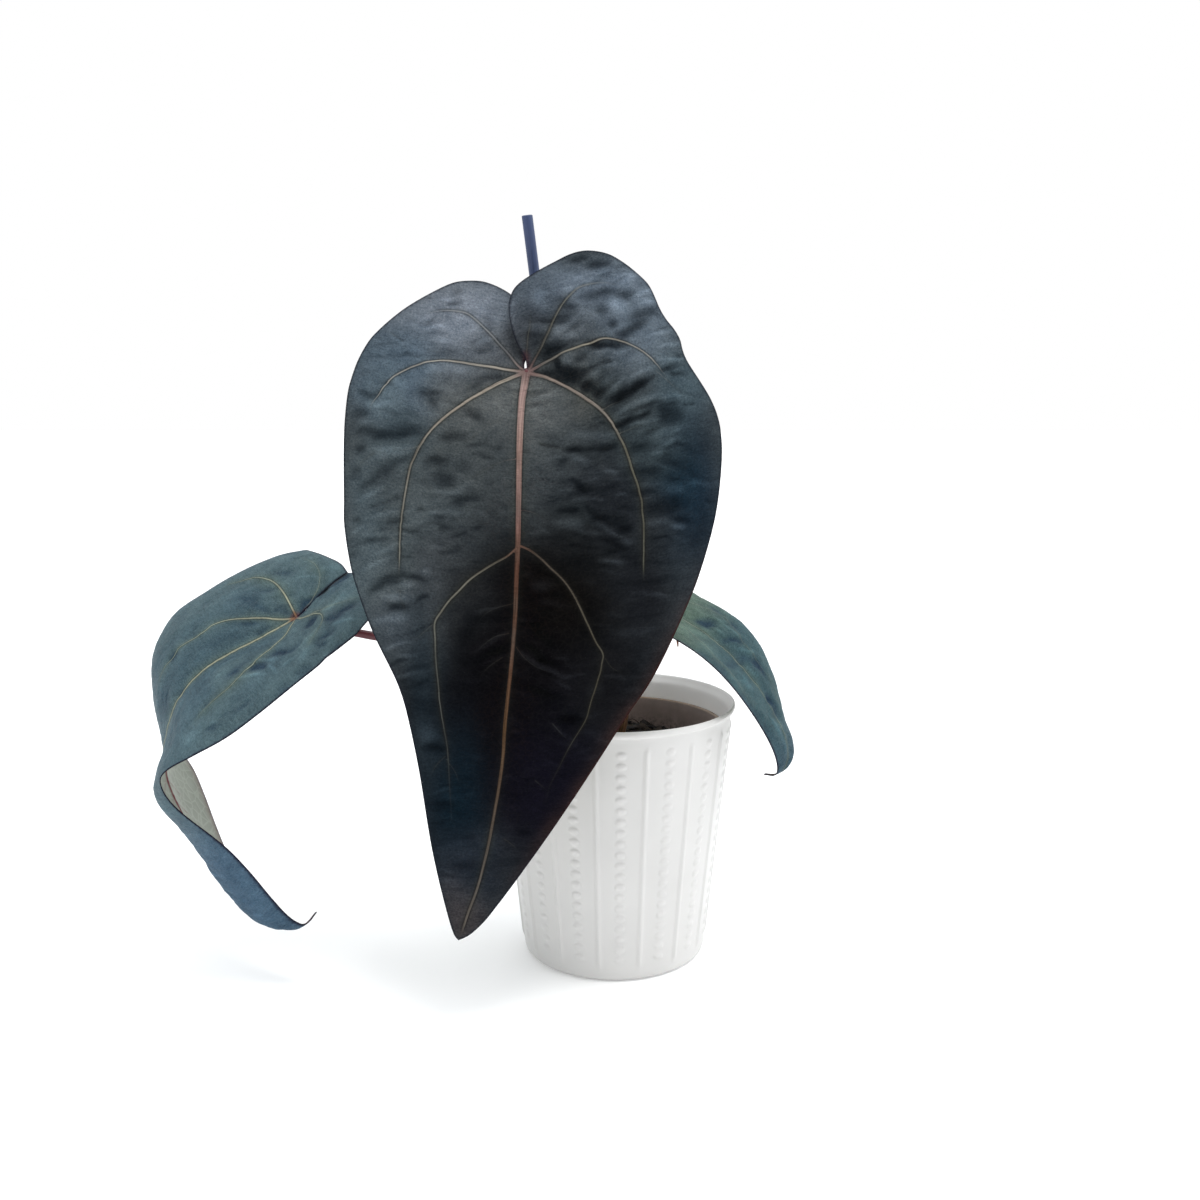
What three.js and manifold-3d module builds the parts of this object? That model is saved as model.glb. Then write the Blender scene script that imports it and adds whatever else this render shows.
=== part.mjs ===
// Potted velvet-leaved anthurium hybrid: a white relief cover pot with a thin
// brown nursery pot standing inside it, the substrate, the rooted stem, three
// leaves (petiole and blade each), papery cataphylls, and a support stake with
// a soft tie round the tallest petiole.
// Millimetres, +Z up. Origin: centre of the cover pot's flat underside.
// -Y is the side that the tallest leaf hangs in front of.
import * as THREE from "three";
import Module from "manifold-3d";

// ---------------------------------------------------------------- dimensions
// cover pot
const POT_H = 150;            // rim height above the floor
const POT_R_RIM = 70;         // outside radius of the rolled rim
const POT_R_COLLAR = 67.6;    // outside radius just under the rim
const POT_R_FOOT = 53.4;      // outside radius just above the rounded foot
const POT_WALL = 2.0;
const POT_FLOOR = 3.0;
const POT_RIBS = 15;          // narrow upright ribs, evenly spaced
const RIB_H = 0.9;            // how far a rib stands out
const RIB_Z0 = 7, RIB_Z1 = 136;
const RIB_PHASE = THREE.MathUtils.degToRad(-75.4);  // angle of the first rib
// nursery pot
const NP_Z0 = 3.4;            // underside, 0.4 above the cover pot's floor
const NP_Z1 = 136;            // rim
const NP_R0 = 44, NP_R1 = 62.4, NP_R_LIP = 63.8;
const NP_WALL = 1.0, NP_FLOOR = 1.3;
const DRAIN_R = 4.5, DRAIN_RING = 31, DRAIN_N = 6;
// substrate
const SUB_GAP = 0.4;
const SUB_EDGE = 117.5;       // level at the nursery pot's wall
// stake
const STAKE_R = 2.9;
const STAKE_FOOT = [-3.3, 22.7, 45];
const STAKE_TOP = [-47.5, -10, 420.3];
// leaves
const BLADE_T = 1.2;          // blade thickness
const GAP = 0.35;             // clearance kept between touching solids

// ------------------------------------------------------------ small helpers
const V = (a) => new THREE.Vector3(a[0], a[1], a[2]);
const smooth = (x, a = 0, b = 1) => THREE.MathUtils.smoothstep(x, a, b);
const lerp = THREE.MathUtils.lerp;

function meshFrom(name, positions, index, material) {
  const g = new THREE.BufferGeometry();
  g.setAttribute("position", new THREE.Float32BufferAttribute(positions, 3));
  g.setIndex(index);
  g.computeVertexNormals();
  const m = new THREE.Mesh(g, material);
  m.name = name;
  return m;
}

const mat = (color, roughness, metalness = 0) =>
  new THREE.MeshStandardMaterial({ color, roughness, metalness });
const M = {
  potWhite: mat(0xe9e8e6, 0.35),
  potBrown: mat(0x4b3b36, 0.5),
  substrate: mat(0x2a211c, 0.95),
  stem: mat(0x6b5a3a, 0.7),
  petiole: mat(0x5a2430, 0.5),
  frontBlade: mat(0x2c3234, 0.8),
  sideBlade: mat(0x4c6a70, 0.75),
  cataphyll: mat(0x8a5a40, 0.8),
  stake: mat(0x3d4c72, 0.45),
  tie: mat(0x3a4a35, 0.7),
};

// A round bar of changing radius swept along a smooth curve, ends closed.
function bar(points, radii, sides, steps, squash = 1) {
  const curve = new THREE.CatmullRomCurve3(points.map(V), false, "centripetal");
  const fr = curve.computeFrenetFrames(steps, false);
  const rc = new THREE.CatmullRomCurve3(radii.map((r, i) => new THREE.Vector3(i, r, 0)), false, "chordal");
  const pos = [], idx = [];
  const rad = (t) => {
    const s = t * (radii.length - 1), i = Math.min(Math.floor(s), radii.length - 2);
    const f = smooth(s - i);
    return lerp(radii[i], radii[i + 1], f);
  };
  for (let i = 0; i <= steps; i++) {
    const t = i / steps, c = curve.getPointAt(t), r = rad(t);
    for (let j = 0; j < sides; j++) {
      const a = (2 * Math.PI * j) / sides;
      const p = c.clone()
        .addScaledVector(fr.normals[i], r * Math.cos(a))
        .addScaledVector(fr.binormals[i], r * Math.sin(a) * squash);
      pos.push(p.x, p.y, p.z);
    }
  }
  for (let i = 0; i < steps; i++)
    for (let j = 0; j < sides; j++) {
      const k = (j + 1) % sides, a = i * sides + j, b = i * sides + k, c = a + sides, d = b + sides;
      idx.push(a, b, d, a, d, c);
    }
  for (let j = 1; j < sides - 1; j++) {
    idx.push(0, j + 1, j);
    const o = steps * sides;
    idx.push(o, o + j, o + j + 1);
  }
  return { pos, idx };
}
// frames come with either handedness, so the winding is set by the volume
function closed({ pos, idx }) {
  let v = 0;
  for (let i = 0; i < idx.length; i += 3) {
    const [a, b, c] = [0, 1, 2].map((k) => new THREE.Vector3().fromArray(pos, idx[i + k] * 3));
    v += a.dot(b.cross(c));
  }
  if (v < 0) for (let i = 0; i < idx.length; i += 3) [idx[i], idx[i + 1]] = [idx[i + 1], idx[i]];
  return { pos, idx };
}

// A closed ring of revolution from a closed (r, z) profile; points with r = 0
// are shared. bump(angle, z, r) moves an outside point out.
function lathe(profile, segs, bump = () => 0) {
  const pos = [], idx = [], ring = [];
  for (const [r, z, outer] of profile) {
    if (r === 0) { ring.push([pos.length / 3, 1]); pos.push(0, 0, z); continue; }
    ring.push([pos.length / 3, segs]);
    for (let j = 0; j < segs; j++) {
      const a = (2 * Math.PI * j) / segs, rr = r + (outer ? bump(a, z, r) : 0);
      pos.push(rr * Math.cos(a), rr * Math.sin(a), z);
    }
  }
  const n = profile.length, closeLoop = !(profile[0][0] === 0 && profile[n - 1][0] === 0);
  for (let i = 0; i < (closeLoop ? n : n - 1); i++) {
    const [o1, c1] = ring[i], [o2, c2] = ring[(i + 1) % n];
    for (let j = 0; j < segs; j++) {
      const k = (j + 1) % segs;
      const a = o1 + (c1 > 1 ? j : 0), b = o1 + (c1 > 1 ? k : 0);
      const c = o2 + (c2 > 1 ? j : 0), d = o2 + (c2 > 1 ? k : 0);
      if (c1 > 1) idx.push(a, b, c);
      if (c2 > 1) idx.push(b, d, c);
    }
  }
  return closed({ pos, idx });
}

// ------------------------------------------------------------ solid booleans
const wasm = await Module();
wasm.setup();
const solid = ({ pos, idx }) => new wasm.Manifold(new wasm.Mesh({
  numProp: 3, vertProperties: new Float32Array(pos), triVerts: new Uint32Array(idx) }));
function fromSolid(s) {
  const m = s.getMesh(), p = [];
  for (let i = 0; i < m.numVert; i++) p.push(m.vertProperties[i * m.numProp], m.vertProperties[i * m.numProp + 1], m.vertProperties[i * m.numProp + 2]);
  return { pos: p, idx: Array.from(m.triVerts) };
}

// -------------------------------------------------------- triangulated sheet
// Delaunay triangulation (Bowyer-Watson) of points in the plane.
function delaunay(P) {
  const n = P.length, B = 1e5;
  const Q = P.concat([[-B, -B], [B, -B], [0, B]]);
  let T = [[n, n + 1, n + 2]];
  const circ = (t) => {
    const [ax, ay] = Q[t[0]], [bx, by] = Q[t[1]], [cx, cy] = Q[t[2]];
    const d = 2 * (ax * (by - cy) + bx * (cy - ay) + cx * (ay - by));
    const A = ax * ax + ay * ay, Bq = bx * bx + by * by, C = cx * cx + cy * cy;
    const x = (A * (by - cy) + Bq * (cy - ay) + C * (ay - by)) / d;
    const y = (A * (cx - bx) + Bq * (ax - cx) + C * (bx - ax)) / d;
    return [x, y, (ax - x) ** 2 + (ay - y) ** 2];
  };
  let tris = T.map((t) => ({ t, c: circ(t) }));
  for (let i = 0; i < n; i++) {
    const [x, y] = Q[i], edges = new Map(), keep = [];
    for (const tr of tris) {
      if ((x - tr.c[0]) ** 2 + (y - tr.c[1]) ** 2 < tr.c[2] * (1 + 1e-12)) {
        for (let k = 0; k < 3; k++) {
          const a = tr.t[k], b = tr.t[(k + 1) % 3], key = a < b ? a * 65536 + b : b * 65536 + a;
          if (edges.has(key)) edges.set(key, null); else edges.set(key, [a, b]);
        }
      } else keep.push(tr);
    }
    for (const e of edges.values()) if (e) { const t = [e[0], e[1], i]; keep.push({ t, c: circ(t) }); }
    tris = keep;
  }
  return tris.map((q) => q.t).filter((t) => t.every((k) => k < n));
}
const inside = (poly, x, y) => {
  let c = false;
  for (let i = 0, j = poly.length - 1; i < poly.length; j = i++) {
    const [xi, yi] = poly[i], [xj, yj] = poly[j];
    if ((yi > y) !== (yj > y) && x < ((xj - xi) * (y - yi)) / (yj - yi) + xi) c = !c;
  }
  return c;
};
const edgeDist = (poly, x, y) => {
  let d = 1e9;
  for (let i = 0, j = poly.length - 1; i < poly.length; j = i++) {
    const [ax, ay] = poly[j], [bx, by] = poly[i];
    const L = (bx - ax) ** 2 + (by - ay) ** 2 || 1e-9;
    const t = Math.max(0, Math.min(1, ((x - ax) * (bx - ax) + (y - ay) * (by - ay)) / L));
    d = Math.min(d, Math.hypot(x - ax - t * (bx - ax), y - ay - t * (by - ay)));
  }
  return d;
};
// Evenly spaced points along a closed polyline, its sharp corners kept.
function resample(poly, step) {
  const out = [];
  const n = poly.length;
  const turn = (i) => {
    const a = poly[(i + n - 1) % n], b = poly[i], c = poly[(i + 1) % n];
    const u = [b[0] - a[0], b[1] - a[1]], v = [c[0] - b[0], c[1] - b[1]];
    return Math.abs(Math.atan2(u[0] * v[1] - u[1] * v[0], u[0] * v[0] + u[1] * v[1]));
  };
  const corners = [];
  for (let i = 0; i < n; i++) if (turn(i) > 0.9) corners.push(i);
  if (!corners.length) corners.push(0);
  for (let c = 0; c < corners.length; c++) {
    const i0 = corners[c], i1 = corners[(c + 1) % corners.length];
    const pts = [poly[i0]];
    for (let i = (i0 + 1) % n; ; i = (i + 1) % n) { pts.push(poly[i]); if (i === i1) break; }
    const s = [0];
    for (let i = 1; i < pts.length; i++) s.push(s[i - 1] + Math.hypot(pts[i][0] - pts[i - 1][0], pts[i][1] - pts[i - 1][1]));
    const L = s[s.length - 1], k = Math.max(1, Math.round(L / step));
    for (let q = 0, i = 0; q < k; q++) {
      const t = (L * q) / k;
      while (i < s.length - 2 && s[i + 1] < t) i++;
      const f = (t - s[i]) / (s[i + 1] - s[i] || 1);
      out.push([lerp(pts[i][0], pts[i + 1][0], f), lerp(pts[i][1], pts[i + 1][1], f)]);
    }
  }
  return out;
}
// A thin closed shell over the flat outline, bent by map(x, y) into space.
function blade(outline, step, map, thick, fine = () => true) {
  const rim = resample(outline, step);
  const pts = rim.slice();
  let x0 = 1e9, x1 = -1e9, y0 = 1e9, y1 = -1e9;
  for (const [x, y] of outline) { x0 = Math.min(x0, x); x1 = Math.max(x1, x); y0 = Math.min(y0, y); y1 = Math.max(y1, y); }
  const h = step * 0.866;
  let row = 0;
  for (let y = y0 + h * 0.5; y < y1; y += h, row++)
    for (let x = x0 + (row % 2 ? step / 2 : 0), col = 0; x < x1; x += step, col++) {
      const jx = x + step * 0.05 * Math.sin(row * 2.3 + col * 1.7), jy = y + step * 0.05 * Math.sin(row * 1.1 + col * 2.9);
      if (!fine(jx, jy, row, col)) continue;
      if (inside(outline, jx, jy) && edgeDist(rim, jx, jy) > step * 0.55) pts.push([jx, jy]);
    }
  let tris = delaunay(pts).filter((t) => {
    const cx = (pts[t[0]][0] + pts[t[1]][0] + pts[t[2]][0]) / 3, cy = (pts[t[0]][1] + pts[t[1]][1] + pts[t[2]][1]) / 3;
    return inside(rim, cx, cy);
  });
  // one winding for every triangle of the plane
  tris = tris.map(([a, b, c]) => {
    const s = (pts[b][0] - pts[a][0]) * (pts[c][1] - pts[a][1]) - (pts[b][1] - pts[a][1]) * (pts[c][0] - pts[a][0]);
    return s > 0 ? [a, b, c] : [a, c, b];
  });
  const P = pts.map(([x, y]) => map(x, y)), N = P.map(() => new THREE.Vector3());
  for (const [a, b, c] of tris) {
    const n = P[b].clone().sub(P[a]).cross(P[c].clone().sub(P[a]));
    N[a].add(n); N[b].add(n); N[c].add(n);
  }
  N.forEach((n) => n.normalize());
  const pos = [], idx = [], k = P.length;
  P.forEach((p, i) => { const q = p.clone().addScaledVector(N[i], thick / 2); pos.push(q.x, q.y, q.z); });
  P.forEach((p, i) => { const q = p.clone().addScaledVector(N[i], -thick / 2); pos.push(q.x, q.y, q.z); });
  const count = new Map();
  for (const t of tris) {
    idx.push(t[0], t[1], t[2], t[0] + k, t[2] + k, t[1] + k);
    for (let e = 0; e < 3; e++) count.set(t[e] * 65536 + t[(e + 1) % 3], [t[e], t[(e + 1) % 3]]);
  }
  for (const [key, [a, b]] of count) if (!count.has(b * 65536 + a)) idx.push(b, a, a + k, b, a + k, b + k);
  return closed({ pos, idx });
}

// ================================================================ cover pot
const potR = (z) => lerp(POT_R_FOOT, POT_R_COLLAR, Math.max(0, z - 5) / (POT_H - 8 - 5));
const ribShape = (a, z) => {
  const per = (2 * Math.PI) / POT_RIBS;
  let d = (((a - RIB_PHASE) % per) + per) % per;
  d = Math.min(d, per - d) * 60;                       // arc distance at r = 60
  return RIB_H * (1 - smooth(d, 0.7, 3.2)) * smooth(z, RIB_Z0, RIB_Z0 + 4) * (1 - smooth(z, RIB_Z1 - 4, RIB_Z1));
};
const potProfile = [
  [0, 0], [49.6, 0], [51.9, 0.7], [53.0, 2.4], [POT_R_FOOT, 5, 1], [potR(11), 11, 1], [potR(72), 72, 1],
  [potR(132), 132, 1], [potR(137), 137, 1], [POT_R_COLLAR + 0.3, 145.6], [POT_R_RIM - 0.5, 146.6],
  [POT_R_RIM, 148], [POT_R_RIM - 0.4, 149.5], [POT_R_RIM - 1.0, POT_H], [POT_R_RIM - 1.7, 149.4], [POT_R_RIM - 2.3, 148.0], [POT_R_RIM - 3.6, 146],
  [POT_R_COLLAR - POT_WALL + 0.1, 143.5],
  [potR(72) - POT_WALL, 72], [POT_R_FOOT - POT_WALL + 0.3, 8], [50, 4.6], [47.5, POT_FLOOR], [0, POT_FLOOR],
];
const POT_SEGS = POT_RIBS * 8;
// the eight steps of each period are set so that three of them make the rib
const potSolid = (() => {
  const g = lathe(potProfile, POT_SEGS, () => 0);
  const per = (2 * Math.PI) / POT_RIBS;
  const offs = [-0.055, 0, 0.055, 0.12, 0.175, 0.2094, 0.245, 0.30];
  for (let i = 0; i < g.pos.length; i += 3) {
    const x = g.pos[i], y = g.pos[i + 1], r = Math.hypot(x, y), z = g.pos[i + 2];
    if (r < 1e-6) continue;
    const j = Math.round((((Math.atan2(y, x) / (2 * Math.PI)) * POT_SEGS) % POT_SEGS + POT_SEGS) % POT_SEGS) % POT_SEGS;
    const a = RIB_PHASE + Math.floor(j / 8) * per + offs[j % 8];
    const outer = z > 4 && z < 140 && r > potR(z) - 1;
    const rr = r + (outer ? ribShape(a, z) : 0);
    g.pos[i] = rr * Math.cos(a); g.pos[i + 1] = rr * Math.sin(a);
  }
  return g;
})();

// ============================================================== nursery pot
const npR = (z) => lerp(NP_R0, NP_R1, (z - NP_Z0) / (NP_Z1 - NP_Z0));
const npProfile = [
  [0, NP_Z0], [NP_R0 - 1.5, NP_Z0], [NP_R0, NP_Z0 + 1.5], [npR(70), 70], [npR(131.5), 131.5], [NP_R_LIP, 132], [NP_R_LIP, 135.4], [NP_R_LIP - 0.6, NP_Z1],
  [NP_R1 - NP_WALL, NP_Z1], [npR(131) - NP_WALL, 131], [npR(70) - NP_WALL, 70], [NP_R0 - NP_WALL, NP_Z0 + NP_FLOOR + 1], [NP_R0 - 2.2, NP_Z0 + NP_FLOOR], [0, NP_Z0 + NP_FLOOR],
];
let nursery = solid(lathe(npProfile, 48));
for (let k = 0; k < DRAIN_N; k++) {
  const a = (2 * Math.PI * k) / DRAIN_N;
  const hole = lathe([[0, NP_Z0 - 2], [DRAIN_R, NP_Z0 - 2], [DRAIN_R, NP_Z0 + 5], [0, NP_Z0 + 5]], 14);
  for (let i = 0; i < hole.pos.length; i += 3) { hole.pos[i] += DRAIN_RING * Math.cos(a); hole.pos[i + 1] += DRAIN_RING * Math.sin(a); }
  nursery = nursery.subtract(solid(hole));
}

// ========================================================== stem and roots
// a short thick stem whose fleshy roots leave it above and below the surface
const STEM = [[-4, 2, 92], [-4, 1, 112], [-4.5, 0, 128], [-5, -0.5, 139], [-5, -0.5, 143.5]];
const STEM_RAD = [5.5, 8.0, 8.6, 8.0, 6.0];
const ROOTS = [
  [[[-4, 0, 126], [8, -10, 125], [19, -19, 116], [27, -26, 96], [30, -30, 66], [27, -28, 34]], [2.6, 2.4, 2.2, 2.0, 1.7, 1.0]],
  [[[-5, 2, 124], [-18, 8, 124], [-29, 15, 115], [-36, 21, 92], [-38, 24, 60], [-33, 22, 26]], [2.7, 2.4, 2.2, 2.0, 1.6, 1.0]],
  [[[-4, 1, 116], [6, 14, 110], [14, 28, 96], [20, 37, 70], [20, 36, 40]], [2.5, 2.3, 2.1, 1.8, 1.0]],
  [[[-5, 0, 112], [-16, -12, 106], [-26, -24, 88], [-30, -32, 58], [-24, -30, 24]], [2.5, 2.3, 2.1, 1.8, 1.0]],
  [[[-4, 1, 98], [0, 3, 78], [6, -2, 54], [2, -6, 26]], [4.0, 2.8, 2.1, 1.0]],
];
const stemParts = (grow) => [bar(STEM, STEM_RAD.map((r) => r + grow), 12, 8)]
  .concat(ROOTS.map(([p, r]) => bar(p, r.map((x) => x + grow), 7, 13)));
const joinAll = (list) => list.map((b) => solid(closed(b))).reduce((a, b) => a.add(b));
const stemSolid = joinAll(stemParts(0));

// ================================================================ substrate
// lumpy top: heaped round the stem, lower towards the wall
const subTop = (x, y) => {
  const r = Math.hypot(x + 4, y - 1);
  let z = SUB_EDGE + 7.5 * Math.exp(-((r / 30) ** 2)) + 2.6 * smooth(y - x * 0.5, 5, 60);
  z += 0.9 * Math.sin(x * 0.31 + 1.3) * Math.cos(y * 0.27) + 0.6 * Math.sin(x * 0.55 - y * 0.47 + 0.5);
  return z;
};
const subSolid = (() => {
  const segs = 36, rings = 7, pos = [], idx = [];
  const rin = (z) => npR(z) - NP_WALL - SUB_GAP, zb = NP_Z0 + NP_FLOOR + SUB_GAP;
  pos.push(0, 0, subTop(0, 0));
  for (let i = 1; i <= rings; i++) for (let j = 0; j < segs; j++) {
    const a = (2 * Math.PI * j) / segs, R = rin(117) * (i / rings) * (i === rings ? Math.cos(Math.PI / segs) : 1);
    const x = R * Math.cos(a), y = R * Math.sin(a);
    pos.push(x, y, subTop(x, y) - (i === rings ? 1.2 : 0));
  }
  const o = 1 + (rings - 1) * segs, b = pos.length / 3;
  for (let j = 0; j < segs; j++) { const a = (2 * Math.PI * j) / segs, R = (NP_R0 - 3.4) ; pos.push(R * Math.cos(a), R * Math.sin(a), zb); }
  pos.push(0, 0, zb);
  for (let j = 0; j < segs; j++) {
    const k = (j + 1) % segs;
    idx.push(0, 1 + j, 1 + k);
    for (let i = 1; i < rings; i++) { const p = 1 + (i - 1) * segs, q = p + segs; idx.push(p + j, q + j, q + k, p + j, q + k, p + k); }
    idx.push(o + j, b + j, b + k, o + j, b + k, o + k);
    idx.push(b + segs, b + k, b + j);
  }
  return solid(closed({ pos, idx }));
})();

// ==================================================================== stake
const stakeAxis = (t) => V(STAKE_FOOT).lerp(V(STAKE_TOP), t);
function rod(r, from, to, sides = 12) {
  const d = to.clone().sub(from), up = new THREE.Vector3(0, 0, 1);
  const g = lathe([[0, 0], [r, 0], [r, d.length()], [0, d.length()]], sides);
  const q = new THREE.Quaternion().setFromUnitVectors(up, d.clone().normalize());
  for (let i = 0; i < g.pos.length; i += 3) {
    const v = new THREE.Vector3().fromArray(g.pos, i).applyQuaternion(q).add(from);
    g.pos[i] = v.x; g.pos[i + 1] = v.y; g.pos[i + 2] = v.z;
  }
  return g;
}
const stakeGeo = rod(STAKE_R, V(STAKE_FOOT), V(STAKE_TOP));
const stakeHole = rod(STAKE_R + GAP, stakeAxis(-0.003), stakeAxis(0.4));
const substrate = subSolid.subtract(joinAll(stemParts(GAP))).subtract(solid(stakeHole));

// ================================================================= petioles
const FRONT_A = [-45.71, -62, 337.95];      // where the tallest petiole meets its blade
const PETIOLES = {
  front_petiole: [
    [[-8.5, -5.5, 144.6], [-13, -8, 165], [-20, -7, 200], [-27.5, -1.8, 240], [-33.5, -9, 282], [-39, -27, 316], [-43.5, -46, 333], [-45.6, -58.6, 336.9]],
    [3.1, 2.5, 2.3, 2.3, 2.2, 2.2, 2.9, 2.5]],
  left_petiole: [
    [[-11.5, 2.5, 143.0], [-22, 3, 150], [-52, 1, 165.5], [-95, -2.4, 180], [-137.3, -4, 188.2], [-160, -3.4, 192.2], [-175, 0.2, 193.6], [-181.6, 2.4, 195.2]],
    [3.0, 2.6, 2.2, 2.0, 1.9, 1.9, 2.5, 2.2]],
  right_petiole: [
    [[0.5, 1.5, 143.8], [5.5, 3, 155], [13, 5, 172], [20, 6.4, 188], [25, 6.2, 196.5], [28.0, 5.0, 201.0]],
    [2.9, 2.4, 2.0, 1.9, 2.3, 2.0]],
};

// ====================================================================== tie
// a soft flat band closed round the stake and the tall petiole
const TIE_Z = 240;
const tieGeo = (() => {
  const tS = (TIE_Z - STAKE_FOOT[2]) / (STAKE_TOP[2] - STAKE_FOOT[2]);
  const s = stakeAxis(tS), p = V([-27.5, -1.8, TIE_Z]);
  const ax = p.clone().sub(s).setZ(0), L = ax.length(); ax.normalize();
  const ay = new THREE.Vector3(-ax.y, ax.x, 0), R1 = STAKE_R + 0.75, R2 = 2.4 + 0.85;
  const loop = (g) => {
    const out = [], n = 10;
    for (let i = 0; i <= n; i++) { const a = Math.PI / 2 + (Math.PI * i) / n; out.push([(R1 + g) * Math.cos(a), (R1 + g) * Math.sin(a)]); }
    for (let i = 0; i <= n; i++) { const a = -Math.PI / 2 + (Math.PI * i) / n; out.push([L + (R2 + g) * Math.cos(a), (R2 + g) * Math.sin(a)]); }
    return out;
  };
  const inn = loop(0), outr = loop(1.1), pos = [], idx = [], n = inn.length, H = 3.5;
  const put = ([u, v], z) => { const q = s.clone().addScaledVector(ax, u).addScaledVector(ay, v); pos.push(q.x, q.y, TIE_Z + z); };
  for (const z of [-H, H]) { inn.forEach((p) => put(p, z)); outr.forEach((p) => put(p, z)); }
  for (let i = 0; i < n; i++) {
    const k = (i + 1) % n, q = (a, b, c, d) => idx.push(a, b, c, a, c, d);
    q(i, k, n + k, n + i);
    q(2 * n + k, 2 * n + i, 3 * n + i, 3 * n + k);
    q(n + i, n + k, 3 * n + k, 3 * n + i);
    q(k, i, 2 * n + i, 2 * n + k);
  }
  return closed({ pos, idx });
})();

// =============================================================== front blade
// The outline is given in polar form about the petiole's joint: degrees from
// straight down (positive to +X, counted past 180 where the two basal lobes
// overlap) and millimetres. The depth follows a curved sheet.
const FRONT_OUT = [
  [169.04, 0.97], [183.85, 5.37], [199.23, 14.56], [199.52, 20.42], [198.51, 26.68], [196.51, 32.73], [193.94, 37.05], [190.02, 41.43],
  [185.4, 44.58], [175.56, 50.26], [165.03, 58.46], [160.75, 62.95], [156.69, 66.8], [152.56, 69.77], [145.44, 73.24], [138.15, 74.82],
  [130.07, 76.17], [125.75, 76.85], [122.6, 76.62], [114.56, 75.75], [110.06, 76.79], [105.54, 79.15], [101.48, 80.73], [97.74, 81.11],
  [94.02, 82.63], [81.22, 96.29], [75.88, 102.04], [70.77, 106.23], [65.82, 109.78], [58.75, 115.19], [54.32, 119.14], [50.01, 123.17],
  [39.93, 134.44], [34.29, 142.1], [22.65, 163.6], [16.23, 177.2], [-0.22, 245.95], [-3.53, 268.83], [-4.34, 274.87], [-5.32, 281.12],
  [-6.09, 285.06], [-6.97, 287.95], [-7.36, 285.8], [-7.7, 282.45], [-8.57, 271.32], [-11.18, 239.76], [-15.08, 200.98], [-18.67, 178.48],
  [-20.53, 170.08], [-22.92, 162.44], [-30.99, 146.96], [-37.98, 136.07], [-41.69, 131.02], [-47.32, 123.22], [-51.27, 118.07], [-55.26, 112.47],
  [-75.3, 96.58], [-84.16, 92.95], [-87.25, 91.5], [-93.76, 88.28], [-101.01, 83.97], [-105.24, 80.57], [-112.76, 74.68], [-118.92, 70.35],
  [-130.72, 63.54], [-138.1, 60.37], [-142.29, 58.22], [-151.41, 52.63], [-156.04, 49.16], [-160.95, 45.19], [-166.48, 40.76], [-172.27, 35.84],
  [-177.86, 30.38], [-182.41, 24.2], [-186.29, 17.6], [-187.7, 11.44], [-161.65, 3.69], [-138.14, 1.41],
];
// the midrib's x at heights z
const FRONT_MID = [
  [338, -45.71], [331.2, -46.57], [323.9, -47.65], [306.9, -48.24], [290.1, -48.43], [256.7, -48.58], [237.7, -49.22], [218.6, -49.89],
  [194.5, -51.86], [167.5, -54.95], [149.9, -56.09], [121.7, -60.9], [97.7, -65.84], [81.1, -70.28], [68.6, -75.21], [52.1, -80.64],
];
// depth of the midrib line, and how far the margins lie behind it
const FRONT_Y = [[20, -104], [60, -112], [100, -117], [150, -117.5], [200, -113], [250, -102], [300, -84], [338, -62], [360, -50], [380, -41], [405, -31], [430, -24]];
const FRONT_C = [[20, 3], [60, 6], [100, 10], [150, 15], [200, 20], [250, 24], [300, 24], [338, 20], [370, 16], [400, 12], [430, 10]];
// piecewise cubic through (x, y) rows, slopes from the neighbours
function curve1(rows) {
  const n = rows.length;
  const m = rows.map((_, i) => {
    const a = rows[Math.max(0, i - 1)], b = rows[Math.min(n - 1, i + 1)];
    return (b[1] - a[1]) / (b[0] - a[0]);
  });
  return (x) => {
    let i = 0;
    while (i < n - 2 && x > rows[i + 1][0]) i++;
    const h = rows[i + 1][0] - rows[i][0], t = Math.max(0, Math.min(1, (x - rows[i][0]) / h)), t2 = t * t, t3 = t2 * t;
    return (2 * t3 - 3 * t2 + 1) * rows[i][1] + (t3 - 2 * t2 + t) * h * m[i] + (3 * t2 - 2 * t3) * rows[i + 1][1] + (t3 - t2) * h * m[i + 1];
  };
}
const frontY = curve1(FRONT_Y), frontC = curve1(FRONT_C), frontMidX = curve1(FRONT_MID.slice().reverse());
const midX = (z) => (z > FRONT_A[2] ? FRONT_A[0] + (z - FRONT_A[2]) * 0.06 : frontMidX(z));
function frontDepth(x, z, psi, r) {
  const t = (x - midX(z)) / 100, k = t < 0 ? 0.85 : 1;
  let y = frontY(z) + (frontC(z) * k * t * t) / (0.6 + 0.4 * Math.abs(t));
  y += 2.64 * Math.sin(z / 23 + (t > 0 ? 0.6 : 2.4)) * Math.max(0, Math.min(1, Math.abs(t) - 0.25));
  // the right basal lobe lies in front of the left one
  const f = smooth(r, 0, 22);
  return y + f * (-8 * smooth(psi, 135, 190) + 6 * smooth(-psi, 135, 190));
}
const FOLD_R = 172 / 200, FOLD_L = 172 / 189;          // opens the notch in the flat plan
const frontFlat = ([psi, r]) => {
  const f = THREE.MathUtils.degToRad(psi * (psi > 0 ? FOLD_R : FOLD_L));
  return [r * Math.sin(f), -r * Math.cos(f)];
};
const frontMap = (X, Y) => {
  const r = Math.hypot(X, Y), f = THREE.MathUtils.radToDeg(Math.atan2(X, -Y)), psi = f / (f > 0 ? FOLD_R : FOLD_L);
  const a = THREE.MathUtils.degToRad(psi), x = FRONT_A[0] + r * Math.sin(a), z = FRONT_A[2] - r * Math.cos(a);
  return new THREE.Vector3(x, frontDepth(x, z, psi, r), z);
};
const frontBlade = blade(FRONT_OUT.map(frontFlat), 12.5, frontMap, BLADE_T);

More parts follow.
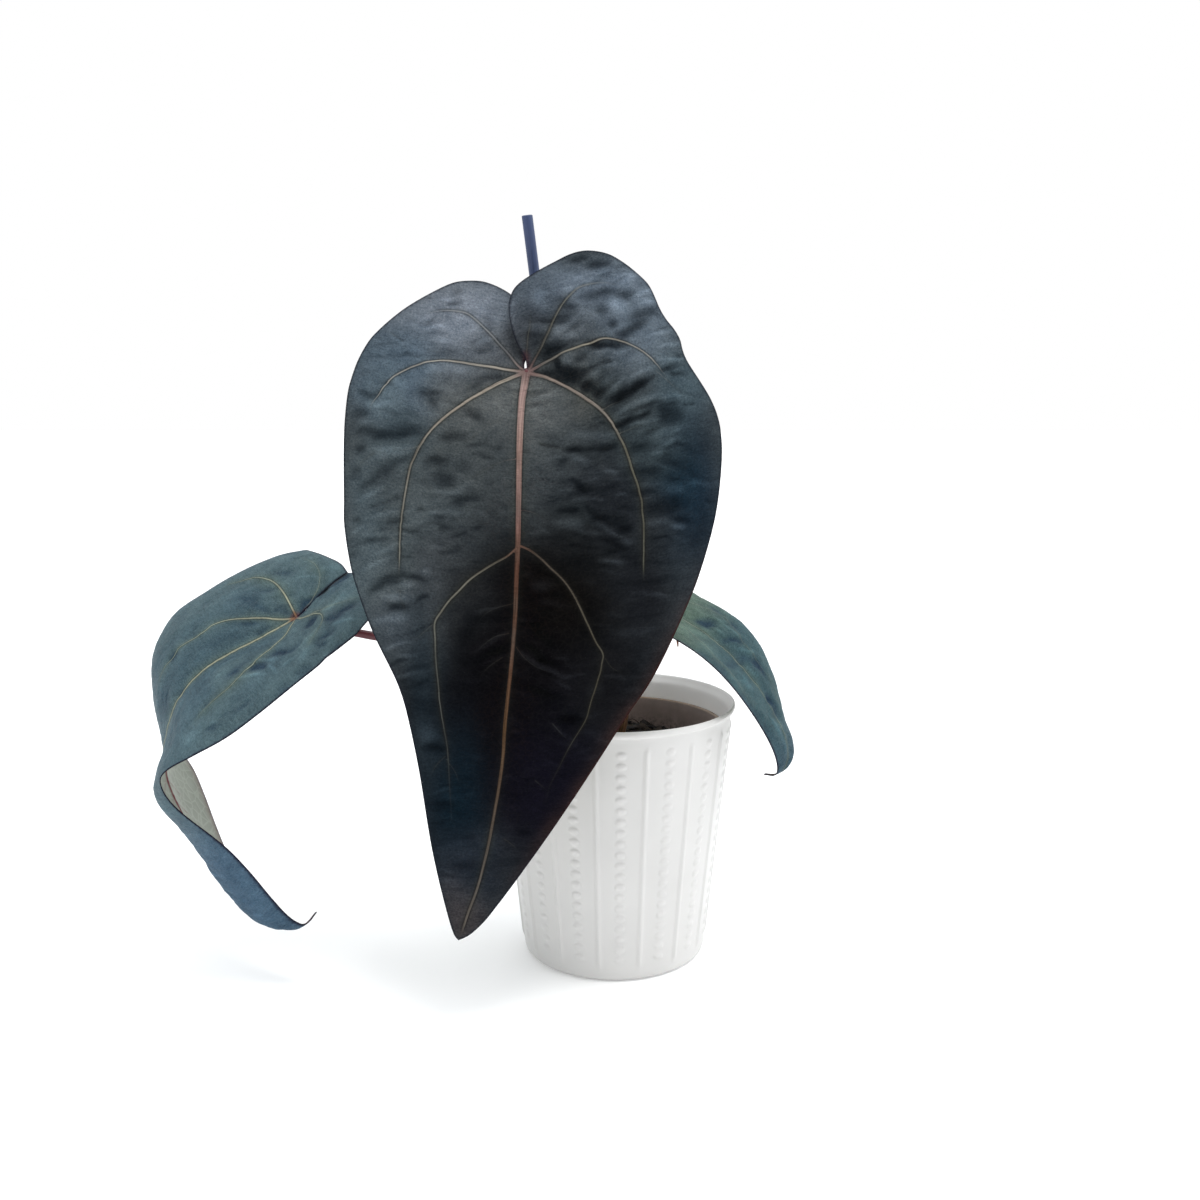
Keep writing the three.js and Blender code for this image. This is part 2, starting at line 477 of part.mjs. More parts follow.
// ================================================================ side blades
// Each row lies across the leaf at U millimetres from the petiole's joint
// (negative on the basal lobes): near margin, near quarter, midrib seen from
// the near half, midrib seen from the far half, far quarter, far margin.
const LEFT_U = [-53, -41, -28, -14, 0, 20, 40, 60, 78, 92, 104, 114, 124, 135, 147, 160, 175, 192, 210, 226, 240, 250, 259];
const LEFT_G = [
  [[-124.79,-21.33,214.51], [-141.21,9.51,221.28], [-155.6,42,221.96], [-152.54,28.92,221.67], [-157.47,38.39,225.93], [-160.64,49.16,226.04]],
  [[-131.06,-39.22,207.59], [-149.34,-1.96,215.65], [-165.72,37.57,217.11], [-161.5,22.96,217.05], [-168.22,38.43,225.69], [-172.6,56.07,227.88]],
  [[-138.52,-51.6,200.42], [-156.37,-14.33,209.23], [-172.18,26.25,210.96], [-168.8,15.54,211], [-178.63,36.26,224.3], [-185.41,60.53,228.31]],
  [[-147.25,-59.54,192.9], [-163.52,-25.61,202.07], [-176.97,11.9,204.03], [-175.48,7.37,204.07], [-189.25,32.87,220.28], [-199.05,62.78,226.79]],
  [[-156.6,-64.64,185.41], [-171.86,-32.98,194.78], [-183.25,1.21,197.49], [-183.25,1.21,197.49], [-200.13,29.86,215.25], [-212.54,63.31,223.09]],
  [[-170.88,-69.69,174.34], [-186.12,-38.54,184.46], [-198.69,-4.15,188.72], [-198.69,-4.15,188.72], [-217.41,26.21,207.19], [-231.59,61.95,214.7]],
  [[-186.02,-74.33,162.37], [-202.34,-43.01,174.6], [-217.14,-8.29,179.99], [-217.14,-8.29,179.99], [-236.11,21.94,198.09], [-250.47,58.69,203.89]],
  [[-203.04,-79.64,150.17], [-219.67,-49.33,163.91], [-233.3,-15.51,170.14], [-233.3,-15.51,170.14], [-254.76,15.13,185.63], [-271.27,51.92,188.87]],
  [[-220.72,-84.24,141.02], [-232.75,-56.25,151.42], [-242.94,-24.01,158.88], [-242.94,-24.01,158.88], [-265.23,5.49,167.48], [-279.86,39.98,167.77]],
  [[-230.78,-87.14,136.01], [-237.24,-62,142.61], [-247.25,-31.33,147.79], [-247.25,-31.33,147.79], [-265.42,-1.6,149.72], [-277.51,30.48,149.78]],
  [[-234.99,-88.85,132.01], [-240.8,-66.39,135.31], [-248.94,-37.44,137.05], [-248.94,-37.44,137.05], [-261.53,-7.99,134.77], [-273.11,21.76,133.28]],
  [[-235.14,-89.55,127.34], [-243.5,-68.87,127.59], [-248.9,-41.88,127.94], [-248.9,-41.88,127.94], [-256.83,-14.87,124.73], [-265.19,12.46,119.82]],
  [[-232.35,-89.49,120.95], [-244.92,-69.9,118.44], [-247.49,-45.42,119.1], [-247.49,-45.42,119.1], [-251.77,-21.08,117.21], [-253.86,3.85,115.1]],
  [[-226.97,-88.68,113.69], [-241.42,-69.78,108.62], [-244.29,-48.38,109.64], [-244.29,-48.38,109.64], [-246.17,-26.78,107.7], [-245.3,-4.36,108.25]],
  [[-219.94,-87.09,106.36], [-233.75,-68.83,98.55], [-239.09,-50.7,99.49], [-239.09,-50.7,99.49], [-239.64,-31.92,95.8], [-237.32,-12.12,95.24]],
  [[-212.36,-84.78,98.66], [-226.54,-67.49,87.49], [-232.12,-52.44,88.48], [-232.12,-52.44,88.48], [-232.7,-36.57,84.14], [-229.96,-19.51,81.15]],
  [[-203.87,-81.7,88.9], [-219.17,-65.93,74.44], [-223.68,-53.85,75.5], [-223.68,-53.85,75.5], [-224.61,-41.26,71.72], [-222.22,-27.27,68.35]],
  [[-194.5,-78.13,75.2], [-209.91,-64.52,59.56], [-215.14,-55.25,60.24], [-215.14,-55.25,60.24], [-214.64,-46.39,57.58], [-211.85,-35.8,56.19]],
  [[-185.15,-74.25,59.46], [-198.33,-63.63,45.88], [-204.93,-56.95,45.73], [-204.93,-56.95,45.73], [-202.54,-51.7,44.18], [-198.82,-44.55,44.68]],
  [[-177.75,-70.46,47.64], [-186.73,-63.38,38.23], [-191.83,-58.97,37.36], [-191.83,-58.97,37.36], [-190.08,-56.09,36.65], [-186.6,-51.72,37.98]],
  [[-172.26,-66.7,41.37], [-175.78,-63.61,36.98], [-178.72,-61.33,35.81], [-178.72,-61.33,35.81], [-177.6,-59.52,35.63], [-176.26,-57.26,36.58]],
  [[-168.62,-64,40.29], [-169.33,-63.42,39.68], [-170.04,-62.83,39.08], [-170.04,-62.83,39.08], [-169.47,-61.9,39.25], [-168.91,-60.97,39.43]],
  [[-163.6,-63.16,46.24], [-163.88,-62.94,46.01], [-164.15,-62.71,45.77], [-164.15,-62.71,45.77], [-163.93,-62.35,45.84], [-163.72,-61.99,45.91]],
];
const RIGHT_U = [-29, -20, -10, 0, 14, 30, 45, 60, 74, 87, 98, 108, 116, 122, 128, 133];
const RIGHT_G = [
  [[7.53,-21.47,215.18], [10.47,-1.4,217.19], [12.55,20.37,217.87], [13.51,24.38,218.75], [18.95,31.65,222.85], [21.4,39.59,222.08]],
  [[9.63,-34.07,209.94], [14.07,-10.1,212.59], [17.45,13.52,213.48], [17.76,17.95,214.13], [25.26,30.21,219.78], [28.18,45.03,218.75]],
  [[14.11,-42.31,205.35], [18.92,-16.88,207.9], [22.63,7.89,208.57], [22.9,10.32,209.01], [31.3,28.44,214.9], [34.6,48.51,213.63]],
  [[20.27,-46.38,202.13], [25.02,-21.22,203.43], [28.9,4.01,203.7], [28.9,4.01,203.7], [37.23,26.49,209.62], [41.06,49.73,208.27]],
  [[30.59,-48.24,196.76], [35.78,-24.42,197.12], [40.01,-0.27,196.36], [40.01,-0.27,196.36], [48.02,23.43,202.99], [51.72,48.51,201.97]],
  [[42.89,-47.76,188.81], [48.93,-26,189.14], [53.76,-3.26,187.45], [53.76,-3.26,187.45], [61.94,19.46,195.38], [65.02,44.37,195.31]],
  [[53.35,-46.87,179.99], [59.82,-27.24,180.28], [65.04,-6.46,178.42], [65.04,-6.46,178.42], [73.71,15.13,186.6], [76.77,38.95,187.6]],
  [[62.82,-45.88,169.8], [69.36,-28.66,170.02], [74.69,-10.51,168.54], [74.69,-10.51,168.54], [83.43,9.7,175.31], [86.65,31.72,176.54]],
  [[71.13,-44.82,158.94], [77.52,-30.26,159.2], [82.65,-15.15,158.37], [82.65,-15.15,158.37], [90.29,3.14,162.42], [93.27,22.78,162.66]],
  [[78.66,-43.65,147.61], [84.8,-32.04,148.11], [89.47,-20.24,147.98], [89.47,-20.24,147.98], [94.5,-4.65,149.91], [96.49,12.13,149.52]],
  [[84.49,-42.32,137.42], [90.17,-33.58,138.17], [94.29,-24.84,138.57], [94.29,-24.84,138.57], [97.35,-12.44,139.62], [98.36,1.22,139.4]],
  [[88.48,-40.49,128.28], [93.21,-34.59,129.12], [96.78,-28.65,129.77], [96.78,-28.65,129.77], [100.52,-20.07,130.41], [101.44,-10.15,130.6]],
  [[90.23,-38.39,121.44], [93.61,-34.9,122.11], [96.47,-31.1,122.7], [96.47,-31.1,122.7], [100.31,-26.27,123.06], [101.43,-20.19,123.53]],
  [[90.25,-36.43,117.16], [92.28,-34.71,117.51], [94.24,-32.42,117.91], [94.24,-32.42,117.91], [96.53,-30.49,118], [97.59,-27.55,118.38]],
  [[88.37,-34.42,114.87], [89,-33.79,114.99], [89.63,-33.16,115.1], [89.63,-33.16,115.1], [90.14,-32.42,115.17], [90.64,-31.68,115.25]],
  [[83.36,-33.85,115.35], [83.65,-33.55,115.41], [83.95,-33.26,115.46], [83.95,-33.26,115.46], [84.19,-32.91,115.5], [84.43,-32.56,115.53]],
];
// outlines as (U, share of the half width: -1 near margin, +1 far margin)
const LEFT_OUT = [
  [0, 0], [-8, -0.014], [-20, -0.013], [-32, -0.02], [-42, -0.05], [-45.3, -0.09], [-46.2, -0.143], [-48.3, -0.239],
  [-50.2, -0.375], [-51.8, -0.567], [-51.8, -0.773], [-49.2, -0.925], [-42.8, -0.984], [-34.2, -0.998], [-26.6, -1.013], [-16.2, -1],
  [-5.5, -0.987], [0, -1], [259, -1], [259, 1], [0, 1], [-17.6, 1.03], [-23.4, 1.094], [-29.6, 0.884],
  [-37.2, 0.66], [-42.6, 0.481], [-45.6, 0.31], [-46.6, 0.163], [-47.1, 0.041], [-41, 0.022], [-32, 0.02], [-20, 0.013],
  [-8, 0.014],
];
const RIGHT_OUT = [
  [0, 0], [-8, -0.05], [-17, -0.12], [-23, -0.3], [-25, -0.55], [-22, -0.8], [-14, -0.95], [0, -1],
  [133, -1], [133, 1], [0, 1], [-14, 0.96], [-23, 0.8], [-26.5, 0.5], [-24, 0.2], [-15, 0.07],
  [-7, 0.04],
];
function sheet(U, G) {
  const n = U.length;
  const slope = G.map((row, i) => row.map((_, c) => {
    const a = Math.max(0, i - 1), b = Math.min(n - 1, i + 1);
    return V(G[b][c]).sub(V(G[a][c])).divideScalar(U[b] - U[a]);
  }));
  const rowAt = (u) => {
    let i = 0;
    while (i < n - 2 && u >= U[i + 1]) i++;
    const h = U[i + 1] - U[i], t = (u - U[i]) / h, t2 = t * t, t3 = t2 * t;
    return G[i].map((_, c) => V(G[i][c]).multiplyScalar(2 * t3 - 3 * t2 + 1)
      .addScaledVector(slope[i][c], (t3 - 2 * t2 + t) * h)
      .addScaledVector(V(G[i + 1][c]), 3 * t2 - 2 * t3)
      .addScaledVector(slope[i + 1][c], (t3 - t2) * h));
  };
  const at = (u, v) => {
    const R = rowAt(Math.max(U[0], Math.min(U[n - 1], u)));
    const [a, b, c] = v < 0 ? [R[0], R[1], R[2]] : [R[3], R[4], R[5]], s = v < 0 ? 1 + v : v;
    return a.multiplyScalar((1 - s) * (1 - 2 * s)).addScaledVector(b, 4 * s * (1 - s)).addScaledVector(c, s * (2 * s - 1));
  };
  // half widths, for a flat plan close to true size
  const wide = (u, side) => {
    const R = rowAt(Math.max(U[0], Math.min(U[n - 1], u))), k = side < 0 ? 0 : 3;
    return R[k].distanceTo(R[k + 1]) + R[k + 1].distanceTo(R[k + 2]);
  };
  return { at, wide };
}
function sideBlade(U, G, out, step) {
  const S = sheet(U, G);
  const dense = [];
  for (let i = 0; i < out.length; i++) {
    const a = out[i], b = out[(i + 1) % out.length];
    const k = Math.max(1, Math.ceil(Math.abs(b[0] - a[0]) / 4));
    for (let q = 0; q < k; q++) dense.push([lerp(a[0], b[0], q / k), lerp(a[1], b[1], q / k)]);
  }
  const flat = dense.map(([u, v]) => [v * S.wide(u, v), u]);
  const map = (X, Y) => S.at(Y, X / S.wide(Y, X));
  return blade(flat, step, map, BLADE_T);
}

// ================================================================ cataphylls
// thin pointed papery bracts, curved round the petiole bases
function bract(name, points, width, across) {
  const curve = new THREE.CatmullRomCurve3(points.map(V)), n = 9, m = 4, T = 0.5;
  const P = [], N = [];
  for (let i = 0; i <= n; i++) {
    const t = i / n, c = curve.getPoint(t), d = curve.getTangent(t);
    const w = width * (t < 0.3 ? lerp(0.75, 1, t / 0.3) : Math.sqrt(Math.max(0.02, (1 - t) / 0.7)));
    const a = V(across).projectOnPlane(d).normalize(), up = a.clone().cross(d).normalize();
    for (let j = 0; j <= m; j++) {
      const s = (j / m - 0.5) * 2, ang = s * 0.9;
      P.push(c.clone().addScaledVector(a, (w / 2) * Math.sin(ang) / Math.sin(0.9)).addScaledVector(up, (w / 2) * (1 - Math.cos(ang)) / Math.sin(0.9)));
      N.push(a.clone().multiplyScalar(Math.sin(ang)).addScaledVector(up, -Math.cos(ang)));
    }
  }
  const k = P.length, pos = [], idx = [], id = (i, j) => i * (m + 1) + j;
  for (const s of [T / 2, -T / 2]) P.forEach((p, i) => { const q = p.clone().addScaledVector(N[i], s); pos.push(q.x, q.y, q.z); });
  const quad = (a, b, c, d) => idx.push(a, b, c, a, c, d);
  for (let i = 0; i < n; i++) for (let j = 0; j < m; j++) {
    const a = id(i, j), b = id(i, j + 1), c = id(i + 1, j + 1), d = id(i + 1, j);
    quad(a, b, c, d); quad(a + k, d + k, c + k, b + k);
  }
  const edge = (a, b) => quad(b, a, a + k, b + k);
  for (let j = 0; j < m; j++) { edge(id(0, j), id(0, j + 1)); edge(id(n, j + 1), id(n, j)); }
  for (let i = 0; i < n; i++) { edge(id(i + 1, 0), id(i, 0)); edge(id(i, m), id(i + 1, m)); }
  const g = closed({ pos, idx });
  return meshFrom(name, g.pos, g.idx, M.cataphyll);
}

// ================================================================= assembly
const group = new THREE.Group();
group.name = "potted_anthurium";
const add = (name, g, m) => group.add(meshFrom(name, g.pos, g.idx, m));

const potGroup = new THREE.Group();
potGroup.add(meshFrom("cover_pot", potSolid.pos, potSolid.idx, M.potWhite));
const ng = fromSolid(nursery);
potGroup.add(meshFrom("nursery_pot", ng.pos, ng.idx, M.potBrown));
const sg = fromSolid(substrate);
potGroup.add(meshFrom("substrate", sg.pos, sg.idx, M.substrate));
group.add(potGroup);

const stg = fromSolid(stemSolid);
add("stem_and_roots", stg, M.stem);
for (const [name, [pts, rad]] of Object.entries(PETIOLES)) {
  add(name, closed(bar(pts, rad, 9, name === "right_petiole" ? 16 : 34)), M.petiole);
}
add("front_leaf_blade", frontBlade, M.frontBlade);
add("left_leaf_blade", sideBlade(LEFT_U, LEFT_G, LEFT_OUT, 8.5), M.sideBlade);
add("right_leaf_blade", sideBlade(RIGHT_U, RIGHT_G, RIGHT_OUT, 7.5), M.sideBlade);
add("support_stake", stakeGeo, M.stake);
add("plant_tie", tieGeo, M.tie);
group.add(bract("cataphyll_right", [[5.2, -4.6, 128.5], [7.4, -6.3, 140], [9.2, -7.6, 151], [12.2, -8.9, 162], [16.2, -10.5, 172.8], [22.5, -13.5, 185.2], [28.3, -16, 192.6], [33, -17.5, 193.8], [35.4, -18.5, 185.2]], 8, [0.3, -1, 0]));
group.add(bract("cataphyll_left", [[-15.5, -2.6, 128.5], [-19, -3.4, 140], [-26, -5, 158], [-36, -6.5, 174]], 8, [-0.2, -1, 0.2]));
group.add(bract("cataphyll_back", [[-5, 10.4, 129], [-5, 13, 142], [-3, 18, 160], [1, 26, 176]], 8, [1, 0.1, 0]));

export default group;
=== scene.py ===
# Potted velvet-leaved anthurium hybrid, as a detailed visual model on the CAD frame.
# Lengths in the tables are millimetres in the row frame; meshes are made in metres.
import math

import bpy
import numpy as np
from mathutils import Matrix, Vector
from mathutils.geometry import delaunay_2d_cdt


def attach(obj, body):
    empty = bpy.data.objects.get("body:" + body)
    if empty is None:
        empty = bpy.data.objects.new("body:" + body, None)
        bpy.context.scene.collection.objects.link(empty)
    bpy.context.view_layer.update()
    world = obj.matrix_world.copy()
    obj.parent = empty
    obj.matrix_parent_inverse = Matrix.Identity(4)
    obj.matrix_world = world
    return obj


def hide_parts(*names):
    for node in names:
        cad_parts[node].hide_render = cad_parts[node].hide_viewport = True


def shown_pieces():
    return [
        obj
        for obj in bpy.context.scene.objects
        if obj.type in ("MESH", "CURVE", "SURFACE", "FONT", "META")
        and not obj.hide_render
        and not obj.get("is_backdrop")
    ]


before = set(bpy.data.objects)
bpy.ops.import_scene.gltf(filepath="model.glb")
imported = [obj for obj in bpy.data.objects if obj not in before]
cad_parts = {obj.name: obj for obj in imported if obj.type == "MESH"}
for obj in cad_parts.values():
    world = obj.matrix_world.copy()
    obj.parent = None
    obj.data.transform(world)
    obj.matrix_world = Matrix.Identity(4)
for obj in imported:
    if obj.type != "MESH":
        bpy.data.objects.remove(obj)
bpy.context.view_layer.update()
MM = 0.001
RNG = np.random.default_rng(11)

# ------------------------------------------------------------------ camera
cam_data = bpy.data.cameras.new("camera")
cam = bpy.data.objects.new("camera", cam_data)
bpy.context.scene.collection.objects.link(cam)
cam.location = (-0.0083407, -0.7330593, 0.3419485)
cam.rotation_euler = (math.radians(90 - 10.31), 0, 0)
cam_data.lens, cam_data.sensor_width = 39.0, 36.0
cam_data.clip_start, cam_data.clip_end = 0.01, 50
bpy.context.scene.camera = cam


# ----------------------------------------------------------------- numerics
def sstep(x, a=0.0, b=1.0):
    t = np.clip((np.asarray(x, float) - a) / (b - a), 0, 1)
    return t * t * (3 - 2 * t)


def hash2(i, j, seed):
    h = (i * 374761393 + j * 668265263 + seed * 1442695041) & 0x7FFFFFFF
    h = ((h ^ (h >> 13)) * 1274126177) & 0x7FFFFFFF
    return ((h ^ (h >> 16)) & 0xFFFF) / 65535.0 * 2 - 1


def noise2(x, y, seed=0):
    """Smooth value noise in -1..1 over the plane, one cell per unit."""
    x, y = np.asarray(x, float), np.asarray(y, float)
    i, j = np.floor(x).astype(np.int64), np.floor(y).astype(np.int64)
    u, v = x - i, y - j
    u, v = u * u * u * (u * (u * 6 - 15) + 10), v * v * v * (v * (v * 6 - 15) + 10)
    a, b = hash2(i, j, seed), hash2(i + 1, j, seed)
    c, d = hash2(i, j + 1, seed), hash2(i + 1, j + 1, seed)
    return (a * (1 - u) + b * u) * (1 - v) + (c * (1 - u) + d * u) * v


def fbm(x, y, seed=0, octaves=3):
    s, a, f = 0, 1.0, 1.0
    for k in range(octaves):
        s = s + a * noise2(x * f + 17.3 * k, y * f - 9.1 * k, seed + k)
        a, f = a * 0.5, f * 2.03
    return s


def catmull(P, step, closed=False):
    """Centripetal Catmull-Rom through the points, resampled at about `step`."""
    P = np.asarray(P, float)
    if closed:
        Q = np.vstack([P[-1], P, P[0], P[1]])
    else:
        Q = np.vstack([2 * P[0] - P[1], P, 2 * P[-1] - P[-2]])
    out = []
    for i in range(1, len(Q) - 2):
        p0, p1, p2, p3 = Q[i - 1], Q[i], Q[i + 1], Q[i + 2]
        t0 = 0.0
        t1 = t0 + max(np.linalg.norm(p1 - p0), 1e-6) ** 0.5
        t2 = t1 + max(np.linalg.norm(p2 - p1), 1e-6) ** 0.5
        t3 = t2 + max(np.linalg.norm(p3 - p2), 1e-6) ** 0.5
        n = max(2, int(np.linalg.norm(p2 - p1) / step * 4) + 2)
        for t in np.linspace(t1, t2, n, endpoint=False):
            a1 = (t1 - t) / (t1 - t0) * p0 + (t - t0) / (t1 - t0) * p1
            a2 = (t2 - t) / (t2 - t1) * p1 + (t - t1) / (t2 - t1) * p2
            a3 = (t3 - t) / (t3 - t2) * p2 + (t - t2) / (t3 - t2) * p3
            b1 = (t2 - t) / (t2 - t0) * a1 + (t - t0) / (t2 - t0) * a2
            b2 = (t3 - t) / (t3 - t1) * a2 + (t - t1) / (t3 - t1) * a3
            out.append((t2 - t) / (t2 - t1) * b1 + (t - t1) / (t2 - t1) * b2)
    out = np.array(out + ([] if closed else [P[-1]]))
    if closed:
        out = np.vstack([out, out[0]])
    s = np.r_[0, np.cumsum(np.linalg.norm(np.diff(out, axis=0), axis=1))]
    n = max(2, int(round(s[-1] / step)) + 1)
    t = np.linspace(0, s[-1], n)
    r = np.stack([np.interp(t, s, out[:, k]) for k in range(out.shape[1])], 1)
    return r[:-1] if closed else r


def outline_spline(poly, step, sharp=0.9):
    """A closed outline resampled smoothly, with its sharp corners kept."""
    P = np.asarray(poly, float)
    n = len(P)
    d0, d1 = P - np.roll(P, 1, 0), np.roll(P, -1, 0) - P
    turn = np.abs(np.arctan2(d0[:, 0] * d1[:, 1] - d0[:, 1] * d1[:, 0], (d0 * d1).sum(1)))
    c = [i for i in range(n) if turn[i] > sharp]
    if not c:
        return catmull(P, step, closed=True)
    parts = []
    for k, i0 in enumerate(c):
        i1 = c[(k + 1) % len(c)]
        idx = [i0]
        i = (i0 + 1) % n
        while True:
            idx.append(i)
            if i == i1:
                break
            i = (i + 1) % n
        parts.append((catmull(P[idx], step) if len(idx) > 2 else P[idx])[:-1])
    return np.vstack(parts)


def poly_dist(Q, P, closed, chunk=4000):
    """Distance from each row of Q to the polyline P, and the place along it."""
    A = P if closed else P[:-1]
    B = np.roll(P, -1, 0) if closed else P[1:]
    D = B - A
    L2 = np.maximum((D**2).sum(1), 1e-12)
    s0 = np.r_[0, np.cumsum(np.sqrt(L2))][:-1]
    out, pos, sgn = np.empty(len(Q)), np.empty(len(Q)), np.empty(len(Q))
    for k in range(0, len(Q), chunk):
        q = Q[k : k + chunk, None, :] - A[None]
        t = np.clip((q * D[None]).sum(2) / L2, 0, 1)
        e = q - t[..., None] * D[None]
        d2 = (e**2).sum(2)
        j = d2.argmin(1)
        r = np.arange(len(j))
        out[k : k + chunk] = np.sqrt(d2[r, j])
        pos[k : k + chunk] = s0[j] + t[r, j] * np.sqrt(L2[j])
        sgn[k : k + chunk] = np.sign(D[j, 0] * q[r, j, 1] - D[j, 1] * q[r, j, 0])
    return out, pos, sgn


def inside(poly, Q):
    x, y = Q[:, 0], Q[:, 1]
    c = np.zeros(len(Q), bool)
    P1, P0 = poly, np.roll(poly, 1, 0)
    for (xi, yi), (xj, yj) in zip(P1, P0):
        if yi == yj:
            continue
        hit = ((yi > y) != (yj > y)) & (x < (xj - xi) * (y - yi) / (yj - yi) + xi)
        c ^= hit
    return c


# ------------------------------------------------------------ mesh building
def make_mesh(name, V, F, mats, face_mat=None, smooth=True, attrs=None):
    """V in millimetres; F a list or array of index tuples."""
    me = bpy.data.meshes.new(name)
    V = np.asarray(V, float) * MM
    F = F.tolist() if isinstance(F, np.ndarray) else F
    me.from_pydata(V.tolist(), [], F)
    for m in mats:
        me.materials.append(m)
    if face_mat is not None:
        me.polygons.foreach_set("material_index", np.asarray(face_mat, np.int32))
    me.polygons.foreach_set("use_smooth", np.full(len(me.polygons), smooth, bool))
    for k, a in (attrs or {}).items():
        a = np.asarray(a, float)
        if a.ndim == 1:
            at = me.attributes.new(k, "FLOAT", "POINT")
            at.data.foreach_set("value", a.astype(np.float32))
        elif k.endswith("_rgb"):
            at = me.attributes.new(k, "FLOAT_COLOR", "POINT")
            at.data.foreach_set("color", np.c_[a, np.ones(len(a))].astype(np.float32).ravel())
        else:
            at = me.attributes.new(k, "FLOAT_VECTOR", "POINT")
            at.data.foreach_set("vector", a.astype(np.float32).ravel())
    me.validate()
    me.update()
    ob = bpy.data.objects.new(name, me)
    bpy.context.scene.collection.objects.link(ob)
    return ob


def piece(ob, slot, *nodes):
    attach(ob, "root")
    if nodes:
        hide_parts(*nodes)
    return ob


class Soup:
    """Collects several closed shapes in one mesh, with point attributes."""

    def __init__(self):
        self.v, self.f, self.a, self.n = [], [], {}, 0

    def add(self, V, F, **attrs):
        V = np.asarray(V, float)
        self.v.append(V)
        self.f.extend([tuple(int(i) + self.n for i in f) for f in F])
        for k, a in attrs.items():
            a = np.asarray(a, float)
            if a.ndim == 0:
                a = np.full(len(V), float(a))
            elif a.ndim == 1 and len(a) == 3 and len(V) != 3:
                a = np.tile(a, (len(V), 1))
            self.a.setdefault(k, []).append(a)
        self.n += len(V)

    def build(self, name, mats, **kw):
        return make_mesh(name, np.vstack(self.v), self.f, mats, attrs={k: np.concatenate(a) for k, a in self.a.items()}, **kw)


def frames_along(C):
    """Tangent, normal and side of a curve, carried along without twisting."""
    T = np.gradient(C, axis=0)
    T /= np.linalg.norm(T, axis=1)[:, None]
    n = np.cross(T[0], [0.3, 1, 0.2])
    n /= np.linalg.norm(n)
    N = [n]
    for i in range(1, len(C)):
        n = N[-1] - T[i] * (N[-1] @ T[i])
        N.append(n / np.linalg.norm(n))
    N = np.array(N)
    return T, N, np.cross(T, N)


def tube(points, radii, sides=20, step=2.0, shape=None, cap=2):
    """A closed tube along a smooth curve. radii are spread evenly along it."""
    C = catmull(points, step)
    s = np.r_[0, np.cumsum(np.linalg.norm(np.diff(C, axis=0), axis=1))]
    t = s / s[-1]
    k = t * (len(radii) - 1)
    i = np.minimum(k.astype(int), len(radii) - 2)
    f = sstep(k - i)
    R = np.asarray(radii, float)
    r = R[i] * (1 - f) + R[i + 1] * f
    T, N, B = frames_along(C)
    V, U, A = [], [], []
    rows = []
    for j in range(len(C)):
        rows.append((C[j], N[j], B[j], r[j], t[j], s[j]))
    # rounded ends
    head = [(C[0] - T[0] * r[0] * math.sin(a), N[0], B[0], r[0] * math.cos(a), 0.0, 0.0) for a in np.linspace(1.25, 0.4, cap)]
    tail = [(C[-1] + T[-1] * r[-1] * math.sin(a), N[-1], B[-1], r[-1] * math.cos(a), 1.0, s[-1]) for a in np.linspace(0.4, 1.25, cap)]
    rows = head + rows + tail
    for c, n, b, rr, tt, ss in rows:
        for q in range(sides):
            a = 2 * math.pi * q / sides
            k = rr * (1 + (shape(tt, a) if shape else 0))
            V.append(c + n * math.cos(a) * k + b * math.sin(a) * k)
            U.append((ss, a * rr, 0.0))
            A.append(tt)
    m = len(rows)
    F = [(i * sides + q, i * sides + (q + 1) % sides, (i + 1) * sides + (q + 1) % sides, (i + 1) * sides + q) for i in range(m - 1) for q in range(sides)]
    F.append(tuple(range(sides - 1, -1, -1)))
    F.append(tuple((m - 1) * sides + q for q in range(sides)))
    return np.array(V), F, np.array(A), np.array(U)


def lathe(profile, angles, outer=None, warp=None):
    """A closed body of revolution; profile rows are (r, z), r = 0 at both ends
    or a loop. warp(x_angle, z, r, row) moves points along the radius."""
    n, m = len(profile), len(angles)
    V, idx = [], []
    for i, (r, z) in enumerate(profile):
        if r == 0:
            idx.append([len(V)] * m)
            V.append((0, 0, z))
            continue
        rr = r + (warp(angles, z, r, i) if warp else np.zeros(m))
        idx.append(list(range(len(V), len(V) + m)))
        V.extend(zip(rr * np.cos(angles), rr * np.sin(angles), np.full(m, z)))
    F = []
    loop = not (profile[0][0] == 0 and profile[-1][0] == 0)
    for i in range(n if loop else n - 1):
        a, b = idx[i], idx[(i + 1) % n]
        for j in range(m):
            k = (j + 1) % m
            q = (a[j], a[k], b[k], b[j])
            if a[j] == a[k]:
                q = (a[j], b[k], b[j])
            elif b[j] == b[k]:
                q = (a[j], a[k], b[j])
            F.append(q)
    return np.array(V), F


# ---------------------------------------------------------------- materials
def nodes_of(mat):
    mat.use_nodes = True
    nt = mat.node_tree
    nt.nodes.clear()
    out = nt.nodes.new("ShaderNodeOutputMaterial")
    bsdf = nt.nodes.new("ShaderNodeBsdfPrincipled")
    nt.links.new(bsdf.outputs["BSDF"], out.inputs["Surface"])
    return nt, bsdf


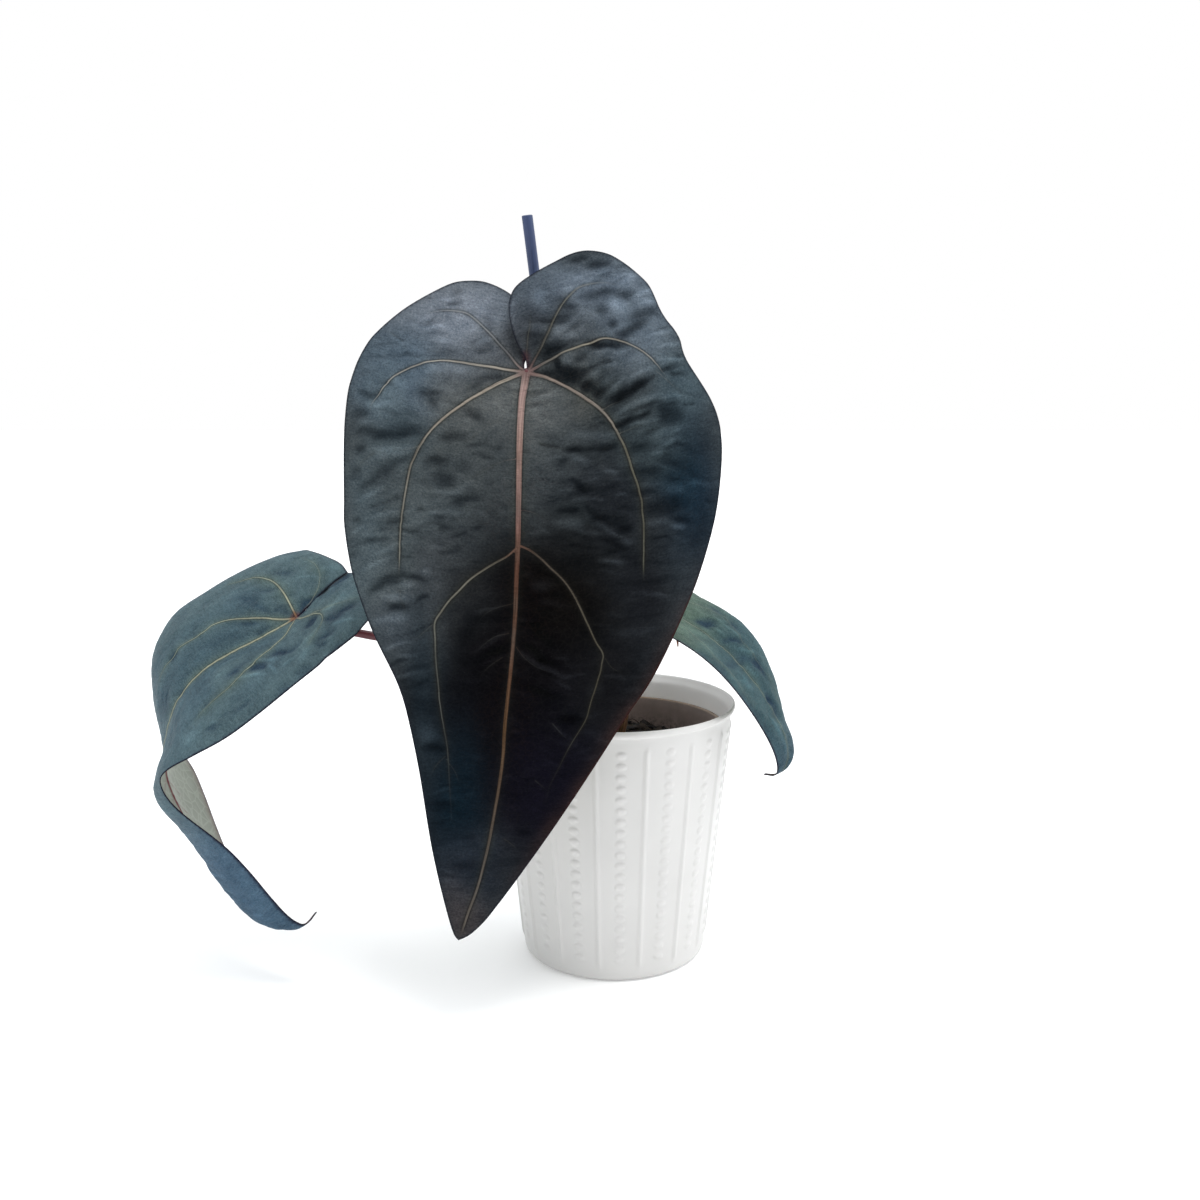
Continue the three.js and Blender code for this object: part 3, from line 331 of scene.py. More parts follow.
class G:
    """Short hand for wiring a node tree."""

    def __init__(self, name):
        self.mat = bpy.data.materials.new(name)
        self.nt, self.bsdf = nodes_of(self.mat)

    def node(self, kind, **kw):
        n = self.nt.nodes.new(kind)
        for k, v in kw.items():
            setattr(n, k, v)
        return n

    def link(self, a, b):
        self.nt.links.new(a, b)

    def put(self, sock, v):
        if isinstance(v, bpy.types.NodeSocket):
            self.link(v, sock)
        elif isinstance(v, (tuple, list)) and len(v) == 3 and sock.type == "RGBA":
            sock.default_value = (*v, 1)
        else:
            sock.default_value = v
        return self

    def attr(self, name, out="Fac"):
        n = self.node("ShaderNodeAttribute", attribute_name=name)
        return n.outputs[out]

    def math(self, op, a, b=None, clamp=False):
        n = self.node("ShaderNodeMath", operation=op, use_clamp=clamp)
        self.put(n.inputs[0], a)
        if b is not None:
            self.put(n.inputs[1], b)
        return n.outputs[0]

    def mix(self, f, a, b, mode="MIX"):
        n = self.node("ShaderNodeMix", data_type="RGBA", blend_type=mode)
        self.put(n.inputs[0], f)
        self.put(n.inputs[6], a)
        self.put(n.inputs[7], b)
        return n.outputs[2]

    def noise(self, vec, scale, detail=3.0, rough=0.5, dist=0.0):
        n = self.node("ShaderNodeTexNoise")
        if vec is not None:
            self.link(vec, n.inputs["Vector"])
        n.inputs["Scale"].default_value = scale
        n.inputs["Detail"].default_value = detail
        n.inputs["Roughness"].default_value = rough
        n.inputs["Distortion"].default_value = dist
        return n.outputs["Fac"]

    def voronoi(self, vec, scale, feature="F1", rnd=1.0):
        n = self.node("ShaderNodeTexVoronoi", feature=feature)
        self.link(vec, n.inputs["Vector"])
        n.inputs["Scale"].default_value = scale
        n.inputs["Randomness"].default_value = rnd
        return n

    def ramp(self, f, stops, interp="LINEAR"):
        n = self.node("ShaderNodeValToRGB")
        n.color_ramp.interpolation = interp
        el = n.color_ramp.elements
        while len(el) > len(stops):
            el.remove(el[-1])
        while len(el) < len(stops):
            el.new(1.0)
        for e, (p, c) in zip(el, stops):
            e.position = p
            e.color = (*c, 1) if len(c) == 3 else c
        self.put(n.inputs[0], f)
        return n.outputs[0]

    def range(self, f, a, b, c, d):
        n = self.node("ShaderNodeMapRange")
        self.put(n.inputs[0], f)
        for k, v in zip((1, 2, 3, 4), (a, b, c, d)):
            n.inputs[k].default_value = v
        return n.outputs[0]

    def scaled(self, vec, s):
        n = self.node("ShaderNodeVectorMath", operation="MULTIPLY")
        self.link(vec, n.inputs[0])
        n.inputs[1].default_value = s
        return n.outputs[0]

    def bump(self, height, strength, distance, normal=None):
        n = self.node("ShaderNodeBump")
        n.inputs["Strength"].default_value = strength
        n.inputs["Distance"].default_value = distance
        self.link(height, n.inputs["Height"])
        if normal is not None:
            self.link(normal, n.inputs["Normal"])
        return n.outputs["Normal"]

    def obj(self):
        return self.node("ShaderNodeTexCoord").outputs["Object"]

    def set(self, **kw):
        for k, v in kw.items():
            self.put(self.bsdf.inputs[k.replace("_", " ")], v)
        return self


def mat_blade_top(name, sheen, tint, rough, spec, grain):
    g = G(name)
    flat = g.attr("flat", "Vector")
    lam = g.attr("lamina_rgb", "Color")
    vrgb = g.attr("vein_rgb", "Color")
    vein = g.attr("vein")
    # broad mottling, a net of very fine veins, and the velvet's own grain
    mott = g.noise(flat, 0.05, 5.0, 0.62)
    lam = g.mix(1.0, lam, g.ramp(mott, [(0.3, (0.74, 0.76, 0.78)), (0.7, (1.22, 1.2, 1.18))]), "MULTIPLY")
    streak = g.noise(flat, 0.22, 5.0, 0.7, 0.6)
    lam = g.mix(1.0, lam, g.ramp(streak, [(0.3, (0.80, 0.82, 0.84)), (0.7, (1.18, 1.17, 1.15))]), "MULTIPLY")
    net = g.voronoi(flat, 0.34, "DISTANCE_TO_EDGE").outputs["Distance"]
    netm = g.range(net, 0.0, 0.12, 1.0, 0.0)
    lam = g.mix(g.math("MULTIPLY", netm, 0.10), lam, g.mix(0.25, lam, vrgb))
    fine = g.noise(flat, 0.95, 4.0, 0.85)
    lam = g.mix(1.0, lam, g.ramp(fine, [(0.3, (0.55, 0.57, 0.59)), (0.7, (1.45, 1.43, 1.41))]), "MULTIPLY")
    # painted shade along fine creases, in patches
    lay = g.scaled(flat, (0.13, 0.46, 1))
    crinkle_shade = g.math("ABSOLUTE", g.math("SUBTRACT", g.noise(lay, 1.0, 4.0, 0.6, 1.1), 0.5))
    patch = g.range(g.noise(flat, 0.04, 2.0, 0.5), 0.40, 0.62, 0.15, 1.0)
    crinkle_shade = g.math("MULTIPLY", g.range(crinkle_shade, 0.0, 0.035, 1.0, 0.0), patch)
    lam = g.mix(g.math("MULTIPLY", crinkle_shade, 0.42), lam, g.mix(1.0, lam, (0.30, 0.40, 0.48), "MULTIPLY"))
    # the veins: strands along them, and painted shade in the crease on both flanks
    sep = g.node("ShaderNodeSeparateXYZ")
    g.link(g.attr("vein_q", "Vector"), sep.inputs[0])
    d, half, strong = sep.outputs[0], sep.outputs[1], sep.outputs[2]
    off = g.math("SUBTRACT", d, half)
    core = g.math("MULTIPLY", g.range(off, -0.16, 0.16, 1.0, 0.0), strong)
    flank_shade = g.math("MULTIPLY", g.range(off, -0.1, 0.25, 0.0, 1.0), g.range(off, 0.25, 0.95, 1.0, 0.0))
    flank_shade = g.math("MULTIPLY", flank_shade, g.math("MULTIPLY", strong, 0.55))
    lam = g.mix(flank_shade, lam, (0.010, 0.0085, 0.0085))
    strand = g.noise(g.scaled(g.attr("vein_s", "Vector"), (1.7, 0.05, 1)), 1.0, 3.0, 0.6)
    across = g.range(g.math("DIVIDE", d, half), 0.35, 1.0, 1.0, 0.72)
    vcol = g.mix(1.0, vrgb, g.ramp(strand, [(0.32, (0.58, 0.54, 0.52)), (0.62, (1.18, 1.16, 1.14))]), "MULTIPLY")
    vcol = g.mix(1.0, vcol, g.ramp(across, [(0.0, (0.0, 0.0, 0.0)), (1.0, (1.0, 1.0, 1.0))]), "MULTIPLY")
    col = g.mix(core, lam, vcol)
    edge = g.attr("edge")
    col = g.mix(edge, col, g.attr("edge_rgb", "Color"))
    g.set(Base_Color=col, Roughness=g.range(g.math("ADD", core, g.math("MULTIPLY", fine, 0.2)), 0.0, 1.2, rough, rough - 0.14))
    g.set(Specular_IOR_Level=spec, Sheen_Weight=sheen, Sheen_Roughness=0.45)
    g.bsdf.inputs["Sheen Tint"].default_value = (*tint, 1)
    h = g.math("ADD", g.math("MULTIPLY", fine, 0.9), g.math("MULTIPLY", net, 0.5))
    n1 = g.bump(h, grain, 0.0006)
    mid = g.noise(g.scaled(flat, (0.55, 1.5, 1)), 0.24, 5.0, 0.66)
    g.set(Normal=g.bump(mid, 0.8, 0.003, n1))
    return g.mat


def mat_blade_under(name, lam, lam2, rough=0.55):
    g = G(name)
    flat = g.attr("flat", "Vector")
    vein = g.attr("vein")
    base = g.mix(g.noise(flat, 0.05, 4.0, 0.6), lam, lam2)
    net = g.voronoi(flat, 0.19, "DISTANCE_TO_EDGE").outputs["Distance"]
    base = g.mix(g.range(net, 0.0, 0.10, 0.45, 0.0), base, tuple(x * 1.25 for x in lam2))
    base = g.mix(g.attr("flush"), base, (0.13, 0.035, 0.035))
    col = g.mix(vein, base, g.attr("under_rgb", "Color"))
    col = g.mix(g.attr("edge"), col, g.attr("edge_rgb", "Color"))
    g.set(Base_Color=col, Roughness=rough, Specular_IOR_Level=0.4, Sheen_Weight=0.05)
    h = g.math("ADD", g.math("MULTIPLY", g.noise(flat, 1.4, 2.0, 0.6), 0.35), g.math("MULTIPLY", net, -1.0))
    g.set(Normal=g.bump(h, 0.4, 0.0006))
    return g.mat


# ------------------------------------------------------------------- leaves
FRONT_A = (-45.71, -62.0, 337.95)
FRONT_OUT = [
    (169.04, 0.97), (183.85, 5.37), (199.23, 14.56), (199.52, 20.42), (198.51, 26.68), (196.51, 32.73), (193.94, 37.05), (190.02, 41.43),
    (185.4, 44.58), (175.56, 50.26), (165.03, 58.46), (160.75, 62.95), (156.69, 66.8), (152.56, 69.77), (145.44, 73.24), (138.15, 74.82),
    (130.07, 76.17), (125.75, 76.85), (122.6, 76.62), (114.56, 75.75), (110.06, 76.79), (105.54, 79.15), (101.48, 80.73), (97.74, 81.11),
    (94.02, 82.63), (81.22, 96.29), (75.88, 102.04), (70.77, 106.23), (65.82, 109.78), (58.75, 115.19), (54.32, 119.14), (50.01, 123.17),
    (39.93, 134.44), (34.29, 142.1), (22.65, 163.6), (16.23, 177.2), (-0.22, 245.95), (-3.53, 268.83), (-4.34, 274.87), (-5.32, 281.12),
    (-6.09, 285.06), (-6.97, 287.95), (-7.36, 285.8), (-7.7, 282.45), (-8.57, 271.32), (-11.18, 239.76), (-15.08, 200.98), (-18.67, 178.48),
    (-20.53, 170.08), (-22.92, 162.44), (-30.99, 146.96), (-37.98, 136.07), (-41.69, 131.02), (-47.32, 123.22), (-51.27, 118.07), (-55.26, 112.47),
    (-75.3, 96.58), (-84.16, 92.95), (-87.25, 91.5), (-93.76, 88.28), (-101.01, 83.97), (-105.24, 80.57), (-112.76, 74.68), (-118.92, 70.35),
    (-130.72, 63.54), (-138.1, 60.37), (-142.29, 58.22), (-151.41, 52.63), (-156.04, 49.16), (-160.95, 45.19), (-166.48, 40.76), (-172.27, 35.84),
    (-177.86, 30.38), (-182.41, 24.2), (-186.29, 17.6), (-187.7, 11.44), (-161.65, 3.69), (-138.14, 1.41),
]
FRONT_MID = [
    (338, -45.71), (331.2, -46.57), (323.9, -47.65), (306.9, -48.24), (290.1, -48.43), (256.7, -48.58), (237.7, -49.22), (218.6, -49.89),
    (194.5, -51.86), (167.5, -54.95), (149.9, -56.09), (121.7, -60.9), (97.7, -65.84), (81.1, -70.28), (68.6, -75.21), (52.1, -80.64),
]
FRONT_Y = [(20, -104), (60, -112), (100, -117), (150, -117.5), (200, -113), (250, -102), (300, -84), (338, -62), (360, -50), (380, -41), (405, -31), (430, -24)]
FRONT_C = [(20, 3), (60, 6), (100, 10), (150, 15), (200, 20), (250, 24), (300, 24), (338, 20), (370, 16), (400, 12), (430, 10)]
FOLD_R, FOLD_L = 172 / 200, 172 / 189
# primary veins as (name, strength, [(degrees, mm) about the joint])
FRONT_VEINS = [
    ('mid', 1, [(-172.9, 0), (-7.3, 6.8), (-7.8, 14.2), (-4.7, 31.2), (-3.2, 47.9), (-2, 81.3), (-2, 100.3), (-2, 119.4), (-2.5, 143.6), (-3.1, 170.7), (-3.2, 188.3), (-4, 216.8), (-4.8, 241.1), (-5.5, 258), (-6.2, 271), (-6.8, 284.8)]),
    ('lb1', 1, [(-44.9, 1.1), (-66.4, 11.8), (-64.5, 23.1), (-63.5, 31.6), (-61.9, 40.5), (-59.4, 51.9), (-57.3, 59), (-54.8, 65.5), (-51.3, 72.9), (-47.7, 79.3), (-43.4, 88.1), (-39.4, 97.3), (-35.4, 107.1), (-32.1, 117.1)]),
    ('rb1', 1, [(38.2, 1.3), (72.4, 9.9), (70.7, 18.1), (65.9, 29.8), (62.9, 42), (59.7, 49.7), (55.7, 56.8), (51.7, 64.3), (47.7, 72.2), (45, 79.1), (42.5, 85.7), (38.5, 94.4), (34.8, 103.5), (30, 117.5)]),
    ('l2', 0.8, [(-56.4, 0.9), (-93.4, 8.4), (-96.2, 15.2), (-96.9, 29.3), (-97.1, 37.1), (-96.7, 45), (-95, 51.6), (-92.7, 57.7), (-90.4, 63.3), (-88, 68), (-85, 72.2), (-81.8, 76.2), (-79.2, 79.8), (-76.1, 82.6)]),
    ('l3', 0.6, [(-103.7, 1.1), (-122, 5.2), (-132.2, 12.3), (-133.8, 19.3), (-134.6, 27), (-134.4, 34.4), (-133.8, 39.9), (-132.4, 44.1), (-128.4, 49.6), (-124, 55.1), (-118.5, 61.5)]),
    ('r2', 0.8, [(78.9, 1.3), (113.2, 10.2), (116.1, 18.8), (115.2, 27.1), (113.9, 35.2), (112.9, 42.8), (109.5, 47.8), (106, 52.3), (101.3, 58.1), (96.4, 63.6), (92.3, 67.4), (88.1, 71)]),
    ('r3', 0.7, [(111.6, 1.4), (147.1, 8.7), (149.8, 16.3), (151.9, 24.9), (152.8, 33.3), (152.2, 39.2), (150.7, 44.6), (148.6, 49.8), (144.9, 54.2), (140.4, 58.7), (136.1, 62.1), (132.8, 63.7)]),
    ('r4', 0.4, [(158.9, 1.3), (180.4, 7.8), (178.2, 15.8), (176.5, 23.4), (176, 30)]),
    ('r5', 0.35, [(176.1, 1.8), (197.8, 7.6), (200.6, 13.6), (199.8, 19.4)]),
    ('l4', 0.7, [(-2.2, 85.1), (-5, 89.2), (-8.7, 93.5), (-12, 98.3), (-14.7, 103.9), (-16.7, 110.6), (-18.2, 116.1), (-19.2, 122.4), (-19.8, 128.9), (-18.5, 136.7), (-17.2, 145.8), (-15.8, 154.8), (-14.6, 163.9), (-13, 175.4), (-11.6, 187.2), (-10.4, 204.4), (-9.4, 222.1)]),
    ('r6', 0.7, [(-2, 83.7), (1.7, 86), (5, 90.2), (8.2, 96.4), (10.8, 102.4), (12.5, 109.4), (13.6, 117.4), (14.1, 123.2), (14.6, 129), (15.1, 135.5), (15.8, 142.4), (15.1, 146.2), (14.4, 150.3), (12.2, 160.4), (10.1, 171.7), (8.4, 177.8), (7.1, 182.6), (5.3, 191.9), (3.6, 201.6), (2.8, 210.1)]),
]
# hollows and ridges in the quilted blade: flat x, y, half length, half width,
# angle, depth (a minus is a ridge)
PUCKERS = [
    (-44.6, 31.4, 2.5, 2, 9.8, 0.5), (-44.1, 26.3, 3.5, 1.1, 4.4, 0.7), (-54.4, 16.3, 2.8, 1, 43.9, 0.5), (-25.2, 19.7, 4.2, 2.1, -40.9, 0.5),
    (-24.6, 25.9, 2.4, 2.9, 11.3, 0.3), (-50.3, 10.9, 7.8, 1.6, -0.8, 0.3), (-44, 2.3, 6.7, 2.6, 8.1, 0.6), (-73.6, 2.8, 8.1, 1.2, 17.3, 0.3),
    (-73.1, -3.7, 10.2, 1.2, 12.6, 0.4), (-61, -1.5, 4.1, 0.9, 8.1, 0.4), (-24, 6.2, 3.6, 1.5, 8.4, 0.6), (-22.2, 9.3, 1.9, 0.9, 28.8, 0.4),
    (-81.5, -13.2, 3.6, 1.5, 8.1, 0.3), (-71.1, -15.4, 4.1, 0.9, 3.7, 0.6), (-78.1, -21.8, 4.5, 1.7, 15.3, 1.1), (-80.2, -24.5, 3, 0.7, 12.5, 0.4),
    (-81, -31, 3.5, 2.2, 8, 0.8), (-80.2, -39, 2.4, 1.2, 30.8, 0.7), (-80, -47.6, 2.9, 1.8, 26, 0.8), (-81.2, -58.6, 2.9, 2.4, 39.8, 0.5),
    (-48, -16.9, 5.1, 1.5, 8.1, 1.2), (-44.9, -20.9, 3.3, 1.9, -34.1, 0.7), (-17.9, -5.1, 6.6, 1.3, 15.3, 1), (-24, -9.7, 4.5, 1.2, 26.1, 0.5),
    (-23.7, -23.1, 2.9, 2.4, -2.6, 0.8), (-27.3, -21.2, 2.5, 1.2, 7.5, 0.5), (-72.2, -38.8, 5.5, 2.2, 7.9, 1.1), (-57.1, -35.8, 7.9, 2.2, 12.3, 1),
    (-64.7, -38.7, 10.9, 1.5, 7.8, 0.5), (-34.4, -35.6, 5.3, 1.9, 7, 1), (-26.9, -32.8, 2.9, 0.7, 35, 0.5), (-22.9, -37.5, 4.3, 0.9, 15.4, 0.7),
    (-40.5, -46.9, 4.8, 1.9, 11.5, 1.1), (-17.6, -42.3, 2.8, 0.7, 4.2, 0.7), (-20.9, -41.1, 3.8, 0.9, 14.9, 0.4), (-36.3, -54.8, 4.2, 2.8, 5.9, 1),
    (-36.2, -57.2, 4.2, 0.7, 5.7, 0.5), (-28.6, -48.4, 2.9, 2.9, 62.9, 0.4), (-25.9, -62.6, 6, 2, 12.4, 1.1), (-20.3, -63.4, 2.7, 0.6, 3.4, 0.5),
    (-30.4, -64.6, 2.3, 0.8, 4.7, 0.5), (-14.1, -54.9, 1.4, 0.8, 33.4, 0.5), (-74.1, -61.7, 5.8, 1.7, 35.1, 0.7), (-66, -54.7, 4.8, 2.4, 39.7, 0.6),
    (-57.7, -49.1, 5.9, 1.7, 30.5, 0.8), (-49.3, -44.3, 2.9, 1, 25.8, 0.5), (-70.6, -71.7, 3.4, 0.9, 30.4, 0.7), (-62.2, -68, 4.8, 1, 30.3, 0.5),
    (-60.8, -78, 4.3, 1.2, 20.8, 0.8), (-65.4, -82.2, 3.8, 0.7, 16.1, 0.4), (-78.2, -80, 2.4, 1.6, 16.5, 0.7), (-47, -70.9, 1.4, 0.9, 5.9, 0.7),
    (-52.3, -81.2, 4.2, 0.8, 2.8, 0.9), (-38.5, -73.8, 2.8, 1.1, 5, 0.7), (-35.7, -77.8, 3.2, 1.4, 4.6, 0.9), (-21.1, -76.8, 2.3, 0.9, 33.6, 0.7),
    (-29.2, -80.2, 3.3, 0.8, 24.2, 0.8), (-41.2, -76.9, 5.6, 0.7, 10.2, 0.4), (-34.6, -89.1, 4.2, 1.1, 14.3, 0.7), (-75.4, -90.7, 5.8, 1, 25.6, 0.5),
    (-68, -88, 4.8, 1, 25.5, 0.5), (-53.8, -93.1, 2.8, 0.8, 15.4, 0.5), (-61, -104.1, 6.7, 1.6, 29.9, 1.2), (-50, -102.1, 5, 1.1, -3.4, 1.1),
    (-67.4, -109.4, 5.3, 1.2, 34.7, 1.2), (-59.1, -105.8, 2.8, 0.9, 25, 0.8), (-45.3, -110.7, 2.9, 1, 39, 0.7), (-32.7, -97, 7.3, 0.9, 8.8, 0.3),
    (-47.1, 27.5, 3.1, 0.7, -0.4, -0.4), (-55, 12.6, 7.2, 1.5, 3.7, -0.4), (-67.7, 4.6, 4.7, 0.7, -22.8, -0.5), (-23.5, 12, 3.8, 1.1, 29.4, -0.5),
    (-40.4, -4.6, 13.3, 3.1, 8.1, -0.5), (-63.5, -14.4, 5, 1.5, -23.1, -0.3), (-49.4, -25.2, 7.4, 2, -10.3, -0.4), (-61, -45, 10.8, 1.8, 7.6, -0.7),
    (-67.6, -47.7, 5.8, 1.9, 35.2, -0.4), (-27.8, -57.8, 4.3, 1.1, 39.1, -0.4), (-33.3, -60.6, 6, 0.9, 5.2, -0.6), (-40.5, -71.2, 2.8, 0.7, 5.3, -0.4),
    (-30.3, -70.3, 5.5, 1.4, 4.4, -0.4), (-63.8, -74.6, 7.7, 1, 27.5, -0.5), (-72.8, -66.5, 7.8, 1, 35, -0.6), (-63.2, -91.2, 7.7, 1.2, 30.1, -0.6),
    (-67.6, -98.2, 6.7, 1, 30.1, -0.5), (-53.6, -106.2, 4.6, 1.8, 5, -0.6), (-77.5, -84.5, 4.4, 0.8, 30.3, -0.4), (-43.6, -99.7, 2.3, 1.8, 4.5, -0.5),
    (44.9, 42.9, 4.3, 1.7, -7.5, 1), (53.1, 38.2, 5.8, 1.6, -11.1, 1), (48.5, 25.7, 8, 2, -3.2, 1.2), (59.2, 21.1, 4, 2, -9, 0.8),
    (66.1, 11.3, 6.8, 1.6, 4.4, 1), (57.8, 6.3, 7.2, 1.8, 17.2, 1.2), (51.3, 5.9, 3.1, 1, 4.4, 0.6), (46.5, 18.4, 3.1, 2.6, 4.3, 0.5),
    (48.7, 10.7, 2.1, 1.9, 13, 0.7), (31.7, 22.8, 3.8, 1.4, -11, 0.8), (19.3, 19.9, 3.2, 1.4, -18.5, 0.6), (25.3, 17.5, 3.3, 2.4, -15.9, 0.5),
    (16.1, 5.7, 6.1, 2, 8.7, 1.2), (12.1, 12.9, 3.1, 6.1, 52.5, 0.4), (42.1, 2.5, 7.7, 1.3, -12.7, 1.3), (9.3, -2.8, 4.6, 1.3, -19.3, 1.2),
    (20.8, -5.3, 7.7, 4.6, -12.6, 1.3), (16.1, -0.7, 1.5, 2.6, -12.6, 0.7), (40.4, -4.8, 2.6, 0.9, -12.6, 0.7), (28.9, -12.5, 2.7, 2.3, 34.6, 1.2),
    (34.9, -16.5, 3.6, 2.7, 29.5, 1), (49.3, -19.7, 7.8, 1.9, 12, 1.5), (55.1, -18.8, 2.9, 1.9, 13.6, 0.9), (59.6, -17.5, 2.9, 1, 18, 0.5),
    (43.3, -21.8, 2.3, 1.1, 19.4, 0.8), (70.3, -14.6, 3.6, 0.9, 4.3, 0.8), (75.2, -18, 4.1, 1, -16.8, 0.7), (78.3, -10.6, 2.6, 0.6, -8.4, 0.9),
    (74.1, 3.5, 2.6, 0.5, -4.1, 0.5), (72.9, 9.3, 2.8, 0.6, -46.8, 0.4), (55.1, -31.5, 3.3, 1.1, 10, 1.1), (46, -33, 4.8, 1.4, 1.4, 1),
    (33.5, -31.3, 3.7, 0.7, 2.4, 0.4), (41.1, -33.3, 2.9, 0.8, -2.9, 0.5), (67.7, -34.7, 5.5, 4.5, -12.5, 1.1), (57.7, -27.7, 4.4, 1.2, 0.5, 0.6),
    (78.3, -32.3, 3, 0.8, -8.3, 0.8), (70.6, -29.7, 3, 0.7, -4.1, 0.5), (80.2, -28.3, 5, 0.7, -25.3, 0.4), (58, -40, 3.9, 1.2, -3.4, 0.5),
    (68.8, -48.9, 5.3, 0.8, -7.8, 0.7), (50.7, -45.5, 4.1, 1.6, 7.1, 0.7), (63.7, -50.9, 2.4, 1, -12, 0.4), (10.6, -37.2, 4.5, 0.7, -18.3, 0.7),
    (20.8, -40.9, 3.6, 1.3, -8.6, 1.3), (28.4, -41.2, 2.8, 0.6, -10.1, 0.7), (35.8, -42.1, 3.7, 1.6, -6.2, 1), (16.8, -45, 2.7, 1.2, -6.9, 0.8),
    (14.2, -46.6, 2.6, 0.5, -5.9, 0.5), (28.3, -49.4, 3.5, 0.5, 6.5, 0.4), (55.6, -57.2, 5.6, 1.9, -6.7, 0.8), (67.9, -57.1, 6.9, 2.2, -25, 0.7),
    (38.9, -58.6, 7.3, 0.6, -9.9, 0.4), (9, -52.4, 3, 0.4, -9.1, 0.5), (17.7, -54.1, 4.4, 0.6, -6.2, 0.5), (24.7, -59.2, 3.2, 1.6, -22.6, 1.2),
    (22, -56, 2.9, 1, -41.2, 0.7), (38, -59.8, 3.6, 0.9, 0.5, 0.5), (52.4, -65.5, 4.7, 0.6, -15.4, 0.4), (67.4, -64, 2.3, 0.7, -2.3, 0.5),
    (15.9, -62, 4.9, 0.7, -13.7, 0.4), (11.6, -63.1, 2.2, 0.4, -3.8, 0.6), (18.5, -68.1, 3.5, 1.3, -5.3, 1.3), (0.5, -67.6, 2.6, 0.6, -22.6, 0.5),
    (26.4, -67.8, 2.9, 0.8, -45.8, 0.5), (32.5, -73.8, 2.7, 1.2, -12.9, 1.3), (28.1, -70.9, 3.8, 0.9, -41.3, 0.8), (36.8, -77.2, 4.2, 0.9, -27.9, 0.7),
    (43, -81.3, 3, 1.7, 7.2, 1.2), (61.2, -74.4, 8.4, 2.8, -10.8, 1.1), (69.2, -81.8, 4.3, 1, -20.1, 0.7), (69.9, -86.8, 2.6, 0.7, 9.5, 0.5),
    (58, -87.6, 4.6, 0.6, -9.8, 0.9), (62.5, -89.1, 1.9, 0.7, -37.7, 0.5), (44, -71.3, 3.6, 1.4, -9.5, 0.5), (18.6, -85.1, 4.3, 0.7, -4.4, 0.5),
    (24.6, -86.5, 6.1, 0.7, -10.9, 0.7), (38.5, -87.2, 5.6, 1.1, -32.4, 1), (37.6, -89.9, 2.6, 1.1, -7.4, 1), (24.6, -95.1, 9.7, 3.5, -15.8, 0.5),
    (49.8, -97.2, 3.6, 0.6, -8.5, 0.4), (58.6, -99.5, 5.4, 1.1, -9.2, 0.4), (60.3, -107.1, 6.1, 1.3, 1.4, 0.5), (43.7, -93.5, 3.5, 0.9, -8, 0.4),
    (20.1, 30.6, 4.7, 3.6, 52.4, -0.8), (12.1, 19.4, 2.6, 5.1, 65.6, -0.7), (22.6, 13.8, 5.1, 2, 21.8, -0.8), (25.2, 10.1, 3.1, 1.5, 13.1, -0.7),
    (58.4, 36.2, 10.3, 1.5, 13, -0.6), (64.1, 27.7, 6.2, 1.6, 8.7, -0.6), (53.5, 17.6, 4.5, 2.5, -13.6, -0.7), (38.1, 18.5, 3.9, 2.9, -14.5, -0.4),
    (68.6, 20.7, 6.2, 0.7, 4.4, -0.7), (69.9, 15.6, 4.7, 0.8, 4.5, -0.4), (71.2, 1.4, 6.2, 0.8, 0.1, -0.6), (75.6, -5.1, 6.7, 1, -5.8, -0.8),
    (74.9, -11.2, 6.2, 0.6, -4.2, -0.7), (20.8, 0.9, 3.3, 3.3, 40.5, -0.7), (46.5, -2.2, 3.6, 0.5, -8.4, -0.5), (42.1, -6.6, 3.1, 0.9, -12.6, -0.7),
    (24.1, -2.5, 6.1, 1.3, -21.2, -0.7), (31, -9.4, 4.3, 1.2, 18.3, -0.7), (37.5, -13.5, 4.2, 1.1, 23.5, -0.6), (43.3, -15.7, 5.1, 0.9, 28.4, -0.8),
    (56.3, -13.3, 7, 1, 8.8, -0.6), (53.9, -25.9, 8.8, 1.5, 5, -1), (64, -26.5, 6, 0.8, -4, -0.6), (49.2, -30.2, 7.2, 0.7, 3.7, -0.8),
    (54.6, -34.9, 5.8, 0.7, -1.7, -1), (43.5, -28.1, 3.7, 0.9, 15.5, -0.7), (61.6, -42.5, 4.3, 1.9, -3.4, -0.6), (59, -49.5, 2.9, 1, -11.9, -0.7),
    (65.2, -45.9, 4.8, 1, -3.3, -0.4), (23.1, -34.7, 4.6, 1.9, -9.9, -0.5), (33.2, -36.6, 6.6, 1.9, -6.5, -0.6), (23, -45.8, 5, 1.4, -8.5, -0.6),
    (37.2, -53.7, 3.7, 0.9, -10.1, -1), (42.4, -64.2, 3.2, 0.7, -9.8, -0.9), (23.8, -63.8, 4, 0.7, -6.9, -0.7), (31.7, -64.8, 2.7, 0.5, -8.3, -0.7),
    (18.5, -58.5, 3.9, 0.9, -6.1, -0.4), (19.4, -75.2, 5.3, 2.6, -15.8, -0.9), (26.3, -80.1, 5.8, 1.3, -16.7, -0.7), (34.2, -79.1, 4.3, 1, -41.5, -0.6),
    (36.7, -94.5, 4.9, 1.3, -12.3, -1.2), (43.8, -87, 2.7, 1.1, -8.4, -0.8), (39.4, -83.6, 3.7, 0.7, -27.8, -0.7), (66.1, -69.1, 3.8, 1.9, -11.3, -0.7),
    (58.2, -80.6, 5.9, 1.8, -5.3, -0.7), (68.1, -84.7, 2.8, 1.4, -10.7, -0.6), (58.4, -114.2, 3.6, 0.6, -8.5, -0.6), (6.7, -102.7, 3.4, 2.6, -1.5, -0.6),
    (0.7, -97.9, 2.6, 1.3, -0.3, -0.4), (-57.4, -116.6, 4.6, 1.5, 4.9, 1.4), (-60.8, -118, 3.6, 0.8, 34.5, 0.6), (-46, -111.5, 3.6, 0.6, 43.7, 0.5),
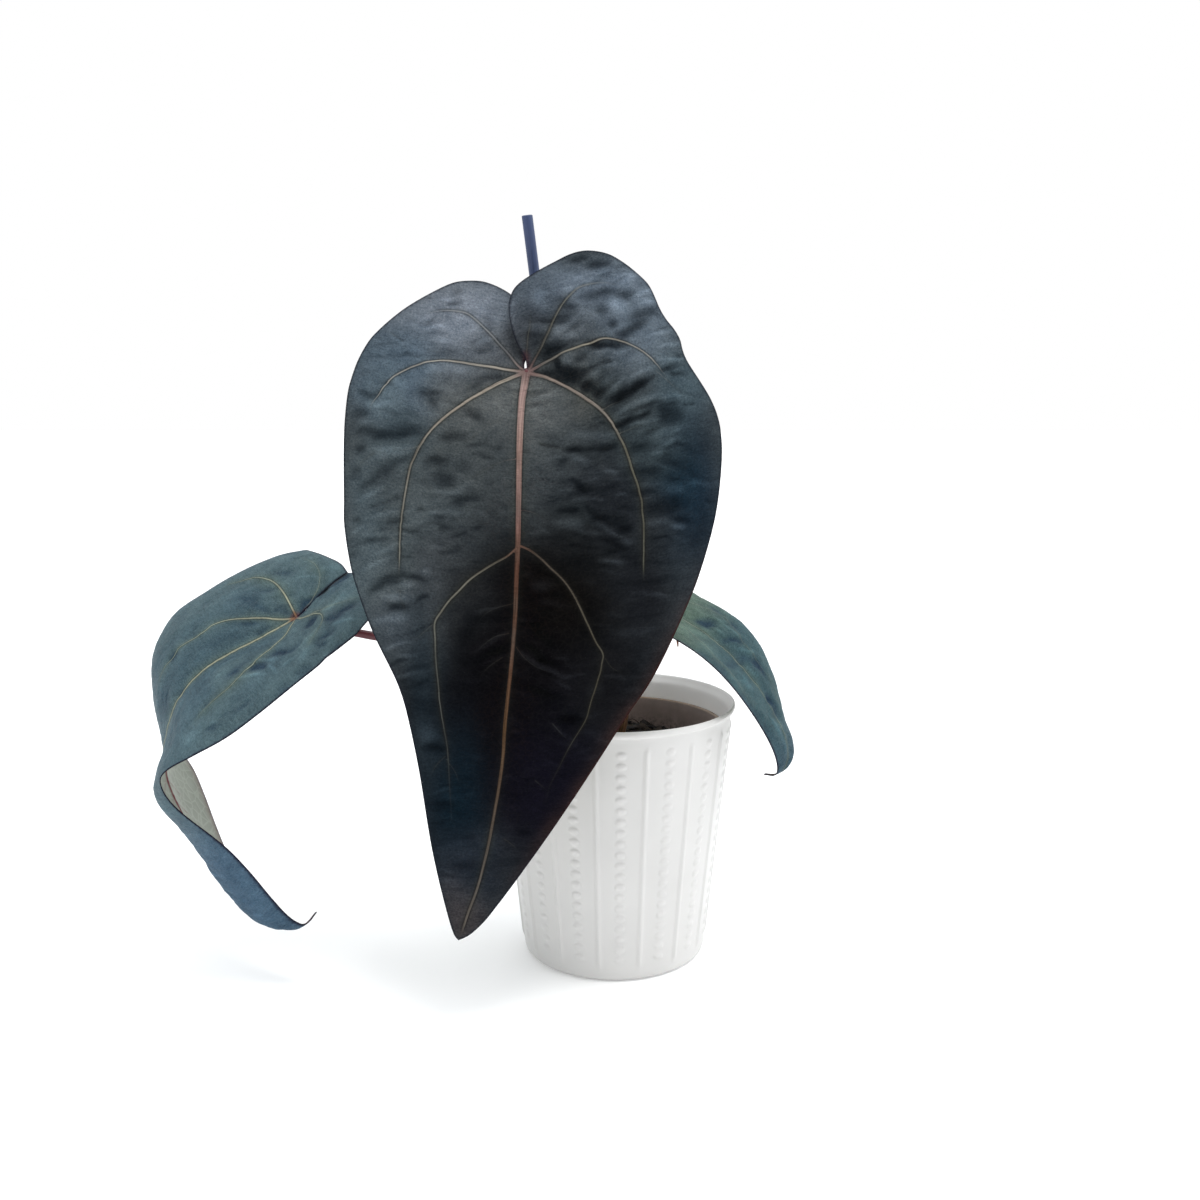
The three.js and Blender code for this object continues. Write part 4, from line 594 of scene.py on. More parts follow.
    (-45.3, -125.1, 4.1, 0.6, 29.2, 0.8), (-55, -130, 6.4, 0.6, 19.7, 0.5), (-57.2, -143.4, 4.7, 0.8, 24.6, 0.9), (-49.3, -145.3, 5.8, 1.7, 19.3, 0.5),
    (-47, -152.4, 6.4, 1.2, 24.3, 0.5), (-46, -162.2, 6.2, 2.3, 3.1, 0.5), (-42.6, -165.7, 3.4, 1.7, 2.8, 0.4), (-40.6, -183.8, 4, 2.5, 2.5, 1),
    (-37.7, -211.9, 5.7, 2.3, 2, 0.6), (-24.4, -124.6, 9.6, 3.6, 62.2, 0.5), (-13.1, -117.6, 9, 2.3, 11.9, 0.7), (-16.5, -136.5, 11.5, 2.9, 22.7, 0.7),
    (7.7, -126.6, 9.3, 2.3, -54.1, 0.5), (2.4, -120.5, 5.3, 1.1, -11.9, 0.4), (4.6, -133.9, 6.7, 1.7, -39.3, 0.5), (10.9, -140.1, 5.5, 1.3, -24.1, 0.7),
    (8.8, -154.8, 6.6, 2.2, -24, 0.7), (13, -159.8, 5.3, 3.2, -1.7, 0.5), (19.4, -169.4, 4.3, 2.7, -2.4, 1.3), (29, -127.7, 4.8, 4.8, -4.5, 0.4),
    (33.3, -134, 6.5, 0.8, -10.4, 0.4), (46.4, -107, 7.6, 1.6, -2.3, 0.4), (36.5, -147.6, 7.7, 0.9, -15.9, 0.5), (51.7, -122.9, 8.1, 0.9, -2, 0.4),
    (-0.2, -225.1, 3.3, 2.2, -0.1, 0.5), (-25.8, -243, 5.8, 3.5, 1.2, 0.4), (-14.3, -114.6, 6.8, 0.6, 12, -0.7), (-12, -128.5, 6.4, 0.8, 32.7, -0.9),
    (-19.9, -133.5, 4.7, 1.4, 38.1, -0.4), (-13.1, -138.8, 6.3, 0.6, 17.2, -0.6), (-21, -148.8, 5.7, 0.8, 7, -0.4), (6.7, -140.6, 10.6, 1, -34.4, -1.5),
    (16.2, -138.4, 2.7, 0.7, -2.5, -1), (19.4, -147.7, 4.2, 0.6, 3, -0.9), (16.2, -151.3, 4.6, 0.6, -40.4, -1), (7.7, -103.1, 4.8, 2.7, -1.7, -0.8),
    (13, -112.3, 6.6, 1.6, -24.4, -0.7), (0.3, -118.7, 5.3, 0.7, -11.5, -0.7), (37.6, -148.9, 6.7, 1.1, -21.3, -0.6), (30.1, -155.7, 3.2, 3.2, -3.9, -0.4),
    (16.2, -174.9, 5.8, 0.6, -45.7, -0.8), (-57.4, -112.4, 6.9, 1.7, 5, -0.6), (-60.7, -123.4, 7.6, 1.8, 20, -0.7), (-58.4, -135.7, 7, 0.8, 19.7, -0.7),
    (-51.5, -139.4, 5.2, 0.8, 19.4, -0.6), (-55, -149.3, 6.9, 0.8, 14.4, -0.6), (-43.9, -177, 3.8, 4.4, 62.4, -0.6), (55.1, -114, 9.1, 1.1, -18.3, -0.4),
    (47.3, -129.5, 7.6, 2.2, -6.7, -0.4),
]
LEFT_MARKS = [
    (33.9, 21.1, 6.7, 2.9, -148.4, 0.6), (19.9, 16, 7.8, 2, -148.6, 0.6), (39.2, -4.7, 9, 2.4, -144.3, 0.5), (31.9, 8.2, 7.2, 2.6, -127.2, 0.5),
    (53.8, 42.4, 5.9, 2.5, -151.3, 0.3), (8.5, 4.4, 5.7, 2.7, -135.4, 0.5), (14.1, 26.8, 7.2, 2.2, -125.4, 0.5), (4, 21.9, 5.1, 1.8, -79.7, 0.6),
    (30.1, 56.7, 4.9, 2.6, -126.4, 0.2), (28.3, 69.2, 3.3, 3, -72.6, 0.8), (15.1, 87.4, 8.1, 6.9, -39.7, 0.5), (0.4, 77.1, 3.1, 3.4, -39.8, 0.6),
    (-37.9, 30.9, 5.3, 4, -124.6, 1.2), (-25.7, 38.4, 5.6, 3.8, -64.5, 0.4), (-28.4, 45.5, 5.2, 4.9, -67.8, 0.5), (-38.4, 15.7, 7.4, 2.4, -136.8, 1),
    (-42.7, 5.9, 4.3, 3.1, -106.4, 0.5), (-30.3, -7.5, 5, 3.8, -64.6, 1), (-33.1, -11.2, 3.1, 3.4, -68.2, 0.5), (-58.8, -30.1, 7.1, 3.1, -135.7, 1.1),
    (-53.1, -20.8, 10, 1.8, -150.8, 1), (-59.5, -12, 7.6, 2, -137.3, 0.9), (-60.9, -7.1, 7.1, 1.5, -150, 0.6), (-63.6, 47.1, 5.8, 2.1, -93.5, 0.5),
    (-61, 64.4, 3, 1.9, -145.5, 0.6), (-60, 56.5, 4.9, 1.6, -103.3, 0.3), (-40.9, 64, 2.7, 1.7, -91.2, 0.5), (-68.6, 9.7, 4.4, 4.6, -86.4, 0.5),
    (-71.7, 23.2, 4.3, 3.5, -82.3, 0.5), (-80.7, -14.7, 5.2, 3.2, -119.9, 0.3), (-20.8, 64.1, 6.8, 4.1, -44.9, 0.2), (10.9, 41.5, 6.5, 3.1, -103.3, 0.2),
    (58.2, 21.5, 5.6, 3.9, -111.2, 0.3), (57.2, 57.2, 4.7, 7.9, -99.9, 0.2), (-3.2, 52.2, 5.5, 4.7, -100.4, 0.2), (0.8, -9.2, 5.4, 4.2, -52.5, 1.7),
    (1.5, -18.3, 5.6, 1.7, -91.5, 1.7), (-8.9, -30.1, 6.8, 6.5, -120.1, 1.5), (-17.4, -40, 5.7, 6.1, -111.3, 1.3), (-26.4, -31.6, 7.9, 3.3, -109.8, 0.5),
    (-37.1, 24.9, 7.7, 1.5, -135.9, -0.6), (-47.6, 24.7, 7.6, 1.5, -167.1, -0.6), (-43.5, 37.7, 9.4, 1.2, -130.7, -0.6), (-52.7, 13.7, 5.6, 1.4, -84.5, -0.5),
    (-45.9, -1.6, 5.7, 1.8, -88.3, -0.5), (-56.7, 4.1, 5, 3.4, -51.7, -0.4), (-39.3, -23.1, 10.6, 1.7, -131.4, -0.5), (-67.7, -24.9, 10.3, 0.8, -145.3, -0.6),
    (-42.5, -30.8, 10.4, 4.2, -133.3, -0.4), (19.2, -19.8, 7.4, 0.8, -133.7, -0.6), (12.7, -37, 6.4, 2.7, -117.8, -0.4), (-26.1, 26.7, 4.5, 4.2, -74.9, -0.3),
    (2.6, 41.6, 7.4, 2.1, -88.4, -0.2), (-53.9, 72.7, 4.7, 5.7, -102.3, -0.2), (-52.9, 77.8, 4.8, 5.9, -88, -0.2), (1, 27.3, 6.4, 1.7, -90.8, -0.2),
]
RIGHT_MARKS = [
    (9, 25.8, 6.2, 3.2, 47.8, 1.1), (13.9, 27, 4.2, 1.8, 48.6, 0.5), (13.1, 44.4, 7.7, 1.8, 40.1, 1.1), (5.9, 41.1, 5.8, 1.6, 33.9, 0.6),
    (8.7, 57.2, 9.1, 3.4, 44.8, 0.7), (14, 65.9, 5, 4, 57.4, 1), (-12.9, 51.9, 3, 12, 95.2, 0.7), (30.3, 27.1, 4.3, 4.5, 56.1, 0.8),
    (25.8, 41.2, 5.2, 5.1, 106.9, 0.7), (3.5, 83.2, 4.5, 3.3, 66.6, 0.9), (2.8, 77.2, 4.8, 3.1, 75.1, 0.5), (3.8, 90, 2.9, 4.9, 78.7, 0.6),
    (-30.1, 72, 5.4, 3.4, 58.3, 0.7), (-24.9, 80.7, 5.1, 3.2, 60, 0.7), (-20.1, 92.2, 5.6, 2.7, 62, 0.7), (-15.3, 102.3, 4.9, 2.3, 60.9, 0.5),
    (-36.9, 50.5, 5.3, 4.1, 65.4, 0.6), (-42.1, 35.3, 5.2, 3.7, 69.1, 0.8), (-45.8, 23.2, 4.2, 3.4, 82.2, 0.5), (8.3, 35, 7.4, 1.3, 91.1, -0.5),
    (13.1, 52.6, 8.1, 1.3, 40.1, -0.6), (19.9, 31.6, 7.1, 1.4, 45.5, -0.5), (17.9, 39.9, 6.3, 1.5, 96.6, -0.5), (-18.3, 20.3, 5.3, 11.8, 102.8, -0.4),
    (-27.8, 33.4, 6.3, 6.2, 122.8, -0.5), (-30.5, 58.5, 6.5, 3.8, 54.6, -0.3), (-17.4, 65, 5.4, 4.2, 47.8, -0.5), (-7.7, 94.7, 5.3, 2, 70.1, -0.6),
    (-3.1, 107.5, 6.4, 2.3, 66.4, -0.4), (4.5, 63.1, 4.8, 1.1, 78.3, -0.5),
]
# faint secondary veins, in the flat plan
FRONT_SECOND = [
    [(-4.2, -43.1), (-9.7, -44.2), (-22.4, -52.1), (-28.8, -57.4)],
    [(-10.7, -24.5), (-18.1, -28.1), (-22.2, -31.3)],
    [(-22.2, -32.3), (-25.8, -35.5), (-30, -38.3)],
    [(-72.5, -47.9), (-77.9, -52.7), (-83.6, -59.8)],
    [(-72.6, 7.2), (-66.7, 4.7), (-62.5, 0.2), (-59.8, -2.3)],
    [(6.7, -35.5), (15, -38.7), (21.2, -40.5)],
    [(-5.5, -111.8), (-10.9, -113.4), (-17.2, -116.9), (-20.8, -121.8)],
    [(-6.4, -125.8), (-12.2, -127.4), (-18.1, -131.9), (-21.7, -136.4)],
    [(-5.5, -128.3), (0.3, -137.5), (6.7, -142.9), (15.2, -146.1)],
    [(-9.5, -137.5), (-15.4, -142.1), (-19.9, -148)],
    [(12.1, -170.3), (16.4, -176.4), (18.9, -179.1)],
    [(4.7, -198.6), (7.7, -201.8), (9.8, -204.4)],
    [(-9.4, -228.6), (-5.8, -231.8), (-2.7, -236.1)],
    [(64.9, -14.8), (69.5, -19.8), (74.5, -25.7), (78.4, -31.9)],
    [(33.5, -138.9), (37.4, -145.5), (44.2, -150)],
    [(-40.7, -123.3), (-45.2, -127.9), (-50.6, -133.1)],
    [(-50.5, -41.8), (-58.1, -44.6), (-66.9, -44.9)],
    [(-2.1, -66.6), (4, -68.6), (10, -72.6)],
    [(42.2, -37.1), (49.6, -36), (58.7, -34.5)],
    [(33.9, -25.5), (40, -23.8), (48.3, -22.5)],
    [(-56.8, -108.8), (-55.3, -114.4), (-53.4, -121.3)],
    [(-34.7, -186.5), (-39.3, -191.7), (-43.1, -199)],
    [(-34.8, -188.5), (-31.2, -194.5), (-28.6, -202.6)],
]
LEFT_U = [-53, -41, -28, -14, 0, 20, 40, 60, 78, 92, 104, 114, 124, 135, 147, 160, 175, 192, 210, 226, 240, 250, 259]
LEFT_G = [
    [(-124.79,-21.33,214.51), (-141.21,9.51,221.28), (-155.6,42,221.96), (-152.54,28.92,221.67), (-157.47,38.39,225.93), (-160.64,49.16,226.04)],
    [(-131.06,-39.22,207.59), (-149.34,-1.96,215.65), (-165.72,37.57,217.11), (-161.5,22.96,217.05), (-168.22,38.43,225.69), (-172.6,56.07,227.88)],
    [(-138.52,-51.6,200.42), (-156.37,-14.33,209.23), (-172.18,26.25,210.96), (-168.8,15.54,211), (-178.63,36.26,224.3), (-185.41,60.53,228.31)],
    [(-147.25,-59.54,192.9), (-163.52,-25.61,202.07), (-176.97,11.9,204.03), (-175.48,7.37,204.07), (-189.25,32.87,220.28), (-199.05,62.78,226.79)],
    [(-156.6,-64.64,185.41), (-171.86,-32.98,194.78), (-183.25,1.21,197.49), (-183.25,1.21,197.49), (-200.13,29.86,215.25), (-212.54,63.31,223.09)],
    [(-170.88,-69.69,174.34), (-186.12,-38.54,184.46), (-198.69,-4.15,188.72), (-198.69,-4.15,188.72), (-217.41,26.21,207.19), (-231.59,61.95,214.7)],
    [(-186.02,-74.33,162.37), (-202.34,-43.01,174.6), (-217.14,-8.29,179.99), (-217.14,-8.29,179.99), (-236.11,21.94,198.09), (-250.47,58.69,203.89)],
    [(-203.04,-79.64,150.17), (-219.67,-49.33,163.91), (-233.3,-15.51,170.14), (-233.3,-15.51,170.14), (-254.76,15.13,185.63), (-271.27,51.92,188.87)],
    [(-220.72,-84.24,141.02), (-232.75,-56.25,151.42), (-242.94,-24.01,158.88), (-242.94,-24.01,158.88), (-265.23,5.49,167.48), (-279.86,39.98,167.77)],
    [(-230.78,-87.14,136.01), (-237.24,-62,142.61), (-247.25,-31.33,147.79), (-247.25,-31.33,147.79), (-265.42,-1.6,149.72), (-277.51,30.48,149.78)],
    [(-234.99,-88.85,132.01), (-240.8,-66.39,135.31), (-248.94,-37.44,137.05), (-248.94,-37.44,137.05), (-261.53,-7.99,134.77), (-273.11,21.76,133.28)],
    [(-235.14,-89.55,127.34), (-243.5,-68.87,127.59), (-248.9,-41.88,127.94), (-248.9,-41.88,127.94), (-256.83,-14.87,124.73), (-265.19,12.46,119.82)],
    [(-232.35,-89.49,120.95), (-244.92,-69.9,118.44), (-247.49,-45.42,119.1), (-247.49,-45.42,119.1), (-251.77,-21.08,117.21), (-253.86,3.85,115.1)],
    [(-226.97,-88.68,113.69), (-241.42,-69.78,108.62), (-244.29,-48.38,109.64), (-244.29,-48.38,109.64), (-246.17,-26.78,107.7), (-245.3,-4.36,108.25)],
    [(-219.94,-87.09,106.36), (-233.75,-68.83,98.55), (-239.09,-50.7,99.49), (-239.09,-50.7,99.49), (-239.64,-31.92,95.8), (-237.32,-12.12,95.24)],
    [(-212.36,-84.78,98.66), (-226.54,-67.49,87.49), (-232.12,-52.44,88.48), (-232.12,-52.44,88.48), (-232.7,-36.57,84.14), (-229.96,-19.51,81.15)],
    [(-203.87,-81.7,88.9), (-219.17,-65.93,74.44), (-223.68,-53.85,75.5), (-223.68,-53.85,75.5), (-224.61,-41.26,71.72), (-222.22,-27.27,68.35)],
    [(-194.5,-78.13,75.2), (-209.91,-64.52,59.56), (-215.14,-55.25,60.24), (-215.14,-55.25,60.24), (-214.64,-46.39,57.58), (-211.85,-35.8,56.19)],
    [(-185.15,-74.25,59.46), (-198.33,-63.63,45.88), (-204.93,-56.95,45.73), (-204.93,-56.95,45.73), (-202.54,-51.7,44.18), (-198.82,-44.55,44.68)],
    [(-177.75,-70.46,47.64), (-186.73,-63.38,38.23), (-191.83,-58.97,37.36), (-191.83,-58.97,37.36), (-190.08,-56.09,36.65), (-186.6,-51.72,37.98)],
    [(-172.26,-66.7,41.37), (-175.78,-63.61,36.98), (-178.72,-61.33,35.81), (-178.72,-61.33,35.81), (-177.6,-59.52,35.63), (-176.26,-57.26,36.58)],
    [(-168.62,-64,40.29), (-169.33,-63.42,39.68), (-170.04,-62.83,39.08), (-170.04,-62.83,39.08), (-169.47,-61.9,39.25), (-168.91,-60.97,39.43)],
    [(-163.6,-63.16,46.24), (-163.88,-62.94,46.01), (-164.15,-62.71,45.77), (-164.15,-62.71,45.77), (-163.93,-62.35,45.84), (-163.72,-61.99,45.91)],
]
RIGHT_U = [-29, -20, -10, 0, 14, 30, 45, 60, 74, 87, 98, 108, 116, 122, 128, 133]
RIGHT_G = [
    [(7.53,-21.47,215.18), (10.47,-1.4,217.19), (12.55,20.37,217.87), (13.51,24.38,218.75), (18.95,31.65,222.85), (21.4,39.59,222.08)],
    [(9.63,-34.07,209.94), (14.07,-10.1,212.59), (17.45,13.52,213.48), (17.76,17.95,214.13), (25.26,30.21,219.78), (28.18,45.03,218.75)],
    [(14.11,-42.31,205.35), (18.92,-16.88,207.9), (22.63,7.89,208.57), (22.9,10.32,209.01), (31.3,28.44,214.9), (34.6,48.51,213.63)],
    [(20.27,-46.38,202.13), (25.02,-21.22,203.43), (28.9,4.01,203.7), (28.9,4.01,203.7), (37.23,26.49,209.62), (41.06,49.73,208.27)],
    [(30.59,-48.24,196.76), (35.78,-24.42,197.12), (40.01,-0.27,196.36), (40.01,-0.27,196.36), (48.02,23.43,202.99), (51.72,48.51,201.97)],
    [(42.89,-47.76,188.81), (48.93,-26,189.14), (53.76,-3.26,187.45), (53.76,-3.26,187.45), (61.94,19.46,195.38), (65.02,44.37,195.31)],
    [(53.35,-46.87,179.99), (59.82,-27.24,180.28), (65.04,-6.46,178.42), (65.04,-6.46,178.42), (73.71,15.13,186.6), (76.77,38.95,187.6)],
    [(62.82,-45.88,169.8), (69.36,-28.66,170.02), (74.69,-10.51,168.54), (74.69,-10.51,168.54), (83.43,9.7,175.31), (86.65,31.72,176.54)],
    [(71.13,-44.82,158.94), (77.52,-30.26,159.2), (82.65,-15.15,158.37), (82.65,-15.15,158.37), (90.29,3.14,162.42), (93.27,22.78,162.66)],
    [(78.66,-43.65,147.61), (84.8,-32.04,148.11), (89.47,-20.24,147.98), (89.47,-20.24,147.98), (94.5,-4.65,149.91), (96.49,12.13,149.52)],
    [(84.49,-42.32,137.42), (90.17,-33.58,138.17), (94.29,-24.84,138.57), (94.29,-24.84,138.57), (97.35,-12.44,139.62), (98.36,1.22,139.4)],
    [(88.48,-40.49,128.28), (93.21,-34.59,129.12), (96.78,-28.65,129.77), (96.78,-28.65,129.77), (100.52,-20.07,130.41), (101.44,-10.15,130.6)],
    [(90.23,-38.39,121.44), (93.61,-34.9,122.11), (96.47,-31.1,122.7), (96.47,-31.1,122.7), (100.31,-26.27,123.06), (101.43,-20.19,123.53)],
    [(90.25,-36.43,117.16), (92.28,-34.71,117.51), (94.24,-32.42,117.91), (94.24,-32.42,117.91), (96.53,-30.49,118), (97.59,-27.55,118.38)],
    [(88.37,-34.42,114.87), (89,-33.79,114.99), (89.63,-33.16,115.1), (89.63,-33.16,115.1), (90.14,-32.42,115.17), (90.64,-31.68,115.25)],
    [(83.36,-33.85,115.35), (83.65,-33.55,115.41), (83.95,-33.26,115.46), (83.95,-33.26,115.46), (84.19,-32.91,115.5), (84.43,-32.56,115.53)],
]
LEFT_OUT = [
    (0, 0), (-8, -0.014), (-20, -0.013), (-32, -0.02), (-42, -0.05), (-45.3, -0.09), (-46.2, -0.143), (-48.3, -0.239),
    (-50.2, -0.375), (-51.8, -0.567), (-51.8, -0.773), (-49.2, -0.925), (-42.8, -0.984), (-34.2, -0.998), (-26.6, -1.013), (-16.2, -1),
    (-5.5, -0.987), (0, -1), (259, -1), (259, 1), (0, 1), (-17.6, 1.03), (-23.4, 1.094), (-29.6, 0.884),
    (-37.2, 0.66), (-42.6, 0.481), (-45.6, 0.31), (-46.6, 0.163), (-47.1, 0.041), (-41, 0.022), (-32, 0.02), (-20, 0.013),
    (-8, 0.014),
]
RIGHT_OUT = [
    (0, 0), (-8, -0.05), (-17, -0.12), (-23, -0.3), (-25, -0.55), (-22, -0.8), (-14, -0.95), (0, -1),
    (133, -1), (133, 1), (0, 1), (-14, 0.96), (-23, 0.8), (-26.5, 0.5), (-24, 0.2), (-15, 0.07),
    (-7, 0.04),
]
LEFT_VEINS = [
    ('mid', [(0, 0), (20, 0), (50, 0), (90, 0), (130, 0), (170, 0), (210, 0), (245, 0), (259, 0)]),
    ('n1', [(0, 0), (4, -0.14), (9, -0.26), (16.5, -0.332), (30.6, -0.404), (42.3, -0.486), (50.2, -0.545), (55.4, -0.562), (63.2, -0.593), (70.8, -0.624)]),
    ('f1', [(0, 0), (9.4, 0.069), (17.5, 0.155), (29.5, 0.26), (36.7, 0.309), (44.4, 0.339), (47.6, 0.327), (55.4, 0.322), (64.5, 0.363), (69, 0.367), (81.5, 0.41), (86.6, 0.452)]),
    ('f2', [(-0.7, 0.011), (-0.7, 0.133), (-0.3, 0.274), (1.3, 0.419), (4.9, 0.558), (8.8, 0.633), (14.3, 0.711), (20, 0.753), (31.1, 0.824)]),
    ('f3', [(-6.6, 0.017), (-16, 0.041), (-23.3, 0.093), (-28.1, 0.236), (-27.8, 0.439), (-22.4, 0.647), (-16.5, 0.807)]),
    ('n2', [(0, 0), (-2, -0.1), (-5, -0.18), (-9.9, -0.284), (-14.5, -0.372), (-16.3, -0.484), (-13.6, -0.579), (-7.5, -0.638), (0.6, -0.728)]),
    ('n3', [(0, 0), (-4, -0.14), (-9, -0.24), (-23.4, -0.458), (-32.4, -0.583), (-40.8, -0.689), (-44.8, -0.77)]),
]
RIGHT_VEINS = [
    ('mid', [(0, 0), (20, 0), (50, 0), (80, 0), (110, 0), (133, 0)]),
    ('f1', [(0, 0), (5, 0.26), (14, 0.42), (25.1, 0.505), (33, 0.549), (41.9, 0.453), (50.4, 0.357), (62.3, 0.357), (72.9, 0.442), (84.2, 0.452), (92.3, 0.466)]),
    ('n1', [(0, 0), (3, -0.12), (12.9, -0.297), (26.3, -0.551), (40.4, -0.686), (57.2, -0.724), (72.6, -0.795), (83.8, -0.814)]),
    ('f2', [(0, 0.03), (-4, 0.3), (2, 0.58), (14, 0.74), (27, 0.82)]),
    ('f3', [(-1, 0.03), (-10, 0.25), (-17, 0.5), (-14, 0.72)]),
    ('n2', [(0, -0.03), (-5, -0.3), (0, -0.6), (12, -0.78), (26, -0.86)]),
    ('n3', [(-1, -0.03), (-10, -0.22), (-17, -0.45), (-14, -0.66)]),
]


def curve1(rows):
    R = np.array(rows, float)
    x, y = R[:, 0], R[:, 1]
    n = len(x)
    a, b = np.maximum(np.arange(n) - 1, 0), np.minimum(np.arange(n) + 1, n - 1)
    m = (y[b] - y[a]) / (x[b] - x[a])

    def f(q):
        q = np.asarray(q, float)
        i = np.clip(np.searchsorted(x, q, side="left") - 1, 0, n - 2)
        h = x[i + 1] - x[i]
        t = np.clip((q - x[i]) / h, 0, 1)
        t2, t3 = t * t, t * t * t
        return (2 * t3 - 3 * t2 + 1) * y[i] + (t3 - 2 * t2 + t) * h * m[i] + (3 * t2 - 2 * t3) * y[i + 1] + (t3 - t2) * h * m[i + 1]

    return f


front_y, front_c, front_mx = curve1(FRONT_Y), curve1(FRONT_C), curve1(FRONT_MID[::-1])


def front_depth(x, z, psi, r):
    mx = np.where(z > FRONT_A[2], FRONT_A[0] + (z - FRONT_A[2]) * 0.06, front_mx(z))
    t = (x - mx) / 100
    k = np.where(t < 0, 0.85, 1.0)
    y = front_y(z) + front_c(z) * k * t * t / (0.6 + 0.4 * np.abs(t))
    y = y + 2.64 * np.sin(z / 23 + np.where(t > 0, 0.6, 2.4)) * np.clip(np.abs(t) - 0.25, 0, 1)
    f = sstep(r, 0, 22)
    return y + f * (-8 * sstep(psi, 135, 190) + 6 * sstep(-psi, 135, 190))


def front_flat(P):
    P = np.asarray(P, float)
    a = np.radians(P[:, 0] * np.where(P[:, 0] > 0, FOLD_R, FOLD_L))
    return np.stack([P[:, 1] * np.sin(a), -P[:, 1] * np.cos(a)], 1)


def front_map(Q):
    r = np.hypot(Q[:, 0], Q[:, 1])
    f = np.degrees(np.arctan2(Q[:, 0], -Q[:, 1]))
    psi = f / np.where(f > 0, FOLD_R, FOLD_L)
    a = np.radians(psi)
    x, z = FRONT_A[0] + r * np.sin(a), FRONT_A[2] - r * np.cos(a)
    return np.stack([x, front_depth(x, z, psi, r), z], 1)


class Sheet:
    def __init__(self, U, Gr):
        self.U, self.G = np.array(U, float), np.array(Gr, float)
        n = len(U)
        a, b = np.maximum(np.arange(n) - 1, 0), np.minimum(np.arange(n) + 1, n - 1)
        self.m = (self.G[b] - self.G[a]) / (self.U[b] - self.U[a])[:, None, None]

    def rows(self, u):
        u = np.clip(u, self.U[0], self.U[-1])
        i = np.clip(np.searchsorted(self.U, u, side="right") - 1, 0, len(self.U) - 2)
        h = (self.U[i + 1] - self.U[i])[:, None, None]
        t = ((u - self.U[i]) / (self.U[i + 1] - self.U[i]))[:, None, None]
        t2, t3 = t * t, t * t * t
        return (2 * t3 - 3 * t2 + 1) * self.G[i] + (t3 - 2 * t2 + t) * h * self.m[i] + (3 * t2 - 2 * t3) * self.G[i + 1] + (t3 - t2) * h * self.m[i + 1]

    def at(self, u, v):
        R = self.rows(u)
        near = (v < 0)[:, None]
        a, b, c = np.where(near, R[:, 0], R[:, 3]), np.where(near, R[:, 1], R[:, 4]), np.where(near, R[:, 2], R[:, 5])
        s = np.where(v < 0, 1 + v, v)[:, None]
        return a * (1 - s) * (1 - 2 * s) + b * 4 * s * (1 - s) + c * s * (2 * s - 1)

    def wide(self, u, side):
        R = self.rows(u)
        w0 = np.linalg.norm(R[:, 1] - R[:, 0], axis=1) + np.linalg.norm(R[:, 2] - R[:, 1], axis=1)
        w1 = np.linalg.norm(R[:, 4] - R[:, 3], axis=1) + np.linalg.norm(R[:, 5] - R[:, 4], axis=1)
        return np.where(side < 0, w0, w1)

    def flat(self, P):
        P = np.asarray(P, float)
        return np.stack([P[:, 1] * self.wide(P[:, 0], P[:, 1]), P[:, 0]], 1)

    def map(self, Q):
        return self.at(Q[:, 1], Q[:, 0] / np.maximum(self.wide(Q[:, 1], Q[:, 0]), 1e-3))


def laterals(veins, outline, spacing, reach, seed):
    """Finer side veins, traced off the primary ones until they near a
    neighbour or the margin."""
    rng = np.random.default_rng(seed)
    segs = [np.asarray(v["pts"]) for v in veins]
    allp = np.vstack([s for s in segs])
    owner = np.concatenate([np.full(len(s), i) for i, s in enumerate(segs)])
    out = []
    for i, P in enumerate(segs):
        s = np.r_[0, np.cumsum(np.linalg.norm(np.diff(P, axis=0), axis=1))]
        if s[-1] < spacing * 1.5:
            continue
        for side in (1, -1):
            q = spacing * (0.9 + 0.4 * rng.random())
            while q < s[-1] - spacing * 0.35:
                k = min(int(np.searchsorted(s, q)), len(P) - 2)
                t = P[k + 1] - P[k]
                t /= np.linalg.norm(t)
                a = side * math.radians(54 + 10 * rng.random())
                d = np.array([t[0] * math.cos(a) - t[1] * math.sin(a), t[0] * math.sin(a) + t[1] * math.cos(a)])
                p, line, run = P[k].copy(), [P[k].copy()], 0.0
                L = reach * (0.65 + 0.5 * rng.random())
                w = rng.normal() * 0.2
                while run < L:
                    b = -side * math.radians(0.55 + 0.3 * w) * 2
                    d = np.array([d[0] * math.cos(b) - d[1] * math.sin(b), d[0] * math.sin(b) + d[1] * math.cos(b)])
                    p = p + d * 2
                    run += 2
                    dd = np.linalg.norm(allp - p, axis=1)
                    j = dd.argmin()
                    if (owner[j] != i and dd[j] < 2.5) or (run > 8 and owner[j] == i and dd[j] < 3):
                        break
                    line.append(p.copy())
                if len(line) > 4:
                    line = np.array(line)
                    ok = inside(outline, line)
                    if not ok.all():
                        line = line[: int(np.argmin(ok))]
                    e, _, _ = poly_dist(line, outline, True) if len(line) else (np.array([]), 0, 0)
                    if len(line):
                        keep = e > 3.5
                        if not keep.all():
                            line = line[: int(np.argmin(keep))]
                    if len(line) > 4:
                        out.append(line)
                q += spacing * (0.85 + 0.35 * rng.random())
    return out


